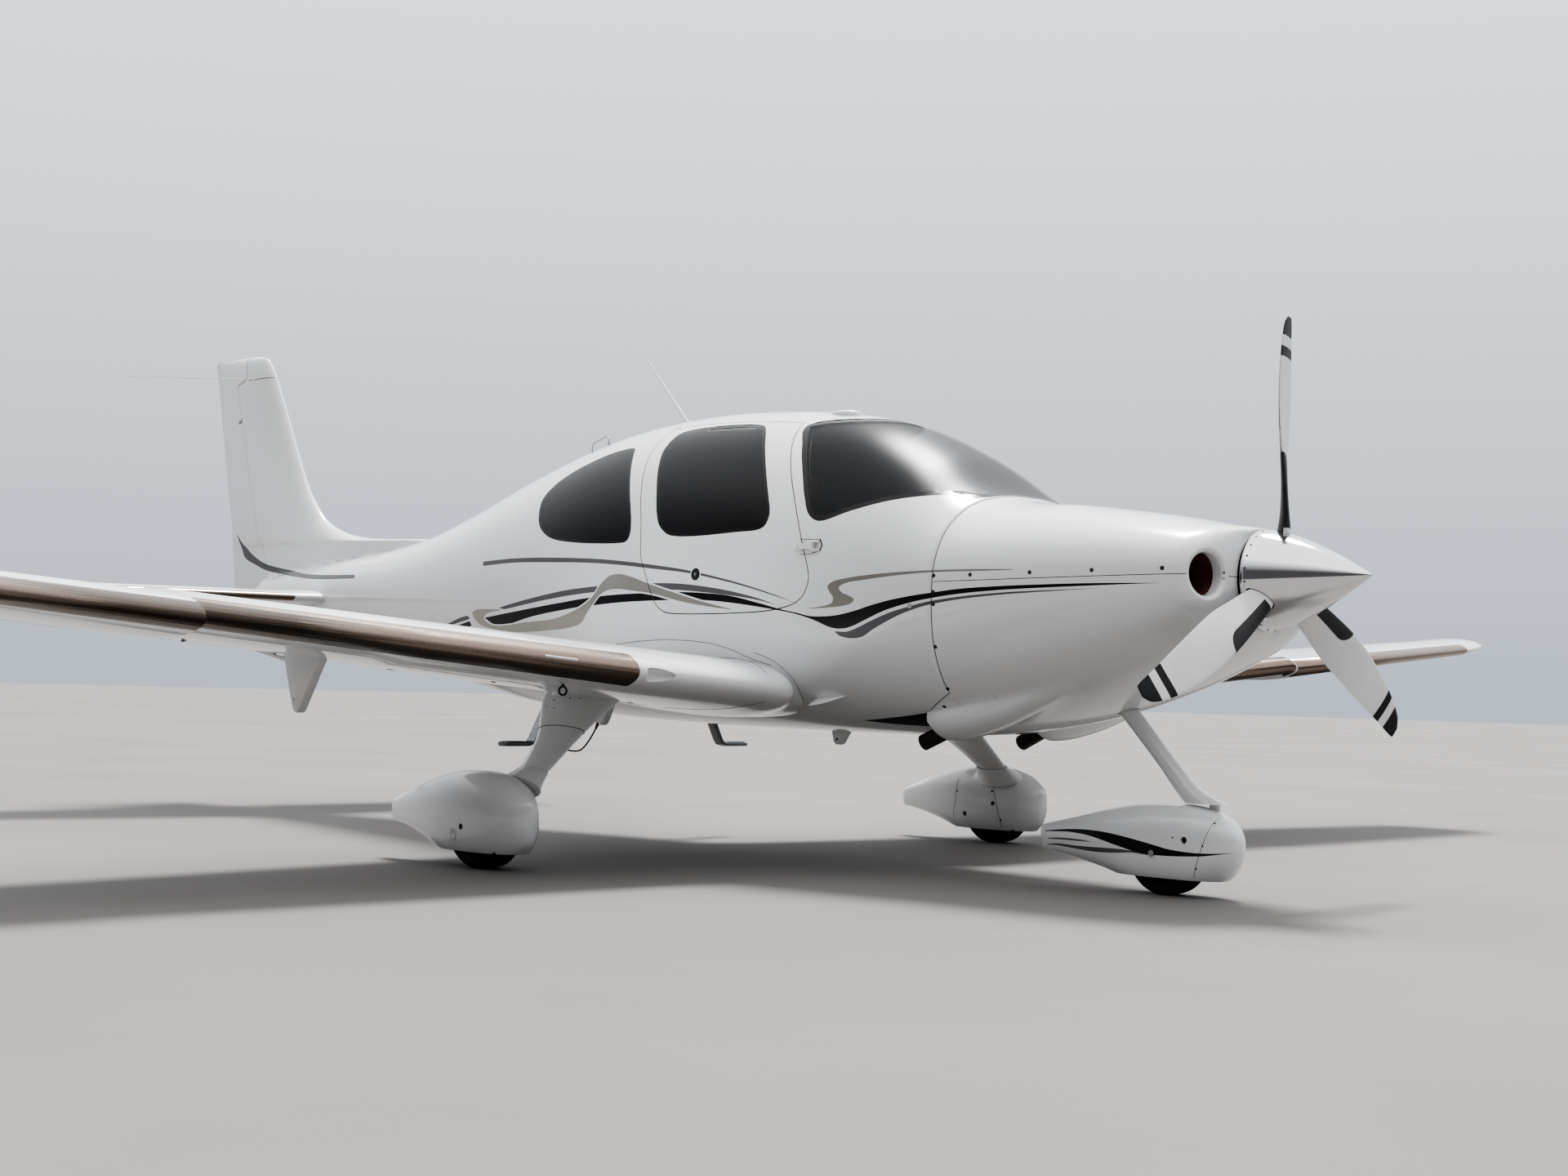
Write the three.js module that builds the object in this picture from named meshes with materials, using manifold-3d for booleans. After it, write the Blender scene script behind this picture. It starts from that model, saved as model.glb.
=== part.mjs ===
// Light aircraft with four seats, one engine, a low wing and fixed nosewheel gear, parked.
// Units are millimetres. +X points forward, +Y to port and +Z up. The origin is on the
// ground, under the middle of the overall length and of the span.
import * as THREE from 'three';
import { mergeVertices } from 'three/addons/utils/BufferGeometryUtils.js';
import Module from 'manifold-3d';

const wasm = await Module();
wasm.setup();

// Driving dimensions
const overallLength = 7920;
const halfSpan = 5840;
const propellerRadius = 990;
const wheelbaseFront = 3113;
const mainWheelX = 970;
const halfTrack = 1612;
const seatGap = 0.3;
const movingGap = 8;
const noseX = overallLength / 2;

// Colours and finishes
const finish = (color, roughness, metalness = 0, opacity = 1) =>
  new THREE.MeshStandardMaterial({ color, roughness, metalness, opacity, transparent: opacity < 1 });
const whitePaint = finish(0xf1f2f2, 0.25);
const tintedGlass = finish(0x2a2f33, 0.05, 0, 0.6);
const clearGlass = finish(0x9fb0b8, 0.05, 0, 0.4);
const polished = finish(0xd8dadd, 0.12, 1);
const bareMetal = finish(0x9a9da0, 0.4, 1);
const darkMetal = finish(0x3a3a3c, 0.5, 0.8);
const castMetal = finish(0x5a5b5c, 0.6, 0.7);
const rubber = finish(0x18181a, 0.85);
const bladePaint = finish(0xe9e9e9, 0.3);
const leather = finish(0x8d857a, 0.6);
const carpet = finish(0x55514c, 0.95);
const panelPlastic = finish(0x2c2d2f, 0.6);

// Solid helpers

function toSolid(geometry) {
  geometry.deleteAttribute('normal');
  geometry.deleteAttribute('uv');
  const merged = mergeVertices(geometry, 1e-3);
  const points = new Float32Array(merged.attributes.position.array);
  const triangles = [];
  const index = merged.index.array;
  let volume = 0;
  for (let i = 0; i < index.length; i += 3) {
    const [a, b, c] = [index[i], index[i + 1], index[i + 2]];
    if (a === b || b === c || a === c) continue;
    triangles.push(a, b, c);
    const [p, q, r] = [a, b, c].map((k) => new THREE.Vector3().fromArray(points, 3 * k));
    volume += p.dot(q.cross(r));
  }
  if (volume < 0) triangles.reverse();
  return new wasm.Manifold(new wasm.Mesh({
    numProp: 3, vertProperties: points, triVerts: new Uint32Array(triangles),
  }));
}

function toGeometry(solid) {
  const mesh = solid.getMesh();
  const geometry = new THREE.BufferGeometry();
  geometry.setAttribute('position', new THREE.BufferAttribute(new Float32Array(mesh.vertProperties), 3));
  geometry.setIndex(new THREE.BufferAttribute(new Uint32Array(mesh.triVerts), 1));
  geometry.computeVertexNormals();
  return geometry;
}

// A closed body through rings of [x, y, z] points, all with the same number of points.
function loft(rings) {
  const count = rings[0].length;
  const positions = rings.flat(2);
  const index = [];
  for (let i = 0; i + 1 < rings.length; i += 1) {
    for (let j = 0; j < count; j += 1) {
      const a = i * count + j;
      const b = i * count + (j + 1) % count;
      index.push(a, b, b + count, a, b + count, a + count);
    }
  }
  for (const [start, sign] of [[0, -1], [(rings.length - 1) * count, 1]]) {
    const ring = rings[start / count];
    const middle = positions.length / 3;
    for (const axis of [0, 1, 2]) {
      positions.push(ring.reduce((sum, point) => sum + point[axis], 0) / count);
    }
    for (let j = 0; j < count; j += 1) {
      const pair = [start + j, start + (j + 1) % count];
      if (sign < 0) pair.reverse();
      index.push(middle, ...pair);
    }
  }
  const geometry = new THREE.BufferGeometry();
  geometry.setAttribute('position', new THREE.Float32BufferAttribute(positions, 3));
  geometry.setIndex(index);
  return toSolid(geometry);
}

// A box between two corners.
function box(low, high) {
  const size = high.map((value, axis) => value - low[axis]);
  const geometry = new THREE.BoxGeometry(...size);
  geometry.translate(...high.map((value, axis) => (value + low[axis]) / 2));
  return toSolid(geometry);
}

// A round bar or cone between two points.
function bar(from, to, radius, endRadius = radius, sides = 12) {
  const start = new THREE.Vector3(...from);
  const end = new THREE.Vector3(...to);
  const geometry = new THREE.CylinderGeometry(endRadius, radius, start.distanceTo(end), sides);
  const turn = new THREE.Quaternion().setFromUnitVectors(
    new THREE.Vector3(0, 1, 0), end.clone().sub(start).normalize());
  geometry.applyQuaternion(turn);
  geometry.translate(...start.add(end).multiplyScalar(0.5).toArray());
  return toSolid(geometry);
}

// An outline of [x, z] points, swept along Y from one y to another.
function sidePrism(outline, fromY, toY) {
  const ring = (y) => outline.map(([x, z]) => [x, y, z]);
  return flatLoft(ring(fromY), ring(toY), outline);
}

// Two matching flat rings joined into one body, its ends cut into triangles as drawn.
function flatLoft(first, second, outline) {
  const count = outline.length;
  const faces = THREE.ShapeUtils.triangulateShape(outline.map(([a, b]) => new THREE.Vector2(a, b)), []);
  const index = [];
  for (let j = 0; j < count; j += 1) {
    const next = (j + 1) % count;
    index.push(j, next, next + count, j, next + count, j + count);
  }
  const clockwise = THREE.ShapeUtils.isClockWise(outline.map(([a, b]) => new THREE.Vector2(a, b)));
  for (const [a, b, c] of faces) {
    if (clockwise) {
      index.push(a, b, c, a + count, c + count, b + count);
    } else {
      index.push(a, c, b, a + count, b + count, c + count);
    }
  }
  const geometry = new THREE.BufferGeometry();
  geometry.setAttribute('position', new THREE.Float32BufferAttribute([...first, ...second].flat(), 3));
  geometry.setIndex(index);
  return toSolid(geometry);
}

// Radius of an eight-sided bore in which an eight-sided pin of a given radius turns freely.
const boreFor = (pinRadius) => pinRadius / Math.cos(Math.PI / 8) + 0.04;

// A body of revolution about a line along an axis: profile points are [along, radius].
function turned(profile, axis, centre, sides) {
  const points = profile.map(([along, radius]) => new THREE.Vector2(radius, along));
  const geometry = new THREE.LatheGeometry(points, sides);
  if (axis === 'x') geometry.rotateZ(-Math.PI / 2);
  if (axis === 'z') geometry.rotateX(Math.PI / 2);
  geometry.translate(...centre);
  return toSolid(geometry);
}

const mirrored = (solid) => {
  const geometry = toGeometry(solid);
  geometry.scale(1, -1, 1);
  return toSolid(geometry);
};

const joined = (...solids) => solids.reduce((sum, solid) => sum.add(solid));

// The model's group and its named meshes
const aircraft = new THREE.Group();
aircraft.name = 'light_aircraft';

function place(name, solid, material, parent = aircraft) {
  const mesh = new THREE.Mesh(toGeometry(solid), material);
  mesh.name = name;
  parent.add(mesh);
  return mesh;
}

// Body sections. Each row: station x, crown z, keel z, half width, waist z, upper power,
// lower power. The powers square the section's shoulders above and below the waist.
const bodySections = [
  [-3440, 1300, 1070, 80, 1185, 2.0, 2.0],
  [-3130, 1335, 1020, 130, 1185, 2.0, 2.0],
  [-2540, 1405, 945, 215, 1185, 2.1, 2.1],
  [-1950, 1480, 860, 310, 1180, 2.1, 2.2],
  [-1460, 1575, 780, 400, 1170, 2.1, 2.3],
  [-970, 1720, 700, 490, 1160, 2.1, 2.4],
  [-480, 1865, 630, 565, 1150, 2.1, 2.5],
  [100, 1975, 590, 625, 1135, 2.15, 2.6],
  [600, 2020, 575, 655, 1125, 2.15, 2.7],
  [1050, 2015, 568, 662, 1120, 2.15, 2.7],
  [1450, 1975, 565, 660, 1120, 2.15, 2.7],
  [1800, 1880, 565, 650, 1120, 2.15, 2.7],
  [2100, 1745, 570, 635, 1120, 2.2, 2.6],
  [2411, 1545, 590, 605, 1130, 2.4, 2.5],
  [2800, 1492, 660, 565, 1150, 2.5, 2.3],
  [3150, 1445, 770, 520, 1170, 2.6, 2.2],
  [3400, 1400, 885, 465, 1185, 2.6, 2.2],
  [3460, 1392, 930, 425, 1190, 2.4, 2.2],
  [3492, 1388, 965, 350, 1193, 2.2, 2.1],
  [3515, 1385, 1003, 195, 1194, 2.0, 2.0],
];

function bodySectionAt(x) {
  const rows = bodySections;
  let i = rows.findIndex((row) => row[0] > x) - 1;
  if (i === -2) i = rows.length - 2;
  if (i < 0) i = 0;
  const slope = (k, column) => {
    const low = rows[Math.max(k - 1, 0)];
    const high = rows[Math.min(k + 1, rows.length - 1)];
    return (high[column] - low[column]) / (high[0] - low[0]);
  };
  const span = rows[i + 1][0] - rows[i][0];
  const t = (x - rows[i][0]) / span;
  const blend = [
    2 * t ** 3 - 3 * t ** 2 + 1, t ** 3 - 2 * t ** 2 + t,
    3 * t ** 2 - 2 * t ** 3, t ** 3 - t ** 2];
  const [crown, keel, halfWidth, waist, upper, lower] = [1, 2, 3, 4, 5, 6].map((column) =>
    blend[0] * rows[i][column] + blend[1] * span * slope(i, column)
    + blend[2] * rows[i + 1][column] + blend[3] * span * slope(i + 1, column));
  return { crown, keel, halfWidth, waist, upper, lower };
}

const bodyHalfSteps = 9;

// The port half of one section from keel to crown, drawn in from the skin by an inset.
function halfSection(x, inset) {
  const s = bodySectionAt(x);
  const points = [];
  for (let i = 0; i <= bodyHalfSteps; i += 1) {
    const angle = -Math.PI / 2 + (Math.PI * i) / bodyHalfSteps;
    const power = angle < 0 ? s.lower : s.upper;
    const reach = (angle < 0 ? s.waist - s.keel : s.crown - s.waist) - inset;
    const cosine = Math.max(Math.cos(angle), 0);
    const sine = Math.abs(Math.sin(angle));
    const y = (s.halfWidth - inset) * cosine ** (2 / power);
    const z = s.waist + Math.sign(angle) * reach * sine ** (2 / power);
    points.push([x, y, z]);
  }
  return points;
}

// The body between stations: side 1 is the port half, -1 the starboard half, 0 the whole.
function bodySolid(stations, inset, side) {
  return loft(stations.map((x) => {
    const half = halfSection(x, inset);
    if (side === 0) {
      return [...half, ...half.slice(1, -1).reverse().map(([px, y, z]) => [px, -y, z])];
    }
    return half.map(([px, y, z]) => [px, side * Math.max(y, seatGap / 2), z]);
  }));
}

// A layer of the body's skin from one depth below the surface to another.
function bodyLayer(stations, outerInset, innerInset, side) {
  const ends = [stations[0] - 1, ...stations.slice(1, -1), stations[stations.length - 1] + 1];
  return bodySolid(stations, outerInset, side).subtract(bodySolid(ends, innerInset, side));
}

// Wing sections from the centre out. Each row: y, leading edge x, trailing edge x, leading
// edge z, thickness as a share of the chord. The outer wing's nose stands 40 mm forward.
const dihedral = 0.0787;
const wingRootY = 660;
const rootNoseZ = 730;
const leadingX = (y) => 1771 - 0.043 * y;
const trailingX = (y) => 181 + 0.106 * y;
const noseZ = (y) => rootNoseZ + dihedral * Math.max(y - wingRootY, 0);
const cuffY = 3300;
const cuffForward = 38;
const cuffDroop = 14;
const wingSections = [
  [0, leadingX(wingRootY), trailingX(wingRootY), rootNoseZ, 0.150],
  [560, leadingX(560) - 92, trailingX(560) - 60, rootNoseZ, 0.175],
  [680, leadingX(680) + 6, trailingX(680) - 12, noseZ(680), 0.158],
  [800, leadingX(800) + 22, trailingX(800), noseZ(800), 0.150],
  [1500, leadingX(1500) + 10, trailingX(1500), noseZ(1500), 0.147],
  [cuffY - 1, leadingX(cuffY), trailingX(cuffY), noseZ(cuffY), 0.138],
  [cuffY + 1, leadingX(cuffY) + cuffForward, trailingX(cuffY), noseZ(cuffY) - cuffDroop, 0.134],
  [5450, leadingX(5450) + cuffForward - 8, trailingX(5450), noseZ(5450) - cuffDroop, 0.120],
  [5660, leadingX(5660) - 10, trailingX(5660) + 4, noseZ(5660) - 8, 0.116],
  [5770, leadingX(5770) - 70, trailingX(5770) + 14, noseZ(5770), 0.100],
  [halfSpan - 12, leadingX(halfSpan) - 130, trailingX(halfSpan) + 60, noseZ(halfSpan) + 4, 0.070],
  [halfSpan, leadingX(halfSpan) - 170, trailingX(halfSpan) + 110, noseZ(halfSpan) + 6, 0.040],
];
const washIn = 0.022;
const chordStations = [0, 0.012, 0.05, 0.13, 0.27, 0.45, 0.64, 0.82, 1];

// Half thickness of an aerofoil at a share of its chord, for a thickness of 1.
const foilHalf = (u) =>
  5 * (0.2969 * Math.sqrt(u) - 0.126 * u - 0.3516 * u ** 2 + 0.2843 * u ** 3 - 0.1015 * u ** 4);

// One aerofoil ring in the vertical plane at y: over the top from the tail, back underneath.
function foilRing(y, nose, tail, z, thickness, camber, drop, grow) {
  const chord = nose - tail;
  const bow = (u) => camber * chord * 4 * u * (1 - u);
  const at = (u, sign) => {
    const half = Math.max(foilHalf(u) * thickness * chord, 2.5) + grow;
    return [nose + grow - u * (chord + 2 * grow), y, z - drop * chord * u + bow(u) + sign * half];
  };
  const upper = [...chordStations].reverse().map((u) => at(u, 1));
  const lower = chordStations.slice(1).map((u) => at(u, -1));
  upper[upper.length - 1][2] = z;
  return [...upper, ...lower];
}

function wingSolid(grow) {
  const half = wingSections.map(([y, nose, tail, z, thickness]) =>
    foilRing(y, nose, tail, z, thickness, 0.02, washIn, grow));
  const starboard = half.slice(1).reverse().map((ring) => ring.map(([x, y, z]) => [x, -y, z]));
  return loft([...starboard, ...half]);
}

// Height of the wing's underside at a station, on the chord's straight line.
function wingUnderside(x, y) {
  const across = Math.abs(y);
  const i = Math.max(1, wingSections.findIndex((row) => row[0] >= across));
  const [low, high] = [wingSections[i - 1], wingSections[i]];
  const t = (across - low[0]) / (high[0] - low[0]);
  const [nose, tail, z, thickness] = [1, 2, 3, 4].map((c) => low[c] + t * (high[c] - low[c]));
  const chord = nose - tail;
  const u = (nose - x) / chord;
  return z - washIn * chord * u + 0.02 * chord * 4 * u * (1 - u) - foilHalf(u) * thickness * chord;
}

// The space aft of a hinge line, from one end of it to the other: a round nose about the
// line and everything behind it. Ends are square to the line.
function behindHinge(from, to, noseRadius, endNoseRadius, grow, depth, aft) {
  const a = new THREE.Vector3(...from);
  const b = new THREE.Vector3(...to);
  const along = b.clone().sub(a).normalize();
  a.addScaledVector(along, -grow);
  b.addScaledVector(along, grow);
  const back = new THREE.Vector3(-1, 0, 0).addScaledVector(along, along.x).normalize();
  const up = new THREE.Vector3().crossVectors(along, back);
  const corner = (end, backBy, upBy) =>
    end.clone().addScaledVector(back, backBy).addScaledVector(up, upBy).toArray();
  const ring = (end) => [
    corner(end, 0, -depth), corner(end, aft, -depth), corner(end, aft, depth), corner(end, 0, depth)];
  const nose = bar(a.toArray(), b.toArray(), noseRadius + grow, endNoseRadius + grow, 20);
  return loft([ring(a), ring(b)]).add(nose);
}

// Control surface cut out of the body that carries it.
function cutSurface(host, hinge) {
  const { from, to, radius, endRadius, depth = 400, aft = 900 } = hinge;
  const surface = host.intersect(behindHinge(from, to, radius, endRadius, 0, depth, aft));
  const rest = host.subtract(behindHinge(from, to, radius, endRadius, movingGap, depth + 40, aft + 40));
  return [surface, rest];
}

// Hinges of the control surfaces: a lug on the fixed part, and a pin across a slot in the
// surface's nose that runs in the lug's bored end.
const lug = { halfWidth: 7, root: 10, boss: 12, pin: 5, slotHalfWidth: 12, slotBack: 17, slotHalfHeight: 90 };

// The lug, the slot and the pin at shares of the length of a hinge line. Lugs reach forward.
function lugHinges({ from, to }, shares, reach) {
  const start = new THREE.Vector3(...from);
  const end = new THREE.Vector3(...to);
  const along = end.clone().sub(start).normalize();
  const forward = new THREE.Vector3(1, 0, 0).addScaledVector(along, -along.x).normalize();
  const up = new THREE.Vector3().crossVectors(forward, along);
  const { halfWidth, root, boss, pin, slotHalfWidth, slotBack, slotHalfHeight } = lug;
  const across = (half, radius) => bar([0, -half, 0], [0, half, 0], radius, radius, 8);
  const lugOutline = [
    [reach, -root], [reach, root], [0, boss], [-boss * 0.7, boss * 0.7],
    [-boss, 0], [-boss * 0.7, -boss * 0.7], [0, -boss]];
  return shares.map((share) => {
    const at = start.clone().lerp(end, share);
    const matrix = new THREE.Matrix4().makeBasis(forward, along, up).setPosition(at);
    const set = (solid) => {
      const geometry = toGeometry(solid);
      geometry.applyMatrix4(matrix);
      return toSolid(geometry);
    };
    return {
      lug: set(sidePrism(lugOutline, -halfWidth, halfWidth).subtract(across(halfWidth + 1, boreFor(pin)))),
      slot: set(box([-slotBack, -slotHalfWidth, -slotHalfHeight], [reach, slotHalfWidth, slotHalfHeight])),
      pin: set(across(slotHalfWidth + 3, pin)),
    };
  });
}

// Wing, flaps and ailerons

const aileronHinge = (side) => {
  const at = (y) => {
    const chordShare = 0.79;
    const x = leadingX(y) - chordShare * (leadingX(y) - trailingX(y));
    return [x, side * y, noseZ(y) - washIn * chordShare * (leadingX(y) - trailingX(y)) + 12];
  };
  return { from: at(3620), to: at(5300), radius: 46, endRadius: 34, depth: 200, aft: 500 };
};

const flapInnerY = 760;
const flapOuterY = 3580;
const flapChordShare = 0.745;
const flapFrontX = (y) => leadingX(y) - flapChordShare * (leadingX(y) - trailingX(y));

// Hinge bracket rows: y at its middle, pivot x, pivot z, length of its head along the wing.
const flapBrackets = [[930, 853.6, 616.6, 145], [2500, 966, 655, 270]];
const bracketHalfWidth = 18;
const armThickness = 12;
const armGap = 12;
const flapPin = 6;
const flapAxis = (side) => [0.0714, side * 0.9972, 0.0244];

// A round bar about the flap's pivot, between two distances along its axis.
function flapPivotBar(side, [y, pivotX, pivotZ], from, to, radius) {
  const pivot = [pivotX, side * y, pivotZ];
  const at = (distance) => flapAxis(side).map((part, axis) => pivot[axis] + part * distance);
  return bar(at(from), at(to), radius, radius, 8);
}

function flapSpace(side, grow) {
  const ring = (y) => {
    const front = flapFrontX(y) + grow;
    return [[front, side * y, 400], [front, side * y, 1300], [-300, side * y, 1300], [-300, side * y, 400]];
  };
  return loft([ring(flapInnerY - grow), ring(flapOuterY + grow)]);
}

// A hanging bracket under the wing with the flap's pivot in its tip.
function flapBracket(side, [y, pivotX, pivotZ, head]) {
  const front = pivotX + head * 0.64;
  const rear = pivotX - head * 0.32;
  const outline = [
    [front, wingUnderside(front, y) + 14], [pivotX + 46, pivotZ - 26], [pivotX + 32, pivotZ - 46],
    [pivotX + 10, pivotZ - 50], [pivotX - 12, pivotZ - 34], [rear, wingUnderside(rear, y) + 14]];
  return sidePrism(outline, side * (y - bracketHalfWidth), side * (y + bracketHalfWidth))
    .subtract(flapPivotBar(side, [y, pivotX, pivotZ], -30, 30, boreFor(flapPin)));
}

// The flap's arm from its pivot, just outboard of the bracket, back up into the flap.
function flapArm(side, [y, pivotX, pivotZ]) {
  const root = flapFrontX(y) - 60;
  const bend = pivotX - 62;
  const outer = y - bracketHalfWidth - armGap;
  const below = (x, drop) => [x, wingUnderside(x, y) - drop];
  const outline = [
    [pivotX + 14, pivotZ - 4], [pivotX, pivotZ - 16], [pivotX - 16, pivotZ - 8], below(bend - 26, 34),
    below(root - 90, 3), below(root - 90, -8), below(root, -12), below(flapFrontX(y) - 4, 8),
    below(bend, 8), [pivotX + 8, pivotZ + 14]];
  return sidePrism(outline, side * outer, side * (outer - armThickness))
    .add(flapPivotBar(side, [y, pivotX, pivotZ], -bracketHalfWidth - armGap - 6, 12, flapPin));
}

// Jack pads under the wing: flat faces for the wing jacks and the screwed tie-down rings.
const jackPad = { x: 930, y: 1215, radius: 34, drop: 9 };

let wing = wingSolid(0);
for (const side of [1, -1]) {
  const sideName = side > 0 ? 'left' : 'right';
  let aileron;
  [aileron, wing] = cutSurface(wing, aileronHinge(side));
  for (const hinge of lugHinges(aileronHinge(side), [0.17, 0.83], 70)) {
    aileron = aileron.subtract(hinge.slot).add(hinge.pin);
    wing = wing.add(hinge.lug);
  }
  place(`aileron_${sideName}`, aileron, whitePaint);
  let flap = wing.intersect(flapSpace(side, 0));
  wing = wing.subtract(flapSpace(side, movingGap));
  for (const row of flapBrackets) {
    wing = wing.add(flapBracket(side, row));
    flap = flap.add(flapArm(side, row));
  }
  place(`flap_${sideName}`, flap, whitePaint);
  const padTop = wingUnderside(jackPad.x, jackPad.y);
  const padAt = (z) => [jackPad.x, side * jackPad.y, z];
  wing = wing.add(bar(padAt(padTop + 20), padAt(padTop - jackPad.drop), jackPad.radius));
}

// Tail surfaces: stabiliser rows are y, nose x, tail x, thickness share.
const stabiliserZ = 1175;
const tailSections = [
  [0, -2310, -3250, 0.10],
  [1780, -2655, -3225, 0.095],
  [1910, -2690, -3220, 0.085],
  [1960, -2740, -3200, 0.05],
];

function stabiliserSolid(grow) {
  const half = tailSections.map(([y, nose, tail, thickness]) =>
    foilRing(y, nose, tail, stabiliserZ, thickness, 0, 0, grow));
  const starboard = half.slice(1).reverse().map((ring) => ring.map(([x, y, z]) => [x, -y, z]));
  return loft([...starboard, ...half]);
}

const elevatorHingeX = -2960;
const elevatorInnerY = 190;
const elevatorTube = 16;
let stabiliser = stabiliserSolid(0);
let elevator = bar([elevatorHingeX, -elevatorInnerY - 20, stabiliserZ],
  [elevatorHingeX, elevatorInnerY + 20, stabiliserZ], elevatorTube);
for (const side of [1, -1]) {
  const hinge = {
    from: [elevatorHingeX, side * elevatorInnerY, stabiliserZ],
    to: [elevatorHingeX, side * 2000, stabiliserZ], radius: 36, endRadius: 26, depth: 120, aft: 400,
  };
  const [surface, rest] = cutSurface(stabiliser, hinge);
  elevator = elevator.add(surface);
  stabiliser = rest;
  for (const parts of lugHinges(hinge, [0.2, 0.72], 55)) {
    elevator = elevator.subtract(parts.slot).add(parts.pin);
    stabiliser = stabiliser.add(parts.lug);
  }
}
stabiliser = stabiliser.subtract(box(
  [-3400, -elevatorInnerY - 30, 1000], [elevatorHingeX + 30, elevatorInnerY + 30, 1300]));
place('stabilizer', stabiliser, whitePaint);
place('elevator', elevator, whitePaint);

// Fin rows: z, nose x, tail x, half thickness.
const finSections = [
  [1040, -2700, -3640, 62],
  [1330, -2120, -3665, 74],
  [1440, -2330, -3680, 72],
  [1540, -2560, -3697, 70],
  [1650, -2690, -3715, 66],
  [1870, -2860, -3775, 60],
  [2200, -3067, -3850, 50],
  [2510, -3262, -3925, 40],
  [2600, -3330, -3952, 32],
  [2636, -3400, -3960, 20],
  [2650, -3480, -3945, 8],
];
const finChordStations = [0, 0.02, 0.1, 0.25, 0.45, 0.7, 1];

function finRing([z, nose, tail, half], grow) {
  const at = (u, sign) => {
    const thick = Math.max(half * foilHalf(u) * 2, 3) + grow;
    return [nose + grow - u * (nose - tail + 2 * grow), sign * thick, z];
  };
  const port = [...finChordStations].reverse().map((u) => at(u, 1));
  port[port.length - 1][1] = 0;
  return [...port, ...finChordStations.slice(1).map((u) => at(u, -1))];
}

const rudderHingeLow = [-3222, 0, 1050];
const rudderHingeHigh = [-3690, 0, 2475];
const rudderHingeTop = [-3789, 0, 2778];
const rudderNose = { low: 66, high: 38, horn: 155 };

// The rudder's room behind its hinge line, with the balance horn's at the top.
function rudderSpace(grow) {
  const [depth, aft] = [200 + grow, 600 + grow];
  const { low, high, horn } = rudderNose;
  return behindHinge(rudderHingeLow, rudderHingeHigh, low, high, grow, depth, aft)
    .add(behindHinge(rudderHingeHigh, rudderHingeTop, horn, horn, grow, depth, aft));
}

const finSolid = loft(finSections.map((row) => finRing(row, 0)));
const fin = finSolid.subtract(rudderSpace(movingGap));
const rudderHinges = lugHinges({ from: rudderHingeLow, to: rudderHingeHigh }, [0.4, 0.85], 90);
let rudder = finSolid.intersect(rudderSpace(0));
for (const hinge of rudderHinges) {
  rudder = rudder.subtract(hinge.slot).add(hinge.pin);
}
place('rudder', rudder, whitePaint);

// Outlines in side view, as [x, z] points
const doorOutline = [
  [1750, 1105], [1647, 1072], [1470, 1056], [989, 1051], [910, 1070], [860, 1120], [801, 1239],
  [762, 1300], [735, 1450], [660, 1610], [600, 1750], [584, 1805], [584, 2100], [1380, 2100],
  [1385, 1925], [1410, 1865], [1465, 1772], [1565, 1627], [1650, 1496], [1723, 1356],
  [1785, 1224], [1788, 1170]];
const doorWindowOutline = [
  [884, 1417], [840, 1455], [765, 1606], [702, 1724], [664, 1813], [674, 1880], [730, 1899],
  [1157, 1895], [1223, 1872], [1362, 1725], [1486, 1537], [1517, 1466], [1500, 1414],
  [1338, 1396], [943, 1393]];
const quarterWindowOutline = [
  [663, 1400], [656, 1462], [576, 1615], [450, 1800], [422, 1826], [302, 1823], [118, 1778],
  [-70, 1692], [-128, 1614], [-100, 1532], [-54, 1471], [50, 1416], [242, 1386], [609, 1371],
  [645, 1377]];
const windscreenOutline = [
  [1439, 1876], [1520, 1773], [1618, 1639], [1684, 1530], [1733, 1459], [1798, 1429],
  [1939, 1466], [2076, 1500], [2195, 1521], [2282, 1531], [2395, 1531], [2395, 1940], [1700, 1915]];
const baggageOutline = [
  [-350, 940], [-330, 960], [-330, 1330], [-360, 1360], [-800, 1360], [-825, 1335],
  [-825, 975], [-795, 940]];

// The door's frame leaves room behind the roof corner, which swings aft as the door opens.
const doorRoofRoom = 14;
const doorFrameOutline = doorOutline.map(([x, z]) => [x < 700 && z > 1800 ? x - doorRoofRoom : x, z]);

// An outline with each edge moved outward by a distance.
function grown(outline, distance) {
  const count = outline.length;
  const sign = THREE.ShapeUtils.isClockWise(outline.map(([a, b]) => new THREE.Vector2(a, b))) ? -1 : 1;
  const normal = ([ax, az], [bx, bz]) => {
    const length = Math.hypot(bx - ax, bz - az);
    return [sign * (bz - az) / length, -sign * (bx - ax) / length];
  };
  return outline.map((point, i) => {
    const before = normal(outline[(i + count - 1) % count], point);
    const after = normal(point, outline[(i + 1) % count]);
    const scale = distance / (1 + before[0] * after[0] + before[1] * after[1]);
    return [point[0] + scale * (before[0] + after[0]), point[1] + scale * (before[1] + after[1])];
  });
}

// The joint between cowling and cabin: upright, then back under the belly to the exits
const cowlJointX = 2411;
const jointOutline = [
  [cowlJointX, 2000], [cowlJointX, 745], [2231, 656], [2318, 520], [3700, 520], [3700, 2000]];

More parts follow.
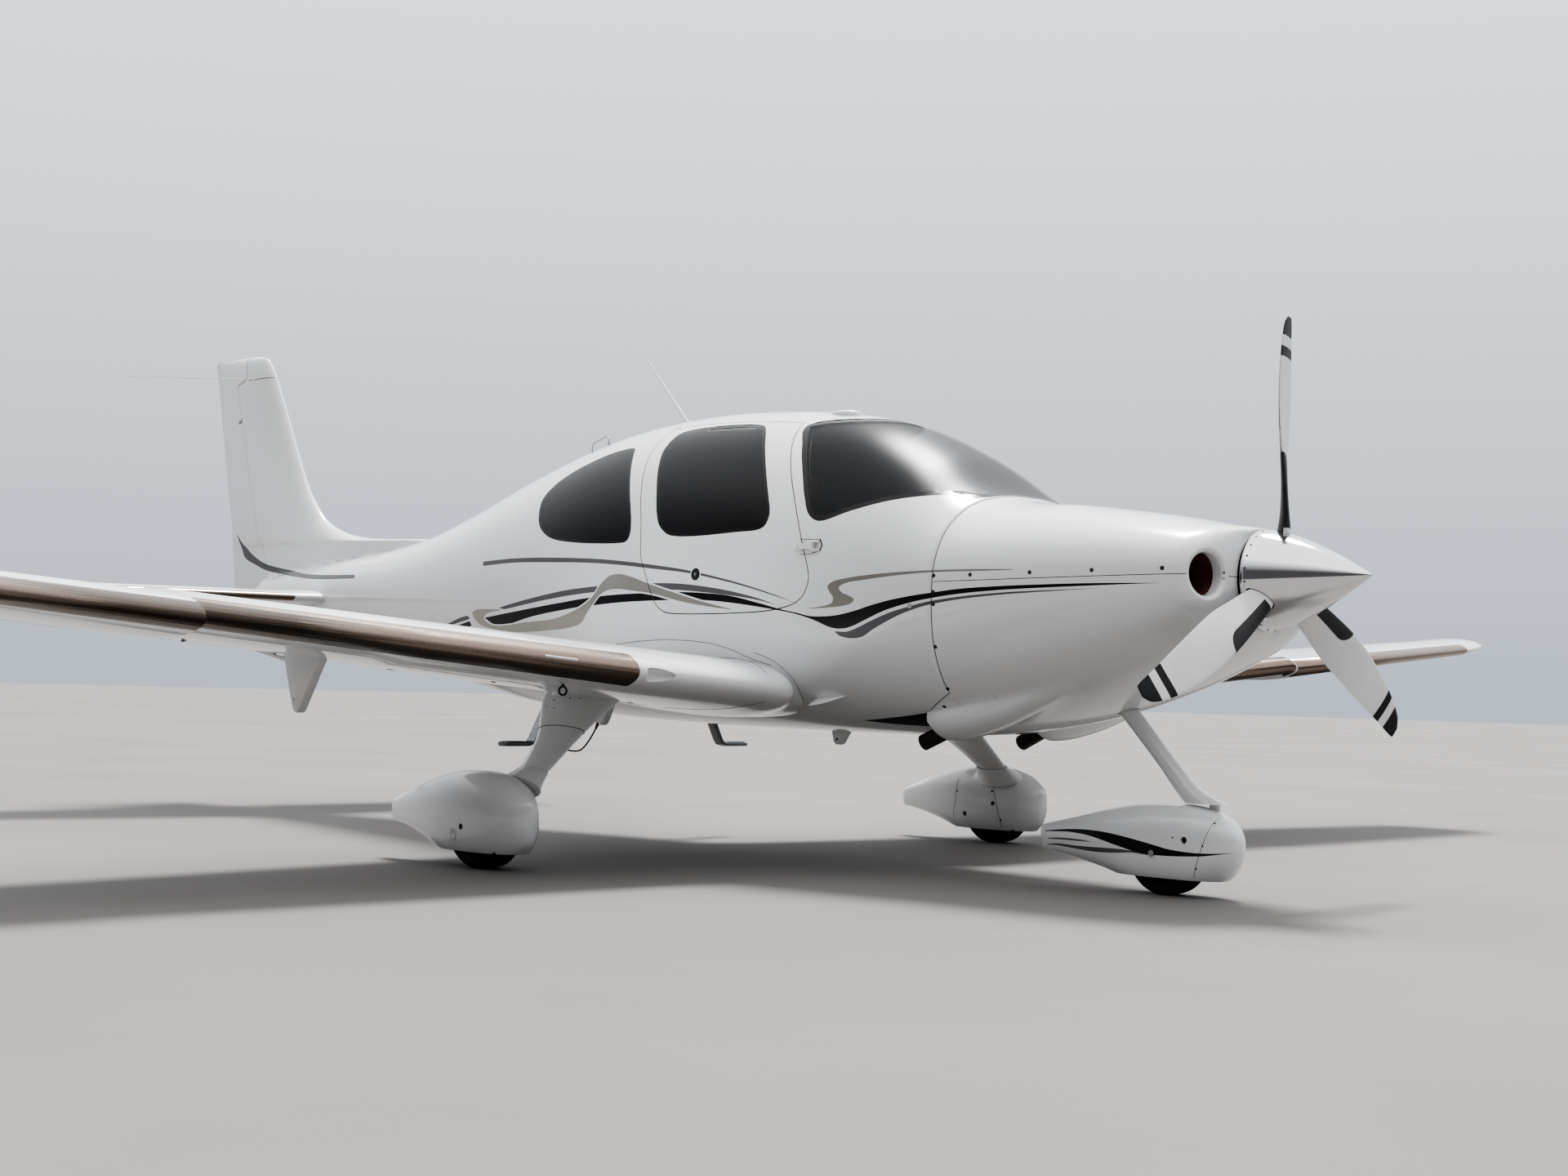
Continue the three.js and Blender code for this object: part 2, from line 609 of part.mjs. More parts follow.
// Exit scoops under the lower cowl: x, half width, underside z, topside z
const scoopY = 325;
const scoopWall = 9;
const scoopRows = [
  [2200, 98, 572, 730], [2290, 108, 554, 740], [2400, 110, 566, 760], [2560, 96, 612, 780],
  [2740, 70, 690, 800], [2900, 44, 770, 830]];
const ovalRing = (x, y, halfWidth, low, high, sides = 12) => {
  const ring = [];
  for (let i = 0; i < sides; i += 1) {
    const angle = (2 * Math.PI * i) / sides;
    ring.push([x, y + halfWidth * Math.cos(angle), (low + high) / 2 + (high - low) / 2 * Math.sin(angle)]);
  }
  return ring;
};
const scoopSolid = (side, inset) => loft(scoopRows.map(([x, halfWidth, low, high]) =>
  ovalRing(x - inset, side * scoopY, halfWidth - inset, low + inset, high - inset)));

const hub = [3591, 0, 1194];
const thrustTilt = 0.029;
const engineLow = [-990, -320, -230];
const engineHigh = [-260, 320, 95];
const engineUnderside = (x) => hub[2] + engineLow[2] - (hub[0] - x) * Math.tan(thrustTilt);
const exhaustRadius = 33;
const exhaustPath = [
  [2140, 317, 541], [2400, 290, 660], [2800, 250, 850], [2800, 250, engineUnderside(2800) - 1.3]];
const bendProfile = [[-1, 0], [-0.7, 0.7], [0, 1], [0.7, 0.7], [1, 0]];

// The exhaust pipe on one side, from its open tip up to the engine, at a given radius.
function exhaustRun(side, radius, extra = 0) {
  const points = exhaustPath.map(([x, y, z]) => [x, side * y, z]);
  points[points.length - 1][2] += extra;
  const solids = [];
  for (let i = 1; i < points.length; i += 1) {
    solids.push(bar(points[i - 1], points[i], radius));
    if (i + 1 < points.length) {
      solids.push(turned(bendProfile.map(([at, r]) => [at * radius, r * radius]), 'x', points[i], 12));
    }
  }
  return joined(...solids);
}

// Cabin and tail shells, split along the middle, with the fin moulded in
const cabinWall = 38;
const tailWall = 16;
const bulkheadX = -1040;
const tailEndX = -3262;
const paneDepth = 9;
const doorTopY = 300;
const doorGap = 6;
const baggageDoorDepth = 16;
const sillY = 780;

// Knuckle hinges: a sleeve on the door between two knuckles and a pin on the body
const knuckle = { radius: 9, pin: 4.5, halfSleeve: 13, end: 7, room: 5 };
const doorHingeAt = (side) => (z) => [1800, side * (668 - 0.1 * (z - 1080)), z];
const doorHingeZ = 1325;
const baggageHingeAt = (z) => [-322, 600, z];
const baggageHingeZs = [1060, 1250];

// A door's sleeve with its arm, the body's knuckles with theirs, and the room around them.
// Arms are given by two corners in x and y.
function knuckleHinge(axisAt, z, doorArms, bodyArm) {
  const { radius, pin, halfSleeve, end, room } = knuckle;
  const slab = ([low, high], from, to) => box(
    [Math.min(low[0], high[0]), Math.min(low[1], high[1]), from],
    [Math.max(low[0], high[0]), Math.max(low[1], high[1]), to]);
  const span = (from, to, r) => bar(axisAt(z + from), axisAt(z + to), r, r, 8);
  const sleeve = joined(span(-halfSleeve, halfSleeve, radius),
    ...doorArms.map((arm) => slab(arm, z - halfSleeve + 2, z + halfSleeve - 2)));
  const inner = halfSleeve + seatGap;
  const ends = [[-inner - end, -inner, -inner - 2], [inner + end, inner, inner + 2]].map(([far, near, arm]) =>
    span(far, near, radius).add(slab(bodyArm, z + Math.min(far, arm), z + Math.max(far, arm))));
  return {
    door: sleeve.subtract(span(-halfSleeve - 2, halfSleeve + 2, boreFor(pin))),
    body: joined(...ends, span(-inner - 1, inner + 1, pin)),
    room: span(-inner - end - room, inner + end + room, radius + room),
  };
}
const cabinStations = [bulkheadX, -620, -190, 200, 600, 1000, 1350, 1625, 1850, 2100, cowlJointX];
const tailStations = [tailEndX, -2900, -2400, -1950, -1460, bulkheadX];
const shellStations = [...tailStations, ...cabinStations.slice(1)];

const cabinSpace = (inset) => bodySolid([...cabinStations.slice(0, -1), cowlJointX + 1], inset, 0);
const tailSpace = bodySolid([...tailStations.slice(1), bulkheadX + 1], tailWall, 0);
const paneLayer = bodySolid(shellStations, 1, 0).subtract(bodySolid(shellStations, paneDepth, 0));
const wallLayer = bodySolid(shellStations, 0, 0).subtract(cabinSpace(cabinWall));
const wingRoom = wingSolid(0.4);
const stabiliserRoom = stabiliserSolid(0.4);
const tubeRoom = bar([elevatorHingeX, -400, stabiliserZ], [elevatorHingeX, 400, stabiliserZ],
  elevatorTube + movingGap);
const tailGap = elevatorInnerY - 10;
const elevatorRoom = box([-3400, -tailGap, stabiliserZ - 24], [elevatorHingeX, tailGap, stabiliserZ + 24]);

const tailPad = { x: [-3050, -2990], y: 32, z: 990, top: 1040 };
const stepFoot = { x: -20, y: 462, z: 730 };
const stepTread = { x: [-43, 7], y: [606, 773], z: [446, 466] };

for (const side of [1, -1]) {
  const sideName = side > 0 ? 'left' : 'right';
  const outward = (outline, from = 200) => sidePrism(outline, side * from, side * sillY);

  const doorRoom = sidePrism(grown(doorFrameOutline, doorGap), side * (doorTopY - doorGap), side * sillY);
  const doorBlank = wallLayer.intersect(outward(doorOutline, doorTopY));
  const doorHinge = knuckleHinge(doorHingeAt(side), doorHingeZ,
    [[[1722, side * 641], [1800, side * 652]], [[1700, side * 612], [1728, side * 652]]],
    [[1795, side * 620], [1825, side * 652]]);
  place(`door_${sideName}`,
    doorBlank.subtract(outward(doorWindowOutline)).subtract(doorHinge.room).add(doorHinge.door), whitePaint);
  place(`door_window_${sideName}`, paneLayer.intersect(outward(grown(doorWindowOutline, -0.5))), tintedGlass);
  place(`quarter_window_${sideName}`,
    paneLayer.intersect(outward(grown(quarterWindowOutline, -0.5))), tintedGlass);

  const elbow = [(stepTread.x[0] + stepTread.x[1]) / 2, side * (stepTread.y[0] + 14), stepTread.z[0] + 6];
  const portHalf = box([-4000, seatGap / 2, 900], [0, 400, 2700]);
  const finHalf = fin.intersect(portHalf);
  const lugHalf = joined(...rudderHinges.map((hinge) => hinge.lug)).intersect(portHalf);
  let half = bodySolid(shellStations, 0, side)
    .add(side > 0 ? finHalf : mirrored(finHalf))
    .subtract(cabinSpace(cabinWall))
    .subtract(tailSpace)
    .subtract(wingRoom)
    .subtract(stabiliserRoom)
    .subtract(tubeRoom)
    .subtract(elevatorRoom)
    .subtract(rudderSpace(movingGap))
    .subtract(doorRoom)
    .subtract(doorHinge.room)
    .add(doorHinge.body)
    .subtract(outward(quarterWindowOutline))
    .subtract(exhaustRun(side, exhaustRadius + 8))
    .subtract(sidePrism(windscreenOutline, -sillY, sillY))
    .subtract(sidePrism(jointOutline, -sillY, sillY))
    .add(side > 0 ? lugHalf : mirrored(lugHalf))
    .add(bar([stepFoot.x, side * stepFoot.y, stepFoot.z],
      elbow, 12, 12, 8));
  half = half.add(box(
    [stepTread.x[0], Math.min(side * stepTread.y[0], side * stepTread.y[1]), stepTread.z[0]],
    [stepTread.x[1], Math.max(side * stepTread.y[0], side * stepTread.y[1]), stepTread.z[1]]));
  half = half.add(box(
    [tailPad.x[0], side > 0 ? seatGap / 2 : -tailPad.y, tailPad.z],
    [tailPad.x[1], side > 0 ? tailPad.y : -seatGap / 2, tailPad.top]));
  if (side > 0) {
    half = half.subtract(outward(grown(baggageOutline, movingGap)));
    let baggageDoor = bodyLayer(shellStations, 0, baggageDoorDepth, 0).intersect(outward(baggageOutline));
    for (const z of baggageHingeZs) {
      const hinge = knuckleHinge(
        baggageHingeAt, z, [[[-350, 572], [-328, 604]]], [[-322, 560], [-296, 604]]);
      half = half.add(hinge.body);
      baggageDoor = baggageDoor.add(hinge.door);
    }
    place('baggage_door', baggageDoor, whitePaint);
  }
  place(`fuselage_${sideName}`, half, whitePaint);
}
const windscreenRoom = sidePrism(grown(windscreenOutline, -0.5), -sillY, sillY);
place('windscreen', paneLayer.intersect(windscreenRoom), clearGlass);

// Cabin fittings
const lining = cabinSpace(cabinWall + 0.5);
const floorTop = 925;
const floorOutline = [
  [-1015, 940], [-260, 940], [-260, 900], [1790, 900], [1790, 740], [2385, 740], [2385, 765],
  [1815, 765], [1815, floorTop], [-235, floorTop], [-235, 965], [-1015, 965]];
place('cabin_floor', sidePrism(floorOutline, -700, 700).intersect(lining), carpet);
place('aft_bulkhead', box([-1036, -700, 500], [-1016, 700, 2000]).intersect(lining), carpet);
const firewallX = [2388, 2404];
place('firewall', box([firewallX[0], -700, 745], [firewallX[1], 700, 1700]).intersect(lining), bareMetal);

const panelOutline = [
  [1935, 1090], [1935, 1425], [1895, 1450], [1920, 1468], [2375, 1478], [2375, 1450], [1990, 1425],
  [1985, 1090]];
const consoleOutline = [
  [1380, floorTop + seatGap], [1380, 1060], [1700, 1100], [1900, 1200], [1950, 1200], [1950, 1000],
  [1800, floorTop + seatGap]];
const panelHalfWidth = 560;
const consoleHalfWidth = 90;
place('instrument_panel', sidePrism(panelOutline, -panelHalfWidth, panelHalfWidth)
  .add(sidePrism(consoleOutline, -consoleHalfWidth, consoleHalfWidth))
  .intersect(cabinSpace(cabinWall + 4)), panelPlastic);

const seatBase = floorTop + seatGap;
const frontSeatOutline = [
  [1420, seatBase], [1420, 1010], [1500, 1060], [1490, 1115], [1400, 1125], [1060, 1090],
  [985, 1200], [905, 1540], [880, 1580], [830, 1590], [795, 1560], [900, 1100], [930, seatBase]];
const headrestOutline = [[880, 1570], [890, 1610], [880, 1740], [840, 1760], [800, 1740], [800, 1570]];
const rearSeatOutline = [
  [430, seatBase], [445, 1090], [400, 1110], [40, 1070], [-80, 1540], [-120, 1560], [-160, 1540],
  [-70, 1050], [-60, seatBase]];
for (const side of [1, -1]) {
  const sideName = side > 0 ? 'left' : 'right';
  place(`seat_front_${sideName}`, sidePrism(frontSeatOutline, side * 105, side * 500)
    .add(sidePrism(headrestOutline, side * 205, side * 400)), leather);
}
place('seat_rear', sidePrism(rearSeatOutline, -500, 500).intersect(cabinSpace(cabinWall + 6)), leather);

// Engine cowling: an upper and a lower half around the block
const cowlSkin = 10;
const cowlNoseX = 3515;
const cowlStations = [2190, cowlJointX, 2700, 3000, 3250, 3400, 3460, 3492, cowlNoseX];
const cowlSplitZ = (x) => 1172 + (x - cowlJointX) * 0.0205;
const inlet = { y: 330, z: 1198, radius: 78 };

const cowlBlank = bodyLayer(cowlStations, 0, cowlSkin, 0);
const splitEnds = [cowlJointX - 400, cowlNoseX + 60];
const splitPrism = (lift, far) => sidePrism([
  ...splitEnds.map((x) => [x, cowlSplitZ(x) + lift]),
  [splitEnds[1], far], [splitEnds[0], far]], -800, 800);
const inletHole = (side) => bar(
  [3300, side * inlet.y, inlet.z], [3600, side * inlet.y, inlet.z], inlet.radius, inlet.radius, 24);
const cowlOpen = cowlBlank.subtract(inletHole(1)).subtract(inletHole(-1));

const noseLegRows = [
  [915, 2640, 2740, 30], [700, 2860, 2956, 32], [480, 3072, 3170, 32], [400, 3140, 3262, 36],
  [352, 3185, 3372, 40]];
const noseLegSolid = (grow) => loft(noseLegRows.map(([z, rear, front, halfWidth]) => {
  const ring = [];
  for (let i = 0; i < 12; i += 1) {
    const angle = (Math.PI * i) / 6;
    ring.push([(rear + front) / 2 + ((front - rear) / 2 + grow) * Math.cos(angle),
      (halfWidth + grow) * Math.sin(angle), z]);
  }
  return ring;
}));

const cowlRoom = sidePrism(grown(jointOutline, -seatGap), -sillY, sillY);
const cowlInside = bodySolid([cowlStations[0] - 1, ...cowlStations.slice(1)], cowlSkin, 0);
let lowerCowl = cowlOpen.intersect(splitPrism(-0.2, 400));
for (const side of [1, -1]) {
  lowerCowl = lowerCowl.add(scoopSolid(side, 0).subtract(cowlInside));
}
for (const side of [1, -1]) {
  lowerCowl = lowerCowl
    .subtract(scoopSolid(side, scoopWall))
    .subtract(exhaustRun(side, exhaustRadius + 6, 40));
}
lowerCowl = lowerCowl.subtract(noseLegSolid(7)).intersect(cowlRoom);
place('cowl_upper', cowlOpen.intersect(splitPrism(0.2, 1800)).intersect(cowlRoom), whitePaint);
place('cowl_lower', lowerCowl, whitePaint);
for (const side of [1, -1]) {
  place(`exhaust_${side > 0 ? 'left' : 'right'}`, exhaustRun(side, exhaustRadius), darkMetal);
}

// Engine and propeller, on a thrust line raised a little at the nose
const crankRadius = 32;

const engineGeometry = new THREE.BoxGeometry(...engineHigh.map((value, axis) => value - engineLow[axis]));
engineGeometry.translate(...engineHigh.map((value, axis) => (value + engineLow[axis]) / 2));
engineGeometry.rotateY(-thrustTilt);
engineGeometry.translate(...hub);
let engine = toSolid(engineGeometry);
for (const side of [1, -1]) {
  for (const z of [1030, 1220]) {
    engine = engine.add(bar([firewallX[1] + seatGap, side * 240, z], [2640, side * 240, z], 16, 16, 8));
  }
}
place('engine_block', engine, castMetal);

const propeller = new THREE.Group();
propeller.position.set(...hub);
propeller.rotation.y = -thrustTilt;
aircraft.add(propeller);

const spinner = { base: -54, tip: noseX - hub[0], radius: 190, wall: 6, power: 1.46 };
const spinnerRadius = (u) => spinner.radius * (1 - u ** spinner.power);
const backplate = { rear: -62, front: spinner.base - seatGap, radius: 187 };
const bladeHoleGap = 6;
const rootRadius = 105;
const bladeLean = 0.05;
const bladeAngles = [0, 1, 2].map((k) => bladeLean + (2 * Math.PI * k) / 3);
const outwards = (angle, r) => [0, r * Math.sin(angle), r * Math.cos(angle)];

// Blade rows: radius, chord, thickness, pitch in degrees, lead of the chord's middle
const bladeRows = [
  [rootRadius + seatGap, 84, 78, 46, 0], [190, 112, 46, 42, 0], [290, 132, 30, 35, 3],
  [430, 160, 24, 27, 6], [560, 168, 19, 20, 12], [700, 155, 15, 16, 12], [835, 127, 11, 14.5, 6],
  [920, 100, 9, 13.5, -4], [965, 76, 7, 13, -14], [propellerRadius, 44, 4, 13, -26]];

// Oval sections along a blade that stands up from the hub, each set at its pitch.
const bladeSolid = (rows, grow) => loft(rows.map(([r, chord, thickness, pitch, lead]) => {
  const turn = THREE.MathUtils.degToRad(pitch);
  const ring = [];
  for (let i = 0; i < 12; i += 1) {
    const phi = (Math.PI * i) / 6;
    const ahead = lead + (chord / 2 + grow) * Math.cos(phi);
    const out = (thickness / 2 + grow) * Math.sin(phi);
    const x = ahead * Math.sin(turn) + out * Math.cos(turn);
    const across = -ahead * Math.cos(turn) + out * Math.sin(turn);
    ring.push([x, across, r]);
  }
  return ring;
}));

const spinnerSteps = [0, 0.15, 0.35, 0.6, 0.85];
const along = (u) => spinner.base + u * (spinner.tip - spinner.base);
const outerProfile = [...spinnerSteps.map((u) => [along(u), spinnerRadius(u)]), [spinner.tip, 0]];
const innerProfile = [0, 0.35, 0.6].map((u) => [along(u), spinnerRadius(u) - spinner.wall]);
innerProfile.push([along(0.88), 0]);
innerProfile[0][0] -= 1;
const spinnerOuter = turned([[spinner.base, 0], ...outerProfile], 'x', [0, 0, 0], 20);
const spinnerInner = turned([[spinner.base - 1, 0], ...innerProfile], 'x', [0, 0, 0], 20);
let spinnerShell = spinnerOuter.subtract(spinnerInner);
let hubSolid = joined(
  bar([backplate.rear, 0, 0], [backplate.front, 0, 0], backplate.radius, backplate.radius, 20),
  bar([-60, 0, 0], [70, 0, 0], 62),
  bar([engineHigh[0] + 0.5, 0, 0], [-50, 0, 0], crankRadius));
for (const angle of bladeAngles) {
  const hole = toGeometry(bladeSolid(bladeRows.slice(0, 3), bladeHoleGap));
  hole.rotateX(-angle);
  spinnerShell = spinnerShell.subtract(toSolid(hole));
  hubSolid = hubSolid.add(bar(outwards(angle, 0), outwards(angle, rootRadius), 50));
}
place('spinner', spinnerShell, polished, propeller);
place('propeller_hub', hubSolid, bareMetal, propeller);
bladeAngles.forEach((angle, k) => {
  const mesh = place(`blade_${k + 1}`, bladeSolid(bladeRows, 0), bladePaint, propeller);
  mesh.rotation.x = -angle;
});

// Wheels and tyres
const mainWheel = { tyre: 176, width: 150, rim: 80, bore: 20 };
const noseWheel = { tyre: 160, width: 126, rim: 66, bore: 13 };

const wheelSides = 24;

function tyreSolid({ tyre, width, rim }, centre) {
  const half = width / 2;
  const side = [[half * 0.76, rim + 0.4], [half, rim + (tyre - rim) * 0.5], [half * 0.88, tyre - 12],
    [half * 0.5, tyre]];
  const profile = [...side, ...side.map(([a, r]) => [-a, r]).reverse()];
  return turned([...profile, profile[0]], 'y', centre, wheelSides);
}

function wheelSolid({ width, rim, bore }, centre) {
  const half = width * 0.37;
  const profile = [[half, bore], [half - 16, rim - 18], [half, rim - 8], [half, rim]];
  const closed = [...profile, ...profile.map(([a, r]) => [-a, r]).reverse()];
  return turned([...closed, closed[0]], 'y', centre, wheelSides);
}

// Wheel pant rows: x from its wheel's centre, half width, top z, bottom z, lower power
const mainPantRows = [
  [-620, 16, 240, 153, 0.9], [-500, 46, 284, 134, 0.85], [-350, 84, 332, 98, 0.75],
  [-190, 114, 372, 52, 0.62], [-50, 126, 385, 36, 0.6], [90, 122, 376, 36, 0.6],
  [190, 100, 344, 46, 0.7], [252, 68, 306, 84, 0.85], [287, 36, 280, 128, 0.95], [300, 12, 256, 188, 1]];
const nosePantRows = [
  [-608, 10, 229, 135, 0.9], [-460, 45, 264, 112, 0.85], [-290, 84, 307, 82, 0.72],
  [-120, 108, 339, 44, 0.6], [50, 116, 348, 34, 0.6], [180, 110, 338, 38, 0.66], [265, 84, 304, 74, 0.82],
  [312, 44, 254, 136, 0.95], [326, 9, 218, 186, 1]];
const pantSides = 14;
const pantFloorZ = 68;
const upperPantPower = 0.78;

function pantSolid(rows, wheelX, y, inset) {
  return loft(rows.map(([x, halfWidth, high, low, lowerPower]) => {
    const ring = [];
    for (let i = 0; i < pantSides; i += 1) {
      const angle = (2 * Math.PI * i) / pantSides;
      const power = Math.sin(angle) < 0 ? lowerPower : upperPantPower;
      const round = (value) => Math.sign(value) * Math.abs(value) ** power;
      ring.push([wheelX + x, y + Math.max(halfWidth - inset, 1) * round(Math.cos(angle)),
        (low + high) / 2 + Math.max((high - low) / 2 - inset, 1) * round(Math.sin(angle))]);
    }
    return ring;
  }));
}

// A pant with a flat floor, room inside for the wheel and a mouth below it.
function hollowPant(rows, wheelX, y, wheel, cuff = null) {
  const room = wheel.tyre + 14;
  const inner = pantSolid(rows, wheelX, y, 12)
    .intersect(box([wheelX - room, y - 300, 0], [wheelX + room + 40, y + 300, 500]));
  const mouth = box([wheelX - wheel.tyre + 4, y - wheel.width / 2 - 11, 0],
    [wheelX + wheel.tyre - 4, y + wheel.width / 2 + 11, 150]);
  const below = box([wheelX - 700, y - 300, -100], [wheelX + 500, y + 300, pantFloorZ]);
  const outer = pantSolid(rows, wheelX, y, 0);
  return (cuff ? outer.add(cuff) : outer).subtract(inner).subtract(mouth).subtract(below);
}

// Main gear legs: y, z, rear x, front x, half thickness
const mainLegRows = [
  [990, 770, 685, 1290, 58], [1060, 713, 685, 1185, 50], [1110, 672, 690, 1160, 44],
  [1200, 598, 782, 1145, 33], [1300, 515, 888, 1140, 27], [1400, 430, 945, 1142, 24],
  [1495, 350, 975, 1146, 20]];
const legEndRow = [1530, 320, 982, 1148, 20];
const legLean = Math.atan2(420, 505);
// The cuff on a pant that takes the foot of its leg: y, z, rear x, front x, half thickness
const cuffRows = [
  [1452, 385, 955, 1152, 26], [1474, 366, 946, 1160, 34], [1498, 345, 930, 1172, 46],
  [1522, 324, 908, 1190, 58]];
const footOutline = [[1150, 360], [985, 360], [930, 190], [940, 140], [1000, 140], [1035, 200]];
const footY = [1490, 1512];
const axleEnd = 1706;

// Oval rings along a leg or a cuff, square to the leg's lean
function legLoft(rows, side, grow = 0) {
  return loft(rows.map(([y, z, rear, front, half]) => {
    const ring = [];
    for (let i = 0; i < 12; i += 1) {
      const angle = (Math.PI * i) / 6;
      const out = (half + grow) * Math.sin(angle);
      ring.push([(rear + front) / 2 + ((front - rear) / 2 + grow) * Math.cos(angle),
        side * (y + out * Math.sin(legLean)), z + out * Math.cos(legLean)]);
    }
    return ring;
  }));
}

for (const side of [1, -1]) {
  const sideName = side > 0 ? 'left' : 'right';
  const leg = legLoft(mainLegRows, side).subtract(wingRoom);
  const wheelCentre = [mainWheelX, side * halfTrack, mainWheel.tyre];
  const foot = sidePrism(footOutline, side * footY[0], side * footY[1]);
  const axleAt = (y) => [mainWheelX, side * y, mainWheel.tyre];
  const axleRadius = mainWheel.bore - 0.5;
  const axle = bar(axleAt(footY[0]), axleAt(axleEnd), axleRadius, axleRadius, 28);
  place(`main_leg_${sideName}`, joined(leg, foot, axle), whitePaint);
  const slot = sidePrism(grown(footOutline, seatGap), side * (footY[0] - 60), side * (footY[1] + 10))
    .add(bar(axleAt(1500), axleAt(axleEnd + 5), 24));
  const pant = hollowPant(
    mainPantRows, mainWheelX, side * halfTrack, mainWheel, legLoft(cuffRows, side))
    .subtract(slot)
    .subtract(legLoft([...mainLegRows, legEndRow], side, seatGap));
  place(`main_pant_${sideName}`, pant, whitePaint);
  place(`main_tyre_${sideName}`, tyreSolid(mainWheel, wheelCentre), rubber);
  place(`main_wheel_${sideName}`, wheelSolid(mainWheel, wheelCentre), bareMetal);
}

// Nose gear: a leg from the firewall down through the cowl, and a fork that casters below it
const casterX = 3315;
const noseAxleZ = noseWheel.tyre;
const noseAxleHalf = 119;
const legFootZ = noseLegRows[noseLegRows.length - 1][0];
let noseLeg = noseLegSolid(0);
for (const side of [1, -1]) {
  noseLeg = noseLeg.add(bar([2690, 0, 890], [firewallX[0], side * 170, 880], 18, 18, 8));
}
noseLeg = noseLeg.subtract(box([2300, -300, 800], [firewallX[1] + seatGap, 300, 1000]));
place('nose_leg', noseLeg, whitePaint);

const forkY = [70, 84];
const armOutline = [
  [3340, 165], [3340, 235], [3280, 240], [3113, 190], [3085, 172], [3085, 148], [3113, 132]];
const crown = box([3284, -forkY[1], 165], [3340, forkY[1], 235]);
const post = bar([casterX, 0, 200], [casterX, 0, legFootZ - seatGap], 20);
let fork = joined(crown, post, bar([wheelbaseFront, -noseAxleHalf, noseAxleZ],
  [wheelbaseFront, noseAxleHalf, noseAxleZ], noseWheel.bore - 0.5, noseWheel.bore - 0.5, 28));
for (const side of [1, -1]) {
  fork = fork.add(sidePrism(armOutline, side * forkY[0], side * forkY[1]));
}
place('nose_fork', fork, bareMetal);
const nosePant = hollowPant(nosePantRows, wheelbaseFront, 0, noseWheel)
  .subtract(bar([casterX, 0, 150], [casterX, 0, 500], 24))
  .subtract(bar([wheelbaseFront, -300, noseAxleZ], [wheelbaseFront, 300, noseAxleZ], 16))
  .subtract(sidePrism(grown(armOutline, seatGap), -forkY[1] - seatGap, forkY[1] + seatGap));
place('nose_pant', nosePant, whitePaint);
place('nose_tyre', tyreSolid(noseWheel, [wheelbaseFront, 0, noseAxleZ]), rubber);
place('nose_wheel', wheelSolid(noseWheel, [wheelbaseFront, 0, noseAxleZ]), bareMetal);

place('wing', wing, whitePaint);

export default aircraft;
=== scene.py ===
"""Looks of a parked four-seat light aircraft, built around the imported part.

The tables of sections and outlines are in millimetres and give the same forms as the part
itself, drawn here with many more stations. Everything is scaled to metres when it is made.
"""
import math

import bmesh
import bpy
import numpy as np
from mathutils import Matrix, Vector
from mathutils.bvhtree import BVHTree


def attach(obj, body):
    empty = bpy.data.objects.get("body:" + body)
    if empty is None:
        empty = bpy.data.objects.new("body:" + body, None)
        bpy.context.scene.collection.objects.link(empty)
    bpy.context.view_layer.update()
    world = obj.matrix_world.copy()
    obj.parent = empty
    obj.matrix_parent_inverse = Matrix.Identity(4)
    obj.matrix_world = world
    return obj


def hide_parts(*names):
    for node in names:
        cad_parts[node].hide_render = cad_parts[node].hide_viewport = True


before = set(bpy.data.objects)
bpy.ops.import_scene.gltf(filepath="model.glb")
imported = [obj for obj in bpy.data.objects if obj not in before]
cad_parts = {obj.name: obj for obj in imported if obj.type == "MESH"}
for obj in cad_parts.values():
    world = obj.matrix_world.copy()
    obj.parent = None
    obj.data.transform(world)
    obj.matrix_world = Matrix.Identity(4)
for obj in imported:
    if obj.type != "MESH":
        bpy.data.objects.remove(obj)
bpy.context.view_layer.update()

MM = 0.001
HUB = (3591, 0, 1194)
SIDES = {"left": 1, "right": -1}


def linked(name, data):
    """A new object in the scene."""
    piece = bpy.data.objects.new(name, data)
    bpy.context.scene.collection.objects.link(piece)
    return piece


# Camera: lens and sensor in millimetres, place in metres, turns in radians
SENSOR_WIDTH, LENS = 36, 49.564
CAMERA_PLACE, CAMERA_TURNS = (7.871, -6.932, 0.745), (2.3511, 0.0464, 0.0269)
NEAREST, FARTHEST = 0.1, 200


def make_camera():
    """The photograph's viewpoint, solved from points of known size on the aircraft."""
    camera = linked("camera", bpy.data.cameras.new("camera"))
    camera.data.sensor_width = SENSOR_WIDTH
    camera.data.lens = LENS
    camera.data.clip_start = NEAREST
    camera.data.clip_end = FARTHEST
    yaw, pitch, roll = CAMERA_TURNS
    forward = Vector((math.cos(yaw) * math.cos(pitch), math.sin(yaw) * math.cos(pitch), math.sin(pitch)))
    right = Vector((math.sin(yaw), -math.cos(yaw), 0))
    up = right.cross(forward)
    right, up = (math.cos(roll) * right + math.sin(roll) * up, math.cos(roll) * up - math.sin(roll) * right)
    matrix = Matrix((right, up, -forward)).transposed().to_4x4()
    matrix.translation = Vector(CAMERA_PLACE)
    camera.matrix_world = matrix
    bpy.context.scene.camera = camera


make_camera()


# Mesh helpers: all take millimetres

def mesh_object(name, points, faces):
    mesh = bpy.data.meshes.new(name)
    mesh.from_pydata([tuple(c * MM for c in p) for p in points], [], faces)
    mesh.update()
    return linked(name, mesh)


def turns(count, extra=0):
    """(cosine, sine) of even steps round a circle, with some steps more than the full turn."""
    angles = (2 * math.pi * k / count for k in range(count + extra))
    return [(math.cos(a), math.sin(a)) for a in angles]


def eased(count, first=0):
    """Sines that grow from 0 to 1 over a quarter turn."""
    return [math.sin(math.pi / 2 * k / count) for k in range(first, count + 1)]


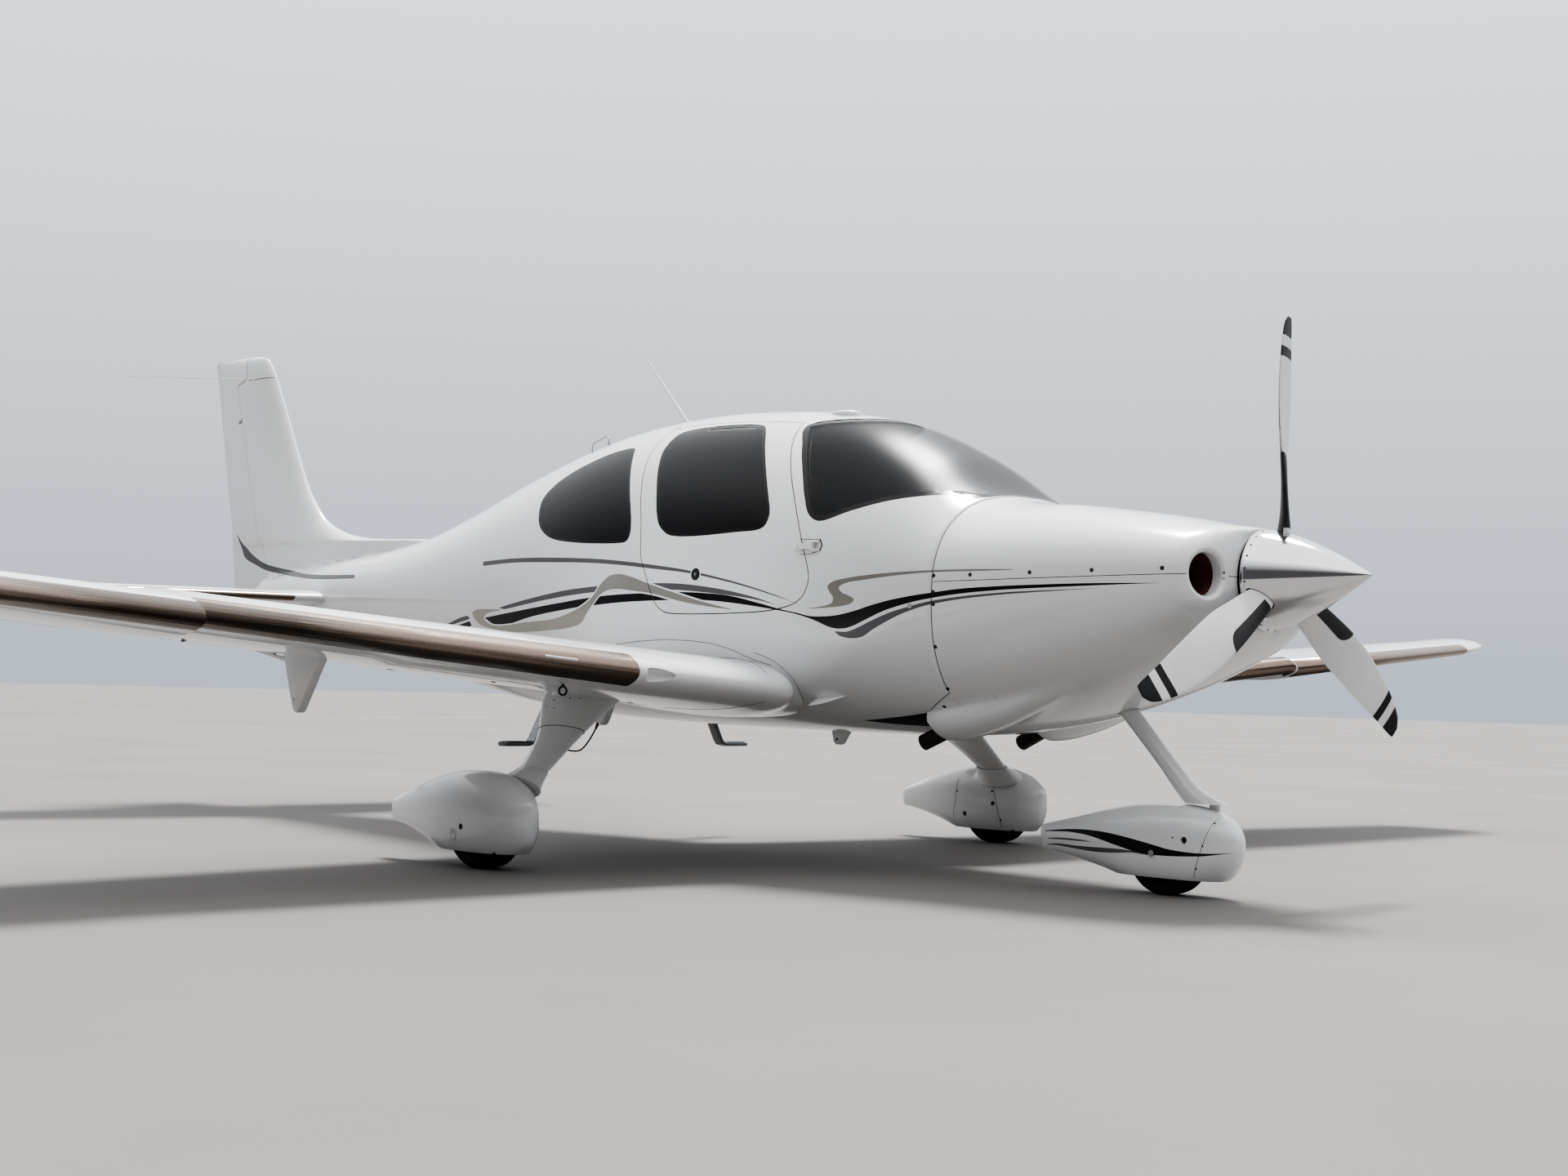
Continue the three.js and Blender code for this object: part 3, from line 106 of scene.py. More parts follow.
def signed_power(value, power):
    """A power of a value's size, with the value's sign."""
    return math.copysign(abs(value) ** power, value)


def outward(piece):
    """Turns the faces of a closed mesh outward."""
    shape = bmesh.new()
    shape.from_mesh(piece.data)
    bmesh.ops.recalc_face_normals(shape, faces=shape.faces)
    if shape.calc_volume(signed=True) < 0:
        bmesh.ops.reverse_faces(shape, faces=shape.faces)
    shape.to_mesh(piece.data)
    shape.free()
    return piece


def loft(name, rings, caps=True):
    """A body through rings of points, all with the same number of points."""
    count = len(rings[0])
    points = [p for ring in rings for p in ring]
    faces = []
    for i in range(len(rings) - 1):
        for j in range(count):
            k = (j + 1) % count
            faces.append((i * count + j, i * count + k, (i + 1) * count + k, (i + 1) * count + j))
    if caps:
        faces.append(tuple(range(count - 1, -1, -1)))
        faces.append(tuple(range((len(rings) - 1) * count, len(rings) * count)))
    return outward(mesh_object(name, points, faces))


def box(name, low, high):
    (x0, y0, z0), (x1, y1, z1) = low, high
    rings = [[(x, y0, z0), (x, y1, z0), (x, y1, z1), (x, y0, z1)] for x in (x0, x1)]
    return loft(name, rings)


def side_prism(name, outline, from_y, to_y):
    """An outline of (x, z) points swept across from one y to another."""
    return loft(name, [[(x, y, z) for x, z in outline] for y in (from_y, to_y)])


def tube(name, path, radius, sides=16):
    """A round bar through points, with one radius or one for each point."""
    path = [Vector(p) for p in path]
    radii = radius if isinstance(radius, (list, tuple)) else [radius] * len(path)
    rings = []
    side_way = None
    for i, point in enumerate(path):
        ahead = (path[min(i + 1, len(path) - 1)] - path[max(i - 1, 0)]).normalized()
        if side_way is None:
            side_way = ahead.orthogonal().normalized()
        side_way = (side_way - ahead * side_way.dot(ahead)).normalized()
        other = ahead.cross(side_way)
        rings.append([point + radii[i] * (c * side_way + s * other) for c, s in turns(sides)])
    return loft(name, rings)


def turned(name, profile, centre, axis="y", sides=64):
    """A closed ring of revolution from (along, radius) points about an axis through a centre."""
    points = []
    faces = []
    count = len(profile)
    for cosine, sine in turns(sides):
        for along, radius in profile:
            c, s = radius * cosine, radius * sine
            offset = {"x": (along, c, s), "y": (c, along, s), "z": (c, s, along)}[axis]
            points.append([centre[i] + offset[i] for i in range(3)])
    for k in range(sides):
        for j in range(count):
            a, b = k * count + j, k * count + (j + 1) % count
            c, d = (k + 1) % sides * count + (j + 1) % count, (k + 1) % sides * count + j
            faces.append((a, b, c, d))
    return outward(merged(mesh_object(name, points, faces)))


def merged(piece):
    """A piece without double points."""
    shape = bmesh.new()
    shape.from_mesh(piece.data)
    bmesh.ops.remove_doubles(shape, verts=shape.verts, dist=1e-6)
    shape.to_mesh(piece.data)
    shape.free()
    return piece


def discard(*pieces):
    for piece in pieces:
        data = piece.data
        bpy.data.objects.remove(piece)
        bpy.data.meshes.remove(data)


def applied(piece):
    """Applies all modifiers of a piece to its mesh."""
    evaluated = piece.evaluated_get(bpy.context.evaluated_depsgraph_get())
    mesh = bpy.data.meshes.new_from_object(evaluated)
    piece.modifiers.clear()
    old = piece.data
    piece.data = mesh
    bpy.data.meshes.remove(old)
    return piece


def combine(piece, tool, operation, keep=False):
    """One boolean step. The tool is removed afterwards unless it is kept."""
    step = piece.modifiers.new("step", "BOOLEAN")
    step.object = tool
    step.operation = operation
    step.solver = "MANIFOLD"
    applied(piece)
    if not keep:
        discard(tool)
    return piece


def cut(piece, *tools, keep=False):
    for tool in tools:
        combine(piece, tool, "DIFFERENCE", keep)
    return piece


def add(piece, *tools):
    for tool in tools:
        combine(piece, tool, "UNION")
    return piece


def common(piece, tool, keep=False):
    return combine(piece, tool, "INTERSECT", keep)


def copied(piece, name):
    twin = piece.copy()
    twin.data = piece.data.copy()
    twin.name = name
    bpy.context.scene.collection.objects.link(twin)
    return twin


def joined(name, *pieces):
    """One object with the meshes of several, which needn't touch."""
    shape = bmesh.new()
    for piece in pieces:
        shape.from_mesh(piece.data)
    mesh = bpy.data.meshes.new(name)
    shape.to_mesh(mesh)
    shape.free()
    discard(*pieces)
    return linked(name, mesh)


def softened(piece, width, segments=3):
    """A piece with its sharp edges rounded."""
    step = piece.modifiers.new("edges", "BEVEL")
    step.width = width * MM
    step.segments = segments
    step.limit_method = "ANGLE"
    step.angle_limit = math.radians(25)
    return applied(piece)


def framed_prism(name, at, axes, outline, half):
    """An outline of (ahead, up) points in a frame of three directions, swept across it."""
    forward, along, up = axes
    return loft(name, [[at + forward * x + along * y + up * z for x, z in outline] for y in (-half, half)])


def mirrored(piece, name):
    """A copy across the plane y = 0."""
    twin = copied(piece, name)
    twin.data.transform(Matrix.Scale(-1, 4, (0, 1, 0)))
    twin.data.flip_normals()
    return twin


def shade(piece, degrees=30):
    """Smooth faces with sharp edges above an angle."""
    piece.data.polygons.foreach_set("use_smooth", [True] * len(piece.data.polygons))
    piece.data.set_sharp_from_angle(angle=math.radians(degrees))
    return piece


class Skin:
    """A fine surface that gives its normals to the panels that are cut from it."""

    def __init__(self, piece):
        shade(piece, 60)
        mesh = piece.data
        mesh.calc_loop_triangles()
        self.points = [v.co.copy() for v in mesh.vertices]
        self.triangles = [tuple(t.vertices) for t in mesh.loop_triangles]
        self.normals = [v.normal.copy() for v in mesh.vertices]
        self.tree = BVHTree.FromPolygons(self.points, self.triangles)

    def at(self, point):
        """(distance, smooth normal) at the nearest point of the surface."""
        near, _, index, distance = self.tree.find_nearest(point)
        a, b, c = (self.points[i] for i in self.triangles[index])
        edge1, edge2, offset = b - a, c - a, near - a
        d11, d12, d22 = edge1.dot(edge1), edge1.dot(edge2), edge2.dot(edge2)
        o1, o2 = offset.dot(edge1), offset.dot(edge2)
        size = d11 * d22 - d12 * d12 or 1e-20
        v, w = (d22 * o1 - d12 * o2) / size, (d11 * o2 - d12 * o1) / size
        na, nb, nc = (self.normals[i] for i in self.triangles[index])
        return distance, (na * (1 - v - w) + nb * v + nc * w).normalized()


# A corner takes a skin's normal within this distance, in metres, and if both point alike
ON_SKIN, SAME_WAY = 4e-4, 0.55
# Faces farther than this below the skins, in metres, are the lining
LINING_DEPTH = 0.003


def smooth_like(piece, *skins, blend=0.0):
    """Gives a cut panel the normals of the fine skins it lies on. Where two skins meet, the
    normals blend over a distance in metres, as over a fillet."""
    shade(piece, 35)
    mesh = piece.data
    normals = [n.vector.copy() for n in mesh.corner_normals]
    known = {}
    for polygon in mesh.polygons:
        for loop in polygon.loop_indices:
            vertex = mesh.loops[loop].vertex_index
            if vertex not in known:
                known[vertex] = [skin.at(mesh.vertices[vertex].co) for skin in skins]
            found = [(d, n) for d, n in known[vertex] if n.dot(polygon.normal) > SAME_WAY or blend]
            if not found:
                continue
            nearest = min(found, key=lambda item: item[0])
            if nearest[0] > ON_SKIN or nearest[1].dot(polygon.normal) < SAME_WAY:
                continue
            normal = nearest[1].copy()
            if blend:
                for distance, other in known[vertex]:
                    if distance < blend and other is not nearest[1]:
                        share = 0.5 * (1 - distance / blend) ** 2
                        normal = normal * (1 - share) + other * share
            normals[loop] = normal.normalized()
    mesh.normals_split_custom_set(normals)
    return piece


# Materials

def new_material(name):
    material = bpy.data.materials.new(name)
    material.use_nodes = True
    nodes = material.node_tree.nodes
    shader = nodes["Principled BSDF"]
    return material, nodes, material.node_tree.links, shader


def with_values(node, **values):
    """Sets a node's inputs. An underscore in a name stands for a space."""
    for name, value in values.items():
        node.inputs[name.replace("_", " ")].default_value = value
    return node


def object_noise(nodes, links, scale, detail=4.0):
    where = nodes.new("ShaderNodeTexCoord")
    noise = with_values(nodes.new("ShaderNodeTexNoise"), Scale=scale, Detail=detail, Roughness=0.55)
    links.new(where.outputs["Object"], noise.inputs["Vector"])
    return noise.outputs["Fac"]


def ranged(nodes, links, value, low, high, from_low=0.3, from_high=0.7):
    ramp = with_values(nodes.new("ShaderNodeMapRange"), From_Min=from_low, From_Max=from_high,
                       To_Min=low, To_Max=high)
    links.new(value, ramp.inputs["Value"])
    return ramp.outputs["Result"]


def bumped(nodes, links, shader, height, strength, distance):
    bump = with_values(nodes.new("ShaderNodeBump"), Strength=strength, Distance=distance)
    links.new(height, bump.inputs["Height"])
    links.new(bump.outputs["Normal"], shader.inputs["Normal"])


def mixed_colour(nodes, links, share, first, second):
    mix = nodes.new("ShaderNodeMix")
    mix.data_type = "RGBA"
    for socket, value in (("A", first), ("B", second)):
        target = next(s for s in mix.inputs if s.name == socket and s.type == "RGBA")
        if isinstance(value, (tuple, list)):
            target.default_value = (*value[:3], 1)
        else:
            links.new(value, target)
    if isinstance(share, float):
        mix.inputs["Factor"].default_value = share
    else:
        links.new(share, mix.inputs["Factor"])
    return next(s for s in mix.outputs if s.type == "RGBA")


def surface_material(name, base, other, roughness, metallic=0.0, scale=8.0, bump=(0.0, 0.001, 60.0),
                     coat=0.0, spread=0.06, specular=0.5):
    """Colour and roughness that vary a little over the surface, with a fine bump."""
    material, nodes, links, shader = new_material(name)
    blotch = object_noise(nodes, links, scale)
    links.new(mixed_colour(nodes, links, ranged(nodes, links, blotch, 0, 1), base, other),
              shader.inputs["Base Color"])
    links.new(ranged(nodes, links, blotch, max(roughness - spread, 0.02), roughness + spread),
              shader.inputs["Roughness"])
    with_values(shader, Metallic=metallic, Specular_IOR_Level=specular)
    if coat:
        with_values(shader, Coat_Weight=coat, Coat_Roughness=0.04)
    strength, distance, grain = bump
    if strength:
        bumped(nodes, links, shader, object_noise(nodes, links, grain, 3), strength, distance)
    return material


ACRYLIC_IOR = 1.49


def glass_material(name, tint, opacity, roughness, specular):
    """Acrylic: a dark tint that lets part of the light through, with a clear gloss."""
    material, nodes, links, shader = new_material(name)
    haze = object_noise(nodes, links, 3.0)
    links.new(mixed_colour(nodes, links, ranged(nodes, links, haze, 0, 1), tint,
                           tuple(c * 1.25 for c in tint)), shader.inputs["Base Color"])
    with_values(shader, Roughness=roughness, Specular_IOR_Level=specular, IOR=ACRYLIC_IOR, Alpha=opacity)
    return material


def vector_node(nodes, links, operation, source, value=None):
    """A step of vector arithmetic on an output, with a fixed second vector where one is given."""
    node = nodes.new("ShaderNodeVectorMath")
    node.operation = operation
    links.new(source, node.inputs[0])
    if value is not None:
        node.inputs[1].default_value = value
    return node


def math_node(nodes, links, operation, *values):
    node = nodes.new("ShaderNodeMath")
    node.operation = operation
    for socket, value in zip(node.inputs, values):
        if isinstance(value, (int, float)):
            socket.default_value = value
        else:
            links.new(value, socket)
    return node.outputs["Value"]


def between(nodes, links, value, low, high):
    """1 where a value lies between two others."""
    above = math_node(nodes, links, "GREATER_THAN", value, low)
    below = math_node(nodes, links, "LESS_THAN", value, high)
    return math_node(nodes, links, "MULTIPLY", above, below)


# Black on the blades, as distances in metres from the hub
BLACK_TIP_FROM, BLACK_RING = 0.912, (0.83, 0.869)


def blade_front_material():
    """White paint with a black tip and one black ring inboard of it."""
    material, nodes, links, shader = new_material("blade_front")
    where = nodes.new("ShaderNodeTexCoord").outputs["Object"]
    from_hub = vector_node(nodes, links, "SUBTRACT", where, [c * MM for c in HUB]).outputs["Vector"]
    radius = vector_node(nodes, links, "LENGTH", from_hub).outputs["Value"]
    tip = math_node(nodes, links, "GREATER_THAN", radius, BLACK_TIP_FROM)
    ring = between(nodes, links, radius, *BLACK_RING)
    black = math_node(nodes, links, "MAXIMUM", tip, ring)
    blotch = object_noise(nodes, links, 9.0)
    white = mixed_colour(nodes, links, ranged(nodes, links, blotch, 0, 1),
                         (0.78, 0.78, 0.78), (0.72, 0.725, 0.73))
    links.new(mixed_colour(nodes, links, black, white, (0.016, 0.016, 0.017)), shader.inputs["Base Color"])
    links.new(ranged(nodes, links, blotch, 0.34, 0.44), shader.inputs["Roughness"])
    with_values(shader, Specular_IOR_Level=0.25)
    return material


def bump_of(strength, grain, distance=0.001):
    return {"bump": (strength, distance, grain)}


PAINT_FINISH = {"bump": (0.02, 0.0004, 240.0), "spread": 0.03}
STRIPE_FINISH = dict(PAINT_FINISH, specular=0.35)
# Rows: colour, second colour, roughness, metallic, size of the blotches, and what else differs
SURFACES = {
    "white_paint": ((0.80, 0.81, 0.815), (0.775, 0.785, 0.79), 0.24, 0, 1.6, dict(PAINT_FINISH, coat=0.8)),
    "black_paint": ((0.009, 0.009, 0.01), (0.013, 0.013, 0.014), 0.25, 0, 2, STRIPE_FINISH),
    "grey_paint": ((0.125, 0.12, 0.13), (0.14, 0.135, 0.145), 0.25, 0, 2, STRIPE_FINISH),
    "taupe_paint": ((0.42, 0.4, 0.36), (0.36, 0.345, 0.31), 0.22, 0.45, 3,
                    dict(PAINT_FINISH, coat=0.6, spread=0.04)),
    "black_band": ((0.006, 0.006, 0.007), (0.01, 0.01, 0.011), 0.2, 0, 9, {"specular": 0.4}),
    "blade_back": ((0.022, 0.022, 0.024), (0.045, 0.043, 0.042), 0.45, 0, 20, bump_of(0.05, 120, 0.0005)),
    "polished_metal": ((0.78, 0.78, 0.79), (0.72, 0.72, 0.73), 0.09, 1, 5, {"spread": 0.03}),
    "bare_metal": ((0.55, 0.56, 0.57), (0.45, 0.46, 0.47), 0.38, 1, 30, {}),
    "step_metal": ((0.2, 0.205, 0.21), (0.16, 0.163, 0.166), 0.3, 1, 30, {}),
    "cast_metal": ((0.16, 0.16, 0.165), (0.22, 0.21, 0.2), 0.6, 0.6, 20, bump_of(0.3, 120)),
    "dark_metal": ((0.05, 0.045, 0.042), (0.12, 0.095, 0.075), 0.55, 0.9, 14, bump_of(0.1, 90)),
    "deice_metal": ((0.27, 0.215, 0.178), (0.235, 0.188, 0.157), 0.25, 1, 60,
                    dict(bump_of(0.05, 900, 0.0004), spread=0.03)),
    "exhaust_metal": ((0.035, 0.031, 0.03), (0.10, 0.062, 0.045), 0.55, 0.7, 7,
                      dict(bump_of(0.1, 70), spread=0.12)),
    "screw_metal": ((0.03, 0.029, 0.028), (0.06, 0.058, 0.055), 0.5, 0.3, 90, {}),
    "seam_dark": ((0.035, 0.033, 0.03), (0.06, 0.056, 0.05), 0.7, 0, 60, {"specular": 0.2}),
    "aerial_brown": ((0.15, 0.11, 0.08), (0.12, 0.09, 0.066), 0.6, 0, 40, {}),
    "tyre_rubber": ((0.018, 0.018, 0.019), (0.035, 0.034, 0.033), 0.8, 0, 25, bump_of(0.25, 300, 0.0008)),
    "black_rubber": ((0.012, 0.012, 0.013), (0.03, 0.03, 0.03), 0.42, 0, 18, bump_of(0.1, 260, 0.0005)),
    "leather": ((0.50, 0.46, 0.40), (0.43, 0.39, 0.335), 0.45, 0, 12, bump_of(0.25, 420, 0.0008)),
    "carpet": ((0.065, 0.06, 0.055), (0.10, 0.092, 0.085), 0.95, 0, 60, bump_of(0.8, 500, 0.003)),
    "cabin_trim": ((0.20, 0.185, 0.165), (0.16, 0.148, 0.13), 0.8, 0, 30, bump_of(0.3, 400)),
    "fabric_grey": ((0.11, 0.105, 0.10), (0.085, 0.08, 0.076), 0.9, 0, 40, bump_of(0.6, 700)),
    "panel_plastic": ((0.03, 0.03, 0.032), (0.05, 0.05, 0.052), 0.55, 0, 30, bump_of(0.2, 380, 0.0006)),
    "screen_glass": ((0.006, 0.008, 0.011), (0.012, 0.014, 0.018), 0.08, 0, 6, {"coat": 1}),
    "engine_red": ((0.16, 0.022, 0.012), (0.05, 0.012, 0.01), 0.6, 0, 22, bump_of(0.4, 60, 0.002)),
}


def make_materials():
    made = {name: surface_material(name, base, other, roughness, metallic, scale, **more)
            for name, (base, other, roughness, metallic, scale, more) in SURFACES.items()}
    made["clear_glass"] = glass_material("clear_glass", (0.02, 0.022, 0.024), 0.36, 0.31, 0.5)
    made["tinted_glass"] = glass_material("tinted_glass", (0.005, 0.005, 0.0055), 0.94, 0.04, 0.35)
    made["blade_front"] = blade_front_material()
    return made


MATERIALS = make_materials()


# Body. Rows: x, crown z, keel z, half width, waist z, upper power, lower power
BODY_SECTIONS = [
    (-3440, 1300, 1070, 80, 1185, 2.0, 2.0),
    (-3130, 1335, 1020, 130, 1185, 2.0, 2.0),
    (-2540, 1392, 945, 215, 1185, 2.1, 2.1),
    (-1950, 1442, 860, 310, 1180, 2.1, 2.2),
    (-1460, 1510, 780, 400, 1170, 2.1, 2.3),
    (-970, 1638, 700, 490, 1160, 2.1, 2.4),
    (-480, 1796, 630, 565, 1150, 2.12, 2.5),
    (100, 1938, 590, 625, 1135, 2.2, 2.6),
    (600, 1993, 575, 655, 1125, 2.2, 2.7),
    (1050, 1990, 568, 662, 1120, 2.2, 2.7),
    (1450, 1955, 565, 660, 1120, 2.18, 2.7),
    (1800, 1880, 565, 650, 1120, 2.15, 2.7),
    (2100, 1745, 570, 635, 1120, 2.2, 2.6),
    (2411, 1545, 590, 605, 1130, 2.4, 2.5),
    (2800, 1492, 660, 565, 1150, 2.5, 2.3),
    (3150, 1445, 770, 520, 1170, 2.6, 2.2),
    (3400, 1400, 885, 465, 1185, 2.6, 2.2),
    (3460, 1392, 930, 425, 1190, 2.4, 2.2),
    (3492, 1388, 965, 350, 1193, 2.2, 2.1),
    (3515, 1385, 1003, 195, 1194, 2.0, 2.0),
]
TAIL_END_X, BULKHEAD_X, COWL_JOINT_X, COWL_NOSE_X = -3262, -1040, 2411, 3515
CABIN_WALL, TAIL_WALL, COWL_SKIN, PANE_DEPTH = 38, 16, 10, 9
HALF_STEPS = 40
DENSE_STEPS = 360


def hermite_weights(t):
    """Weights of a start point, its slope, an end point and its slope at a share of the way."""
    return 2 * t ** 3 - 3 * t ** 2 + 1, t ** 3 - 2 * t ** 2 + t, 3 * t ** 2 - 2 * t ** 3, t ** 3 - t ** 2


def hermite_row(rows, x):
    """The columns of a table of rows at any value of its first column."""
    i = max(0, min(len(rows) - 2, sum(1 for row in rows if row[0] <= x) - 1))

    def slope(k, column):
        low, high = rows[max(k - 1, 0)], rows[min(k + 1, len(rows) - 1)]
        return (high[column] - low[column]) / (high[0] - low[0])

    span = rows[i + 1][0] - rows[i][0]
    b0, b1, b2, b3 = hermite_weights((x - rows[i][0]) / span)
    return [
        b0 * rows[i][c] + b1 * span * slope(i, c) + b2 * rows[i + 1][c] + b3 * span * slope(i + 1, c)
        for c in range(1, len(rows[0]))]


def even_points(points, count):
    """Points spread evenly along a line of (y, z) points."""
    points = np.array(points)
    along = np.concatenate([[0], np.cumsum(np.hypot(*np.diff(points, axis=0).T))])
    wanted = np.linspace(0, along[-1], count)
    return [(float(np.interp(w, along, points[:, 0])), float(np.interp(w, along, points[:, 1])))
            for w in wanted]


def half_section(x, inset=0, steps=HALF_STEPS):
    """The port half of the body's section from keel to crown, as (y, z) points."""
    crown, keel, half_width, waist, upper, lower = hermite_row(BODY_SECTIONS, x)
    points = []
    for i in range(DENSE_STEPS + 1):
        angle = -math.pi / 2 + math.pi * i / DENSE_STEPS
        power = lower if angle < 0 else upper
        reach = (waist - keel if angle < 0 else crown - waist) - inset
        y = (half_width - inset) * max(math.cos(angle), 0) ** (2 / power)
        z = waist + reach * signed_power(math.sin(angle), 2 / power)
        points.append((y, z))
    return even_points(points, steps + 1)


def body_solid(name, stations, inset=0, steps=HALF_STEPS):
    rings = []
    for x in stations:
        half = half_section(x, inset, steps)
        rings.append([(x, y, z) for y, z in half] + [(x, -y, z) for y, z in half[-2:0:-1]])
    return loft(name, rings)


def span_of(start, end, step):
    return [float(x) for x in np.linspace(start, end, max(2, round((end - start) / step) + 1))]


# Outlines in side view, as (x, z) points
DOOR_OUTLINE = [
    (1750, 1105), (1647, 1072), (1470, 1056), (989, 1051), (910, 1070), (860, 1120), (801, 1239),
    (762, 1300), (735, 1450), (660, 1610), (600, 1750), (584, 1805), (584, 2100), (1380, 2100),
    (1385, 1925), (1410, 1865), (1465, 1772), (1565, 1627), (1650, 1496), (1723, 1356),
    (1785, 1224), (1788, 1170)]
DOOR_WINDOW_OUTLINE = [
    (884, 1417), (840, 1455), (765, 1606), (702, 1724), (664, 1813), (674, 1880), (730, 1899),
    (1157, 1895), (1223, 1872), (1362, 1725), (1486, 1537), (1517, 1466), (1500, 1414),
    (1338, 1396), (943, 1393)]
QUARTER_WINDOW_OUTLINE = [
    (663, 1400), (656, 1462), (576, 1615), (450, 1800), (422, 1826), (302, 1823), (118, 1778),
    (-70, 1692), (-128, 1614), (-100, 1532), (-54, 1471), (50, 1416), (242, 1386), (609, 1371),
    (645, 1377)]
WINDSCREEN_OUTLINE = [
    (1439, 1876), (1520, 1773), (1618, 1639), (1684, 1530), (1733, 1459), (1798, 1429),
    (1939, 1466), (2076, 1500), (2195, 1521), (2282, 1531), (2395, 1531), (2395, 1940), (1700, 1915)]
BAGGAGE_OUTLINE = [
    (-350, 940), (-330, 960), (-330, 1330), (-360, 1360), (-800, 1360), (-825, 1335),
    (-825, 975), (-795, 940)]
JOINT_OUTLINE = [
    (COWL_JOINT_X, 2000), (COWL_JOINT_X, 745), (2231, 656), (2318, 520), (3700, 520), (3700, 2000)]
PANEL_GAP = 4
BAGGAGE_DOOR_DEPTH = 16
DOOR_TOP_Y = 300
SILL_Y = 780


def grown(outline, distance):
    """An outline with each edge moved outward by a distance."""
    area = sum(ax * bz - bx * az for (ax, az), (bx, bz) in zip(outline, outline[1:] + outline[:1]))
    sign = 1 if area > 0 else -1
    result = []
    for i, point in enumerate(outline):
        before, after = outline[i - 1], outline[(i + 1) % len(outline)]
        n1 = Vector((point[1] - before[1], before[0] - point[0])).normalized() * sign
        n2 = Vector((after[1] - point[1], point[0] - after[0])).normalized() * sign
        scale = distance / (1 + n1.dot(n2))
        result.append((point[0] + scale * (n1.x + n2.x), point[1] + scale * (n1.y + n2.y)))
    return result


def rounded(outline, rounds=2, keep_sharp=()):
    """An outline with its corners rounded by cutting them, a few times over."""
    points = [tuple(p) for p in outline]
    sharp = set(keep_sharp)
    for _ in range(rounds):
        result = []
        for i, point in enumerate(points):
            before, after = points[i - 1], points[(i + 1) % len(points)]
            if point in sharp:
                result.append(point)
                continue
            for other in (before, after):
                result.append(tuple(p + 0.25 * (o - p) for p, o in zip(point, other)))
        points = result
    return points


def smooth_closed(outline, per_side=5):
    """A closed curve through the points of an outline, drawn with short straight pieces."""
    count = len(outline)
    points = [Vector(p).to_2d() for p in outline]
    result = []
    for i in range(count):
        p0, p1, p2, p3 = (points[(i + k - 1) % count] for k in range(4))
        step = [max((b - a).length, 1e-6) ** 0.5 for a, b in ((p0, p1), (p1, p2), (p2, p3))]
        m1 = step[1] * ((p1 - p0) / step[0] - (p2 - p0) / (step[0] + step[1]) + (p2 - p1) / step[1])
        m2 = step[1] * ((p2 - p1) / step[1] - (p3 - p1) / (step[1] + step[2]) + (p3 - p2) / step[2])
        for k in range(per_side):
            h = hermite_weights(k / per_side)
            point = h[0] * p1 + h[1] * m1 + h[2] * p2 + h[3] * m2
            result.append((point.x, point.y))
    return result


def smooth_open(line, per_side=6):
    """A curve through the points of an open line."""
    before = [2 * a - b for a, b in zip(line[0], line[1])]
    after = [2 * a - b for a, b in zip(line[-1], line[-2])]
    points = [Vector(p) for p in (before, *line, after)]
    result = []
    for p0, p1, p2, p3 in zip(points, points[1:], points[2:], points[3:]):
        for k in range(per_side):
            h = hermite_weights(k / per_side)
            result.append(tuple(h[0] * p1 + h[1] * (p2 - p0) / 2 + h[2] * p2 + h[3] * (p3 - p1) / 2))
    return result + [tuple(line[-1])]


def band(upper, lower):
    """The closed outline between two smooth lines."""
    top, bottom = smooth_open(upper), smooth_open(lower)
    ends = (tuple(upper[0]), tuple(upper[-1]))
    return top + [p for p in bottom[::-1] if p not in ends]


# Stripes in side view, the same on both sides: pairs of an upper and a lower line of (x, z) points
BLACK_STRIPES = [
    ([(-453, 1045), (-323, 1058), (-189, 1071), (125, 1102), (433, 1130), (616, 1140), (789, 1144),
      (931, 1146), (1033, 1146), (1169, 1141), (1342, 1127), (1509, 1096), (1643, 1068), (1732, 1053),
      (1793, 1041), (1854, 1038), (1944, 1043), (2041, 1061), (2117, 1081), (2208, 1101), (2307, 1117),
      (2404, 1129), (2543, 1144), (2712, 1152), (2851, 1156), (3100, 1160), (3387, 1160)],
     [(-453, 1045), (-361, 1010), (-268, 1007), (-29, 1048), (302, 1084), (449, 1094), (683, 1107),
      (981, 1112), (1171, 1110), (1320, 1100), (1474, 1084), (1643, 1062), (1732, 1047), (1823, 1024),
      (1903, 996), (1962, 989), (2021, 998), (2098, 1027), (2191, 1062), (2307, 1091), (2404, 1108),
      (2543, 1125), (2713, 1137), (2851, 1143), (3100, 1151), (3387, 1160)]),
    ([(-900, 975), (-700, 1014), (-600, 1030)], [(-900, 975), (-690, 998), (-590, 1006), (-600, 1030)]),
    ([(1866, 622), (2000, 634), (2120, 647), (2250, 664)],
     [(1866, 622), (2000, 612), (2120, 608), (2250, 606)]),
]
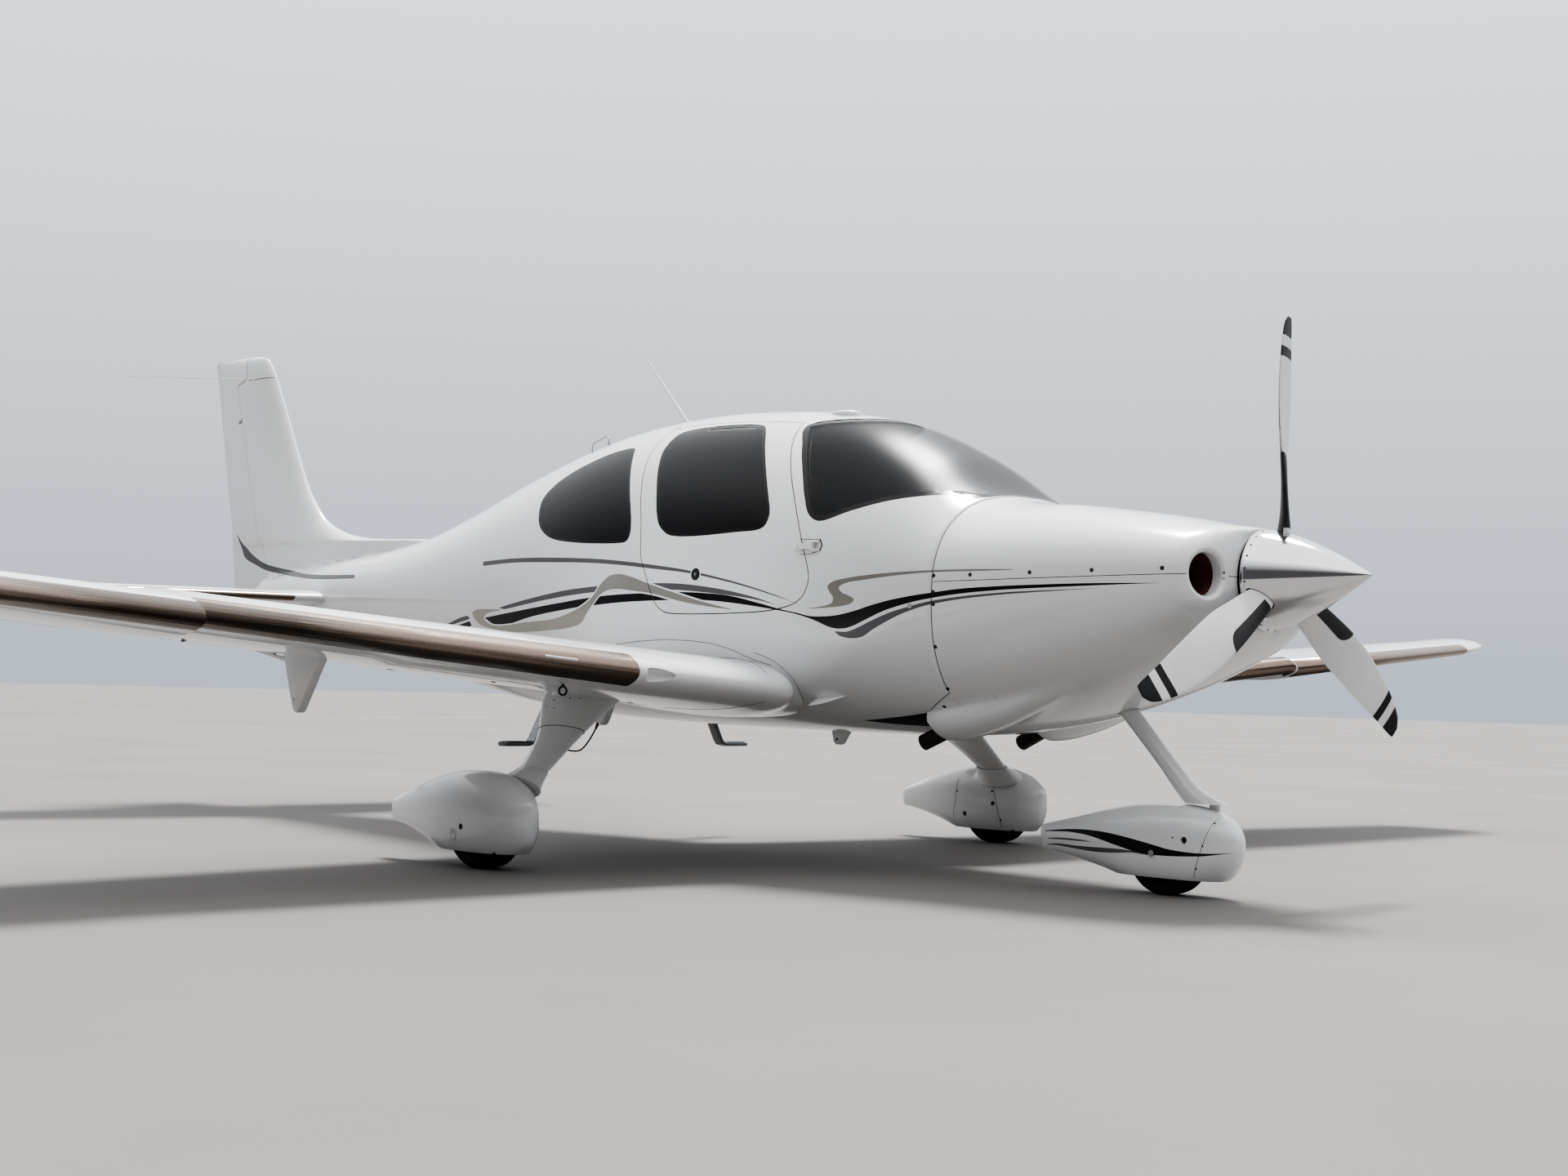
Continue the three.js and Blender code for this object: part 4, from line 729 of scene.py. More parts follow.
GREY_STRIPES = [
    ([(-347, 1087), (-190, 1112), (-31, 1134), (122, 1153), (268, 1168), (478, 1180), (678, 1187),
      (854, 1187), (1049, 1181), (1284, 1156), (1472, 1123), (1627, 1085)],
     [(-347, 1087), (-288, 1082), (-109, 1102), (47, 1120), (270, 1141), (460, 1153), (680, 1157),
      (918, 1156), (1051, 1153), (1285, 1134), (1473, 1113), (1627, 1085)]),
    ([(-503, 1318), (-221, 1325), (67, 1320), (391, 1307), (638, 1289), (870, 1265), (1079, 1239),
      (1303, 1199), (1470, 1163), (1600, 1130), (1721, 1096)],
     [(-496, 1296), (-215, 1304), (71, 1298), (395, 1287), (642, 1270), (872, 1248), (1080, 1227),
      (1304, 1190), (1471, 1156), (1600, 1125), (1721, 1096)]),
    ([(1931, 979), (1990, 977), (2039, 989), (2116, 1019), (2209, 1052), (2316, 1079), (2405, 1097),
      (2544, 1114), (2713, 1127), (2851, 1133), (3160, 1142)],
     [(1931, 979), (1959, 960), (2017, 951), (2075, 959), (2133, 989), (2236, 1035), (2317, 1063),
      (2405, 1084), (2544, 1104), (2713, 1119), (2851, 1127), (3160, 1142)]),
    ([(-3651, 1593), (-3549, 1519), (-3410, 1443), (-3218, 1386), (-2800, 1333), (-2487, 1310),
      (-1987, 1296)],
     [(-3651, 1593), (-3587, 1510), (-3534, 1441), (-3407, 1397), (-3197, 1347), (-2737, 1302),
      (-2432, 1282), (-1970, 1275)]),
    ([(-980, 985), (-722, 1042), (-620, 1057)], [(-980, 985), (-700, 1026), (-600, 1042), (-620, 1057)]),
]
RIBBONS = [
    [(-297, 1080), (-443, 1087), (-531, 1084), (-568, 1072), (-552, 1043), (-500, 1014), (-380, 990),
     (-250, 978), (-113, 975), (90, 982), (270, 995), (358, 1016), (401, 1058), (449, 1104), (495, 1141),
     (574, 1164), (731, 1155), (858, 1141), (1029, 1108), (1207, 1083), (1360, 1069), (1287, 1083),
     (1171, 1105), (991, 1146), (842, 1182), (700, 1220), (607, 1232), (542, 1219), (492, 1184),
     (460, 1150), (413, 1115), (344, 1084), (273, 1063), (155, 1037), (1, 1025), (-110, 1020),
     (-250, 1008), (-362, 1007), (-421, 1018), (-462, 1045), (-425, 1066)],
    [(2787, 1214), (2665, 1218), (2449, 1218), (2273, 1213), (2091, 1202), (1997, 1192), (1919, 1178),
     (1894, 1160), (1902, 1141), (1925, 1114), (1921, 1095), (1884, 1082), (1788, 1070), (1904, 1074),
     (1983, 1081), (2021, 1091), (2035, 1106), (2006, 1121), (1966, 1136), (1954, 1154), (1989, 1171),
     (2074, 1182), (2230, 1198), (2407, 1209), (2623, 1211)],
]
NOSE_PANT_BLACK = [
    ([(2532, 206), (2600, 214), (2670, 221), (2759, 226), (2853, 225), (2952, 217), (3048, 204),
      (3144, 188), (3191, 180), (3284, 174), (3364, 175), (3434, 181)],
     [(2532, 203), (2600, 207), (2677, 210), (2760, 207), (2835, 198), (2928, 180), (3025, 162),
      (3097, 155), (3145, 154), (3215, 156), (3284, 160), (3341, 165), (3434, 181)]),
]
NOSE_PANT_GREY = [
    ([(2545, 152), (2600, 159), (2647, 160), (2711, 159), (2805, 161), (2904, 164), (2989, 164),
      (3073, 159), (3133, 150)],
     [(2545, 149), (2600, 152), (2660, 150), (2743, 146), (2836, 144), (2929, 148), (3014, 155),
      (3085, 152), (3133, 150)]),
    ([(2548, 177), (2600, 182), (2643, 184), (2719, 185), (2782, 183), (2835, 177)],
     [(2548, 174), (2600, 176), (2636, 177), (2719, 178), (2795, 180), (2835, 177)]),
]
PAINTS = ["white_paint", "black_paint", "grey_paint", "taupe_paint"]
DOOR_HANDLE, HANDLE_CLEARING, WHITE_LINE = (1128, 1221), 32, 7


def across(outline, half_width=SILL_Y):
    """An outline in side view, swept across the whole aircraft."""
    return side_prism("prism", outline, -half_width, half_width)


def stripe_tool(name, outlines, half_width=SILL_Y):
    return joined(name, *(across(outline, half_width) for outline in outlines))


def stripe_tools(black, grey, half_width=SILL_Y):
    return [stripe_tool(name, [band(*pair) for pair in pairs], half_width)
            for name, pairs in (("black_room", black), ("grey_room", grey))]


def circle(centre, radius):
    return [(centre[0] + radius * c, centre[1] + radius * s) for c, s in turns(40)]


def make_artwork():
    """The rooms of the black, grey and taupe paint, with a white line left round each ribbon."""
    ribbons = [smooth_closed(outline, 4) for outline in RIBBONS]
    black, grey = stripe_tools(BLACK_STRIPES, GREY_STRIPES)
    for tool in (black, grey):
        cut(tool, across(grown(ribbons[0], WHITE_LINE), SILL_Y + 5))
    cut(grey, across(circle(DOOR_HANDLE, HANDLE_CLEARING), SILL_Y + 5))
    return [black, grey, stripe_tool("taupe_room", ribbons)]


def inlaid(panel, tools):
    """A panel in several paints: what lies in each tool's room takes the next material."""
    parts = []
    for index, tool in enumerate(tools, 1):
        part = common(copied(panel, "inlay"), tool, keep=True)
        if not part.data.polygons:
            discard(part)
            continue
        part.data.polygons.foreach_set("material_index", [index] * len(part.data.polygons))
        cut(panel, tool, keep=True)
        parts.append(part)
    return joined(panel.name, panel, *parts) if parts else panel


# Wing. Rows from the centre out: y, leading edge x, trailing edge x, leading edge z, thickness
DIHEDRAL, WING_ROOT_Y, ROOT_NOSE_Z, WASH_IN = 0.0787, 660, 730, 0.022
CUFF_Y, CUFF_FORWARD, CUFF_DROOP, HALF_SPAN = 3300, 38, 14, 5840
CAMBER, TIP_FROM = 0.02, 5450


def leading_x(y):
    return 1771 - 0.043 * y


def trailing_x(y):
    return 181 + 0.106 * y


def nose_z(y):
    return ROOT_NOSE_Z + DIHEDRAL * max(y - WING_ROOT_Y, 0)


WING_SECTIONS = [
    (0, leading_x(WING_ROOT_Y), trailing_x(WING_ROOT_Y), ROOT_NOSE_Z, 0.150),
    (560, leading_x(560) - 92, trailing_x(560) - 60, ROOT_NOSE_Z, 0.175),
    (680, leading_x(680) + 6, trailing_x(680) - 12, nose_z(680), 0.158),
    (800, leading_x(800) + 22, trailing_x(800), nose_z(800), 0.150),
    (1500, leading_x(1500) + 10, trailing_x(1500), nose_z(1500), 0.147),
    (CUFF_Y - 1, leading_x(CUFF_Y), trailing_x(CUFF_Y), nose_z(CUFF_Y), 0.138),
    (CUFF_Y + 1, leading_x(CUFF_Y) + CUFF_FORWARD, trailing_x(CUFF_Y), nose_z(CUFF_Y) - CUFF_DROOP, 0.134),
    (5450, leading_x(5450) + CUFF_FORWARD - 8, trailing_x(5450), nose_z(5450) - CUFF_DROOP, 0.120),
    (5660, leading_x(5660) - 10, trailing_x(5660) + 4, nose_z(5660) - 8, 0.116),
    (5770, leading_x(5770) - 70, trailing_x(5770) + 14, nose_z(5770), 0.100),
    (HALF_SPAN - 12, leading_x(HALF_SPAN) - 130, trailing_x(HALF_SPAN) + 60, nose_z(HALF_SPAN) + 4, 0.070),
    (HALF_SPAN, leading_x(HALF_SPAN) - 170, trailing_x(HALF_SPAN) + 110, nose_z(HALF_SPAN) + 6, 0.040),
]
WING_BREAKS = [0, 300, 460, 500, 530, 560, 590, 620, 650, 680, 710, 740, 770, 800, 1150, 1500, 2400,
               CUFF_Y - 1, CUFF_Y + 1, 4400, TIP_FROM]
FOIL_STATIONS = 30


def foil_half(u):
    return 5 * (0.2969 * math.sqrt(u) - 0.126 * u - 0.3516 * u ** 2 + 0.2843 * u ** 3 - 0.1015 * u ** 4)


def foil_loop(at, stations):
    """Points over one side of a foil from the tail, then back along the other from one nose point."""
    shares = [(1 - math.cos(math.pi * k / stations)) / 2 for k in range(stations + 1)]
    return [at(u, 1) for u in shares[:0:-1]] + [at(0, 0)] + [at(u, -1) for u in shares[1:]]


def foil_ring(y, nose, tail, z, thickness, camber, drop, stations=FOIL_STATIONS):
    """An aerofoil in the vertical plane at y."""
    chord = nose - tail

    def at(u, sign):
        half = max(foil_half(u) * thickness * chord, 2.5)
        return (nose - u * chord, y, z - drop * chord * u + camber * chord * 4 * u * (1 - u) + sign * half)

    return foil_loop(at, stations)


def both_sides(name, half):
    """A loft through rings on the port side, from the middle out, and their mirror images."""
    return loft(name, [[(x, -y, z) for x, y, z in ring] for ring in half[:0:-1]] + half)


def row_between(rows, value):
    """Straight interpolation in a table of rows by its first column."""
    i = next((k for k in range(1, len(rows)) if rows[k][0] >= value), len(rows) - 1)
    low, high = rows[i - 1], rows[i]
    t = (value - low[0]) / (high[0] - low[0])
    return [a + t * (b - a) for a, b in zip(low[1:], high[1:])]


def wing_row(y):
    """Straight between the rows, and curved at the root and towards the tip."""
    if 300 < y < 800:
        return hermite_row(WING_SECTIONS[:4], y)
    if y < TIP_FROM:
        return row_between(WING_SECTIONS, y)
    return hermite_row(WING_SECTIONS[7:], y)


def wing_solid(name):
    tip = [TIP_FROM + (HALF_SPAN - TIP_FROM) * share for share in eased(16, 1)]
    return both_sides(name, [foil_ring(y, *wing_row(y), CAMBER, WASH_IN) for y in WING_BREAKS + tip])


def wing_underside(x, y):
    nose, tail, z, thickness = wing_row(abs(y))
    chord = nose - tail
    u = (nose - x) / chord
    return z - WASH_IN * chord * u + CAMBER * chord * 4 * u * (1 - u) - foil_half(u) * thickness * chord


def behind_hinge(name, start, end, nose_radius, end_radius, grow, depth, aft):
    """The room of a control surface: a round nose about its hinge line and all behind it."""
    a, b = Vector(start), Vector(end)
    along = (b - a).normalized()
    a, b = a - along * grow, b + along * grow
    back = (Vector((-1, 0, 0)) + along * along.x).normalized()
    up = along.cross(back)
    rings = []
    for origin, radius in ((a, nose_radius + grow), (b, end_radius + grow)):
        ring = [origin + back * aft - up * depth, origin + back * aft + up * depth, origin + up * depth]
        ring += [origin + radius * (math.cos(t) * up - math.sin(t) * back)
                 for t in (math.pi * k / 24 for k in range(25))]
        ring.append(origin - up * depth)
        rings.append(ring)
    return loft(name, rings)


def aileron_hinge(side):
    def at(y):
        chord = leading_x(y) - trailing_x(y)
        return (leading_x(y) - 0.79 * chord, side * y, nose_z(y) - WASH_IN * 0.79 * chord + 12)
    return at(3620), at(5300), 46, 34


FLAP_INNER_Y, FLAP_OUTER_Y, FLAP_CHORD_SHARE = 760, 3580, 0.745
FLAP_BRACKETS = [(930, 853.6, 616.6, 145), (2500, 966, 655, 270)]
SURFACE_GAP = 6


# The hollow in the leading edge near the root. Rows: way outboard, share of its full size
RECESS_Y = 1372
RECESS_ROWS = [(-70, 0.12), (-50, 0.42), (-20, 0.72), (10, 0.9), (40, 1), (58, 0.97), (66, 0.85), (70, 0.55)]


def flap_front_x(y):
    return leading_x(y) - FLAP_CHORD_SHARE * (leading_x(y) - trailing_x(y))


def flap_space(side, grow):
    rings = []
    for y in (FLAP_INNER_Y - grow, FLAP_OUTER_Y + grow):
        front = flap_front_x(y) + grow
        rings.append([(x, side * y, z) for x, z in ((front, 400), (front, 1300), (-300, 1300), (-300, 400))])
    return loft("flap_space", rings)


# Tail. Stabiliser rows: y, nose x, tail x, thickness share
TAIL_STATIONS = 24
STABILISER_Z = 1175
STABILISER_SECTIONS = [
    (0, -2275, -3250, 0.10),
    (250, -2300, -3246, 0.10),
    (400, -2388, -3244, 0.10),
    (1780, -2655, -3225, 0.095),
    (1910, -2690, -3220, 0.085),
    (1960, -2740, -3200, 0.05),
]
ELEVATOR_HINGE_X, ELEVATOR_INNER_Y, ELEVATOR_NOSE = -2960, 190, (36, 26)

# Fin rows: z, nose x, tail x, half thickness
FIN_SECTIONS = [
    (1040, -2700, -3640, 62),
    (1330, -1620, -3665, 74),
    (1440, -1640, -3680, 72),
    (1486, -1665, -3688, 71),
    (1500, -1740, -3690, 71),
    (1508, -2000, -3692, 71),
    (1521, -2250, -3694, 70),
    (1548, -2450, -3698, 70),
    (1582, -2575, -3703, 69),
    (1640, -2705, -3713, 67),
    (1750, -2830, -3740, 63),
    (1870, -2925, -3775, 60),
    (2200, -3110, -3850, 50),
    (2510, -3285, -3925, 40),
    (2600, -3350, -3952, 32),
    (2636, -3400, -3960, 20),
    (2650, -3480, -3945, 8),
]
RUDDER_LOW, RUDDER_HIGH, RUDDER_TOP = (-3222, 0, 1050), (-3690, 0, 2475), (-3789, 0, 2778)
RUDDER_NOSE = {"low": 66, "high": 38, "horn": 155}


def stabiliser_solid(name):
    start = STABILISER_SECTIONS[3][0]
    tip = [start + (STABILISER_SECTIONS[-1][0] - start) * share for share in eased(10, 1)]
    half = []
    for y in [0, 250, 400, 800, 1200, 1500, start] + tip:
        rows = STABILISER_SECTIONS
        nose, tail, share = row_between(rows, y) if y <= start else hermite_row(rows[3:], y)
        half.append(foil_ring(y, nose, tail, STABILISER_Z, share, 0, 0, TAIL_STATIONS))
    return both_sides(name, half)


def fin_ring(z, nose, tail, half):
    def at(u, sign):
        return (nose - u * (nose - tail), sign * max(half * foil_half(u) * 2, 3), z)

    return foil_loop(at, TAIL_STATIONS)


def fin_solid(name):
    zs = span_of(1040, 1330, 40)[:-1] + span_of(1330, 1480, 15)[:-1] + span_of(1480, 1560, 4)[:-1]
    zs += span_of(1560, 1900, 12)[:-1] + span_of(1900, 2500, 80)[:-1]
    zs += [2500 + 150 * share for share in eased(14)]
    return loft(name, [fin_ring(z, *hermite_row(FIN_SECTIONS, z)) for z in zs])


def rudder_space(name, grow):
    low, high, horn = (RUDDER_NOSE[k] for k in ("low", "high", "horn"))
    main = behind_hinge(name, RUDDER_LOW, RUDDER_HIGH, low, high, grow, 200 + grow, 600 + grow)
    return add(main, behind_hinge("horn", RUDDER_HIGH, RUDDER_TOP, horn, horn, grow, 200 + grow, 600 + grow))


# Panels of the body

ROOF_STATIONS = span_of(TAIL_END_X, COWL_JOINT_X, 24)


def banded(pane, middle):
    """A pane with the black band round its edge as a part of its own."""
    clear = common(copied(pane, "clear_part"), middle, keep=True)
    clear.data.polygons.foreach_set("material_index", [1] * len(clear.data.polygons))
    return joined(pane.name, cut(pane, middle), clear)


# Door hinges: a sleeve on the door between two knuckles on the body
KNUCKLE = {"radius": 9, "pin": 4.5, "half_sleeve": 13, "end": 7, "room": 5}


def knuckle_hinge(axis_at, z, door_arms, body_arm):
    """The sleeve with its arms, the body's knuckles with theirs, and the room round them."""
    def slab(arm, low, high):
        (x0, y0), (x1, y1) = arm
        return softened(box("arm", (min(x0, x1), min(y0, y1), low), (max(x0, x1), max(y0, y1), high)), 2)

    def span(low, high, radius):
        return softened(tube("span", [axis_at(z + low), axis_at(z + high)], radius, 32), 1, 2)

    half = KNUCKLE["half_sleeve"]
    inner = half + 0.5
    outer = inner + KNUCKLE["end"]
    moving = joined("sleeve", span(-half, half, KNUCKLE["radius"]),
                    *(slab(arm, z - half + 2, z + half - 2) for arm in door_arms))
    fixed = [span(-inner - 1, inner + 1, KNUCKLE["pin"])]
    for low, high in ((-outer, -inner), (inner, outer)):
        fixed += [span(low, high, KNUCKLE["radius"]), slab(body_arm, z + low, z + high)]
    room = span(-outer - KNUCKLE["room"], outer + KNUCKLE["room"], KNUCKLE["radius"] + KNUCKLE["room"])
    return {"moving": moving, "fixed": joined("knuckles", *fixed), "room": room}


# Entry steps: a flat bar along a path of (y, z) points, with a grip on its tread
STEP_X, STEP_PATH = -18, [(462, 730), (592, 484), (608, 462), (630, 456), (773, 456)]
STEP_HALF_WIDTH, STEP_HALF_THICKNESS = 31, 11
GRIP_SPAN, GRIP_HEIGHTS, GRIP_HALF_WIDTH = (640, 758), (452, 469), 27
TAIL_PAD = (-3050, -32, 990), (-2990, 32, 1040)


def step_bar(side):
    rings = []
    for i, (y, z) in enumerate(STEP_PATH):
        (y0, z0), (y1, z1) = STEP_PATH[max(i - 1, 0)], STEP_PATH[min(i + 1, len(STEP_PATH) - 1)]
        out = Vector((z1 - z0, y0 - y1)).normalized()
        ring = []
        for pair in turns(28):
            c, s = (signed_power(value, 0.6) for value in pair)
            s *= STEP_HALF_THICKNESS
            ring.append((STEP_X + STEP_HALF_WIDTH * c, side * (y + s * out.x), z + s * out.y))
        rings.append(ring)
    return softened(loft("bar", rings), 2)


def build_steps():
    """The two entry steps, flat bars bent outboard, and the pad under the tail."""
    bars = [step_bar(side) for side in SIDES.values()]
    finish_plain(joined("step_bars", *bars), "step_metal", "bare_metal", "airframe", angle=40)
    grips = []
    for side in SIDES.values():
        near, far = sorted(side * y for y in GRIP_SPAN)
        grips.append(softened(box("grip", (STEP_X - GRIP_HALF_WIDTH, near, GRIP_HEIGHTS[0]),
                                  (STEP_X + GRIP_HALF_WIDTH, far, GRIP_HEIGHTS[1])), 3))
    finish_plain(joined("step_grips", *grips), "black_rubber", "dark_metal", "airframe", angle=40)
    pad = softened(box("tail_pad", *TAIL_PAD), 5)
    finish_plain(pad, "white_paint", "white_paint", "airframe")


# Width of the black band round the panes, how far panes stay inside their openings, and the hinges
BAND, SCREEN_BAND, PANE_PLAY = 14, 22, 0.6
HATCH_HINGE_HEIGHTS = (1060, 1250)
HATCH_HINGE = {"axis": (-322, 600), "moving": [(-350, 572), (-328, 604)], "fixed": [(-322, 560), (-296, 604)]}
DOOR_HINGE_Z = 1325


def door_hinge(side):
    """The hinge of a cabin door, on an axis that leans in towards the top."""
    arms = [[(1722, side * 641), (1800, side * 652)], [(1700, side * 612), (1728, side * 652)]]
    return knuckle_hinge(lambda z: (1800, side * (668 - 0.1 * (z - 1080)), z), DOOR_HINGE_Z, arms,
                         [(1795, side * 620), (1825, side * 652)])


def hatch_hinge(z):
    x, y = HATCH_HINGE["axis"]
    return knuckle_hinge(lambda height: (x, y, height), z, [HATCH_HINGE["moving"]], HATCH_HINGE["fixed"])


def build_doors(name, side, shell, wall, panes, body_skin, artwork):
    """A cabin door, its window and the quarter window behind it. Gives back the body's knuckles."""
    def outboard(outline, inner_y=200):
        return side_prism("prism", outline, side * inner_y, side * SILL_Y)

    body = name + "_door"
    window, quarter = smooth_closed(DOOR_WINDOW_OUTLINE), smooth_closed(QUARTER_WINDOW_OUTLINE)
    door = common(copied(wall, "door_skin_" + name), outboard(smooth_door(), DOOR_TOP_Y))
    cut(door, outboard(window))
    door = inlaid(door, artwork)
    hinge = door_hinge(side)
    cut(door, hinge["room"], keep=True)
    cut(shell, hinge["room"])
    finish_plain(hinge["moving"], "white_paint", "white_paint", body, angle=40)
    hinge["moving"].name = "door_hinge_" + name
    cut(shell, outboard(grown(smooth_door(), PANEL_GAP), DOOR_TOP_Y - PANEL_GAP), outboard(quarter))
    finish_panel(door, "white_paint", body, [body_skin], "door_" + name, paints=PAINTS, lining="cabin_trim")
    for label, outline, owner in (("door_window", window, body), ("quarter_window", quarter, "airframe")):
        pane = common(copied(panes, f"{label}_pane_{name}"), outboard(grown(outline, -PANE_PLAY)))
        pane = banded(pane, outboard(grown(outline, -BAND)))
        finish_panel(pane, "tinted_glass", owner, [body_skin], f"{label}_{name}",
                     paints=["black_band", "tinted_glass"])
    return hinge["fixed"]


def build_hatch(shell, outer):
    """The baggage door's panel, not finished yet, and the body's knuckles."""
    outline = rounded(BAGGAGE_OUTLINE)
    cut(shell, side_prism("prism", grown(outline, PANEL_GAP), 200, SILL_Y))
    hatch = common(copied(outer, "baggage_hatch"), side_prism("prism", outline, 200, SILL_Y))
    cut(hatch, body_solid("inside", ROOF_STATIONS, BAGGAGE_DOOR_DEPTH))
    knuckles = []
    for number, z in enumerate(HATCH_HINGE_HEIGHTS, 1):
        hinge = hatch_hinge(z)
        discard(hinge["room"])
        finish_plain(hinge["moving"], "white_paint", "white_paint", "bag_door", angle=40)
        hinge["moving"].name = f"hatch_hinge_{number}"
        knuckles.append(hinge["fixed"])
    return hatch, knuckles


def build_body(artwork):
    """The shell with the fin, the rudder, the doors, the hatch and the panes."""
    outer = body_solid("outer", ROOF_STATIONS)
    body_skin = Skin(outer)
    fin = fin_solid("fin")
    fin_skin = Skin(fin)
    cabin = body_solid("cabin", span_of(BULKHEAD_X, COWL_JOINT_X + 1, 60), CABIN_WALL, 24)
    tail = body_solid("tail", span_of(-2900, BULKHEAD_X + 1, 120), TAIL_WALL, 16)
    wall = cut(copied(outer, "wall"), cabin, keep=True)
    panes = cut(body_solid("panes", ROOF_STATIONS, 0.7), body_solid("panes_in", ROOF_STATIONS, PANE_DEPTH))

    shell = cut(add(copied(outer, "fuselage_shell"), copied(fin, "fin_part")), cabin, tail)
    cut(shell, rudder_space("space", SURFACE_GAP))
    rudder = common(fin, rudder_space("space", 0))
    rudder.name = "rudder_skin"
    lugs, slots, pins = lug_hinges(RUDDER_LOW, RUDDER_HIGH, *RUDDER_LUGS)
    cut(rudder, *slots)
    finish_plain(joined("rudder_lugs", *lugs), "white_paint", "white_paint", "airframe")
    finish_plain(joined("rudder_pins", *pins), "bare_metal", "bare_metal", "tail_rudder")

    knuckles = [build_doors(name, side, shell, wall, panes, body_skin, artwork)
                for name, side in SIDES.items()]
    hatch, hatch_knuckles = build_hatch(shell, outer)
    finish_plain(joined("door_hinge_knuckles", *knuckles, *hatch_knuckles), "white_paint", "white_paint",
                 "airframe", angle=40)
    finish_panel(inlaid(hatch, artwork), "white_paint", "bag_door", [body_skin], "baggage_door",
                 paints=PAINTS, lining="cabin_trim")

    screen = smooth_closed(WINDSCREEN_OUTLINE)
    cut(shell, across(screen))
    glass = common(panes, across(grown(screen, -PANE_PLAY)))
    glass.name = "windscreen_pane"
    finish_panel(banded(glass, across(grown(screen, -SCREEN_BAND))), "clear_glass", "airframe", [body_skin],
                 "windscreen", paints=["black_band", "clear_glass"])
    cut(shell, across(JOINT_OUTLINE))
    shell, rudder = inlaid(shell, artwork), inlaid(rudder, artwork)
    bulkhead = body_solid("aft_bulkhead_panel", [BULKHEAD_X + 4, BULKHEAD_X + 24], CABIN_WALL - 2)
    finish_plain(bulkhead, "carpet", "carpet", "airframe", "aft_bulkhead")
    finish_panel(shell, "white_paint", "airframe", [body_skin, fin_skin], "fuselage_left", "fuselage_right",
                 blend=0.03, paints=PAINTS, lining="cabin_trim")
    finish_panel(rudder, "white_paint", "tail_rudder", [fin_skin], "rudder", paints=PAINTS)
    discard(outer, wall)
    return body_skin


def smooth_door():
    """The door's outline with its corners rounded."""
    return rounded(DOOR_OUTLINE)


def placed(piece, body, nodes):
    """Puts a piece on its body's empty and hides the CAD nodes that it stands for."""
    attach(piece, body)
    if nodes:
        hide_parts(*nodes)


def finish_panel(piece, slot, body, skins, *nodes, blend=0.0, paints=None, lining=None):
    """A panel with the normals of its skins and its materials. Faces well below the skins take the
    lining, where one is given."""
    smooth_like(piece, *skins, blend=blend)
    mesh = piece.data
    names = list(paints or [slot])
    if lining:
        for face in mesh.polygons:
            if min(skin.at(face.center)[0] for skin in skins) > LINING_DEPTH:
                face.material_index = len(names)
        names.append(lining)
    indices = [face.material_index for face in mesh.polygons]
    mesh.materials.clear()
    for name in names:
        mesh.materials.append(MATERIALS[name])
    mesh.polygons.foreach_set("material_index", indices)
    placed(piece, body, nodes)


def finish_plain(piece, material, slot, body, *nodes, angle=30):
    """A piece with its own smooth faces and one material."""
    shade(piece, angle)
    piece.data.materials.clear()
    piece.data.materials.append(MATERIALS[material])
    placed(piece, body, nodes)


def finish_groups(body, *rows):
    """Groups of plain parts on one body. Rows: name, parts, material, slot (not used), angle of sharp edges.
    """
    for name, parts, material, slot, angle in rows:
        finish_plain(joined(name, *parts), material, slot, body, angle=angle)


# Wing and tail surfaces

# Metal strips on the leading edges: spans across, and how far they reach back
WING_STRIPS, WING_STRIP_DEPTH = [(1480, CUFF_Y), (CUFF_Y + 0.5, 5380)], 66
TAIL_STRIPS, TAIL_STRIP_DEPTH = [(390, 1760)], 30


def leading_strips(name, spans, nose_at, depth):
    """The rooms of the porous metal strips on a leading edge, on both sides."""
    parts = []
    for side in SIDES.values():
        for start, end in spans:
            rings = []
            for y in span_of(start, end, 100):
                rear = nose_at(y) - depth + (CUFF_FORWARD if name == "wing" and y > CUFF_Y else 0)
                front = rear + 200
                z = nose_z(y) if name == "wing" else STABILISER_Z
                rings.append([(rear, side * y, z - 150), (front, side * y, z - 150),
                              (front, side * y, z + 150), (rear, side * y, z + 150)])
            parts.append(loft("strip", rings))
    return joined(name + "_strips", *parts)


# Hinges of the control surfaces: a lug on the fixed part runs on a pin across a slot
LUG_HALF, LUG_ROOT, LUG_BOSS, LUG_PIN, SLOT_HALF = 7, 10, 12, 5, 12
# Shares of the hinge line, reach of the lugs forward, half height of the slots
RUDDER_LUGS = (0.4, 0.85), 90, 36
AILERON_LUGS = (0.17, 0.83), 70, 25
ELEVATOR_LUGS = (0.2, 0.72), 55, 29


def lug_hinges(start, end, shares, reach, room):
    """(lugs, slots, pins) at shares of the length of a hinge line. The lugs reach forward, and room
    is half the height of the slots, which the lugs swing in."""
    start, end = Vector(start), Vector(end)
    along = (end - start).normalized()
    forward = (Vector((1, 0, 0)) - along * along.x).normalized()
    axes = (forward, along, forward.cross(along))
    arc = [(-LUG_BOSS * s, LUG_BOSS * c) for c, s in turns(32)[:17]]
    outline = [(reach, -LUG_ROOT), (reach, LUG_ROOT)] + arc
    slot = [(-17, -room), (reach, -room), (reach, room), (-17, room)]
    lugs, slots, pins = [], [], []
    for share in shares:
        at = start.lerp(end, share)
        lugs.append(framed_prism("lug", at, axes, outline, LUG_HALF))
        slots.append(framed_prism("slot", at, axes, slot, SLOT_HALF))
        pins.append(tube("pin", [at - along * (SLOT_HALF + 3), at + along * (SLOT_HALF + 3)], LUG_PIN, 24))
    return lugs, slots, pins


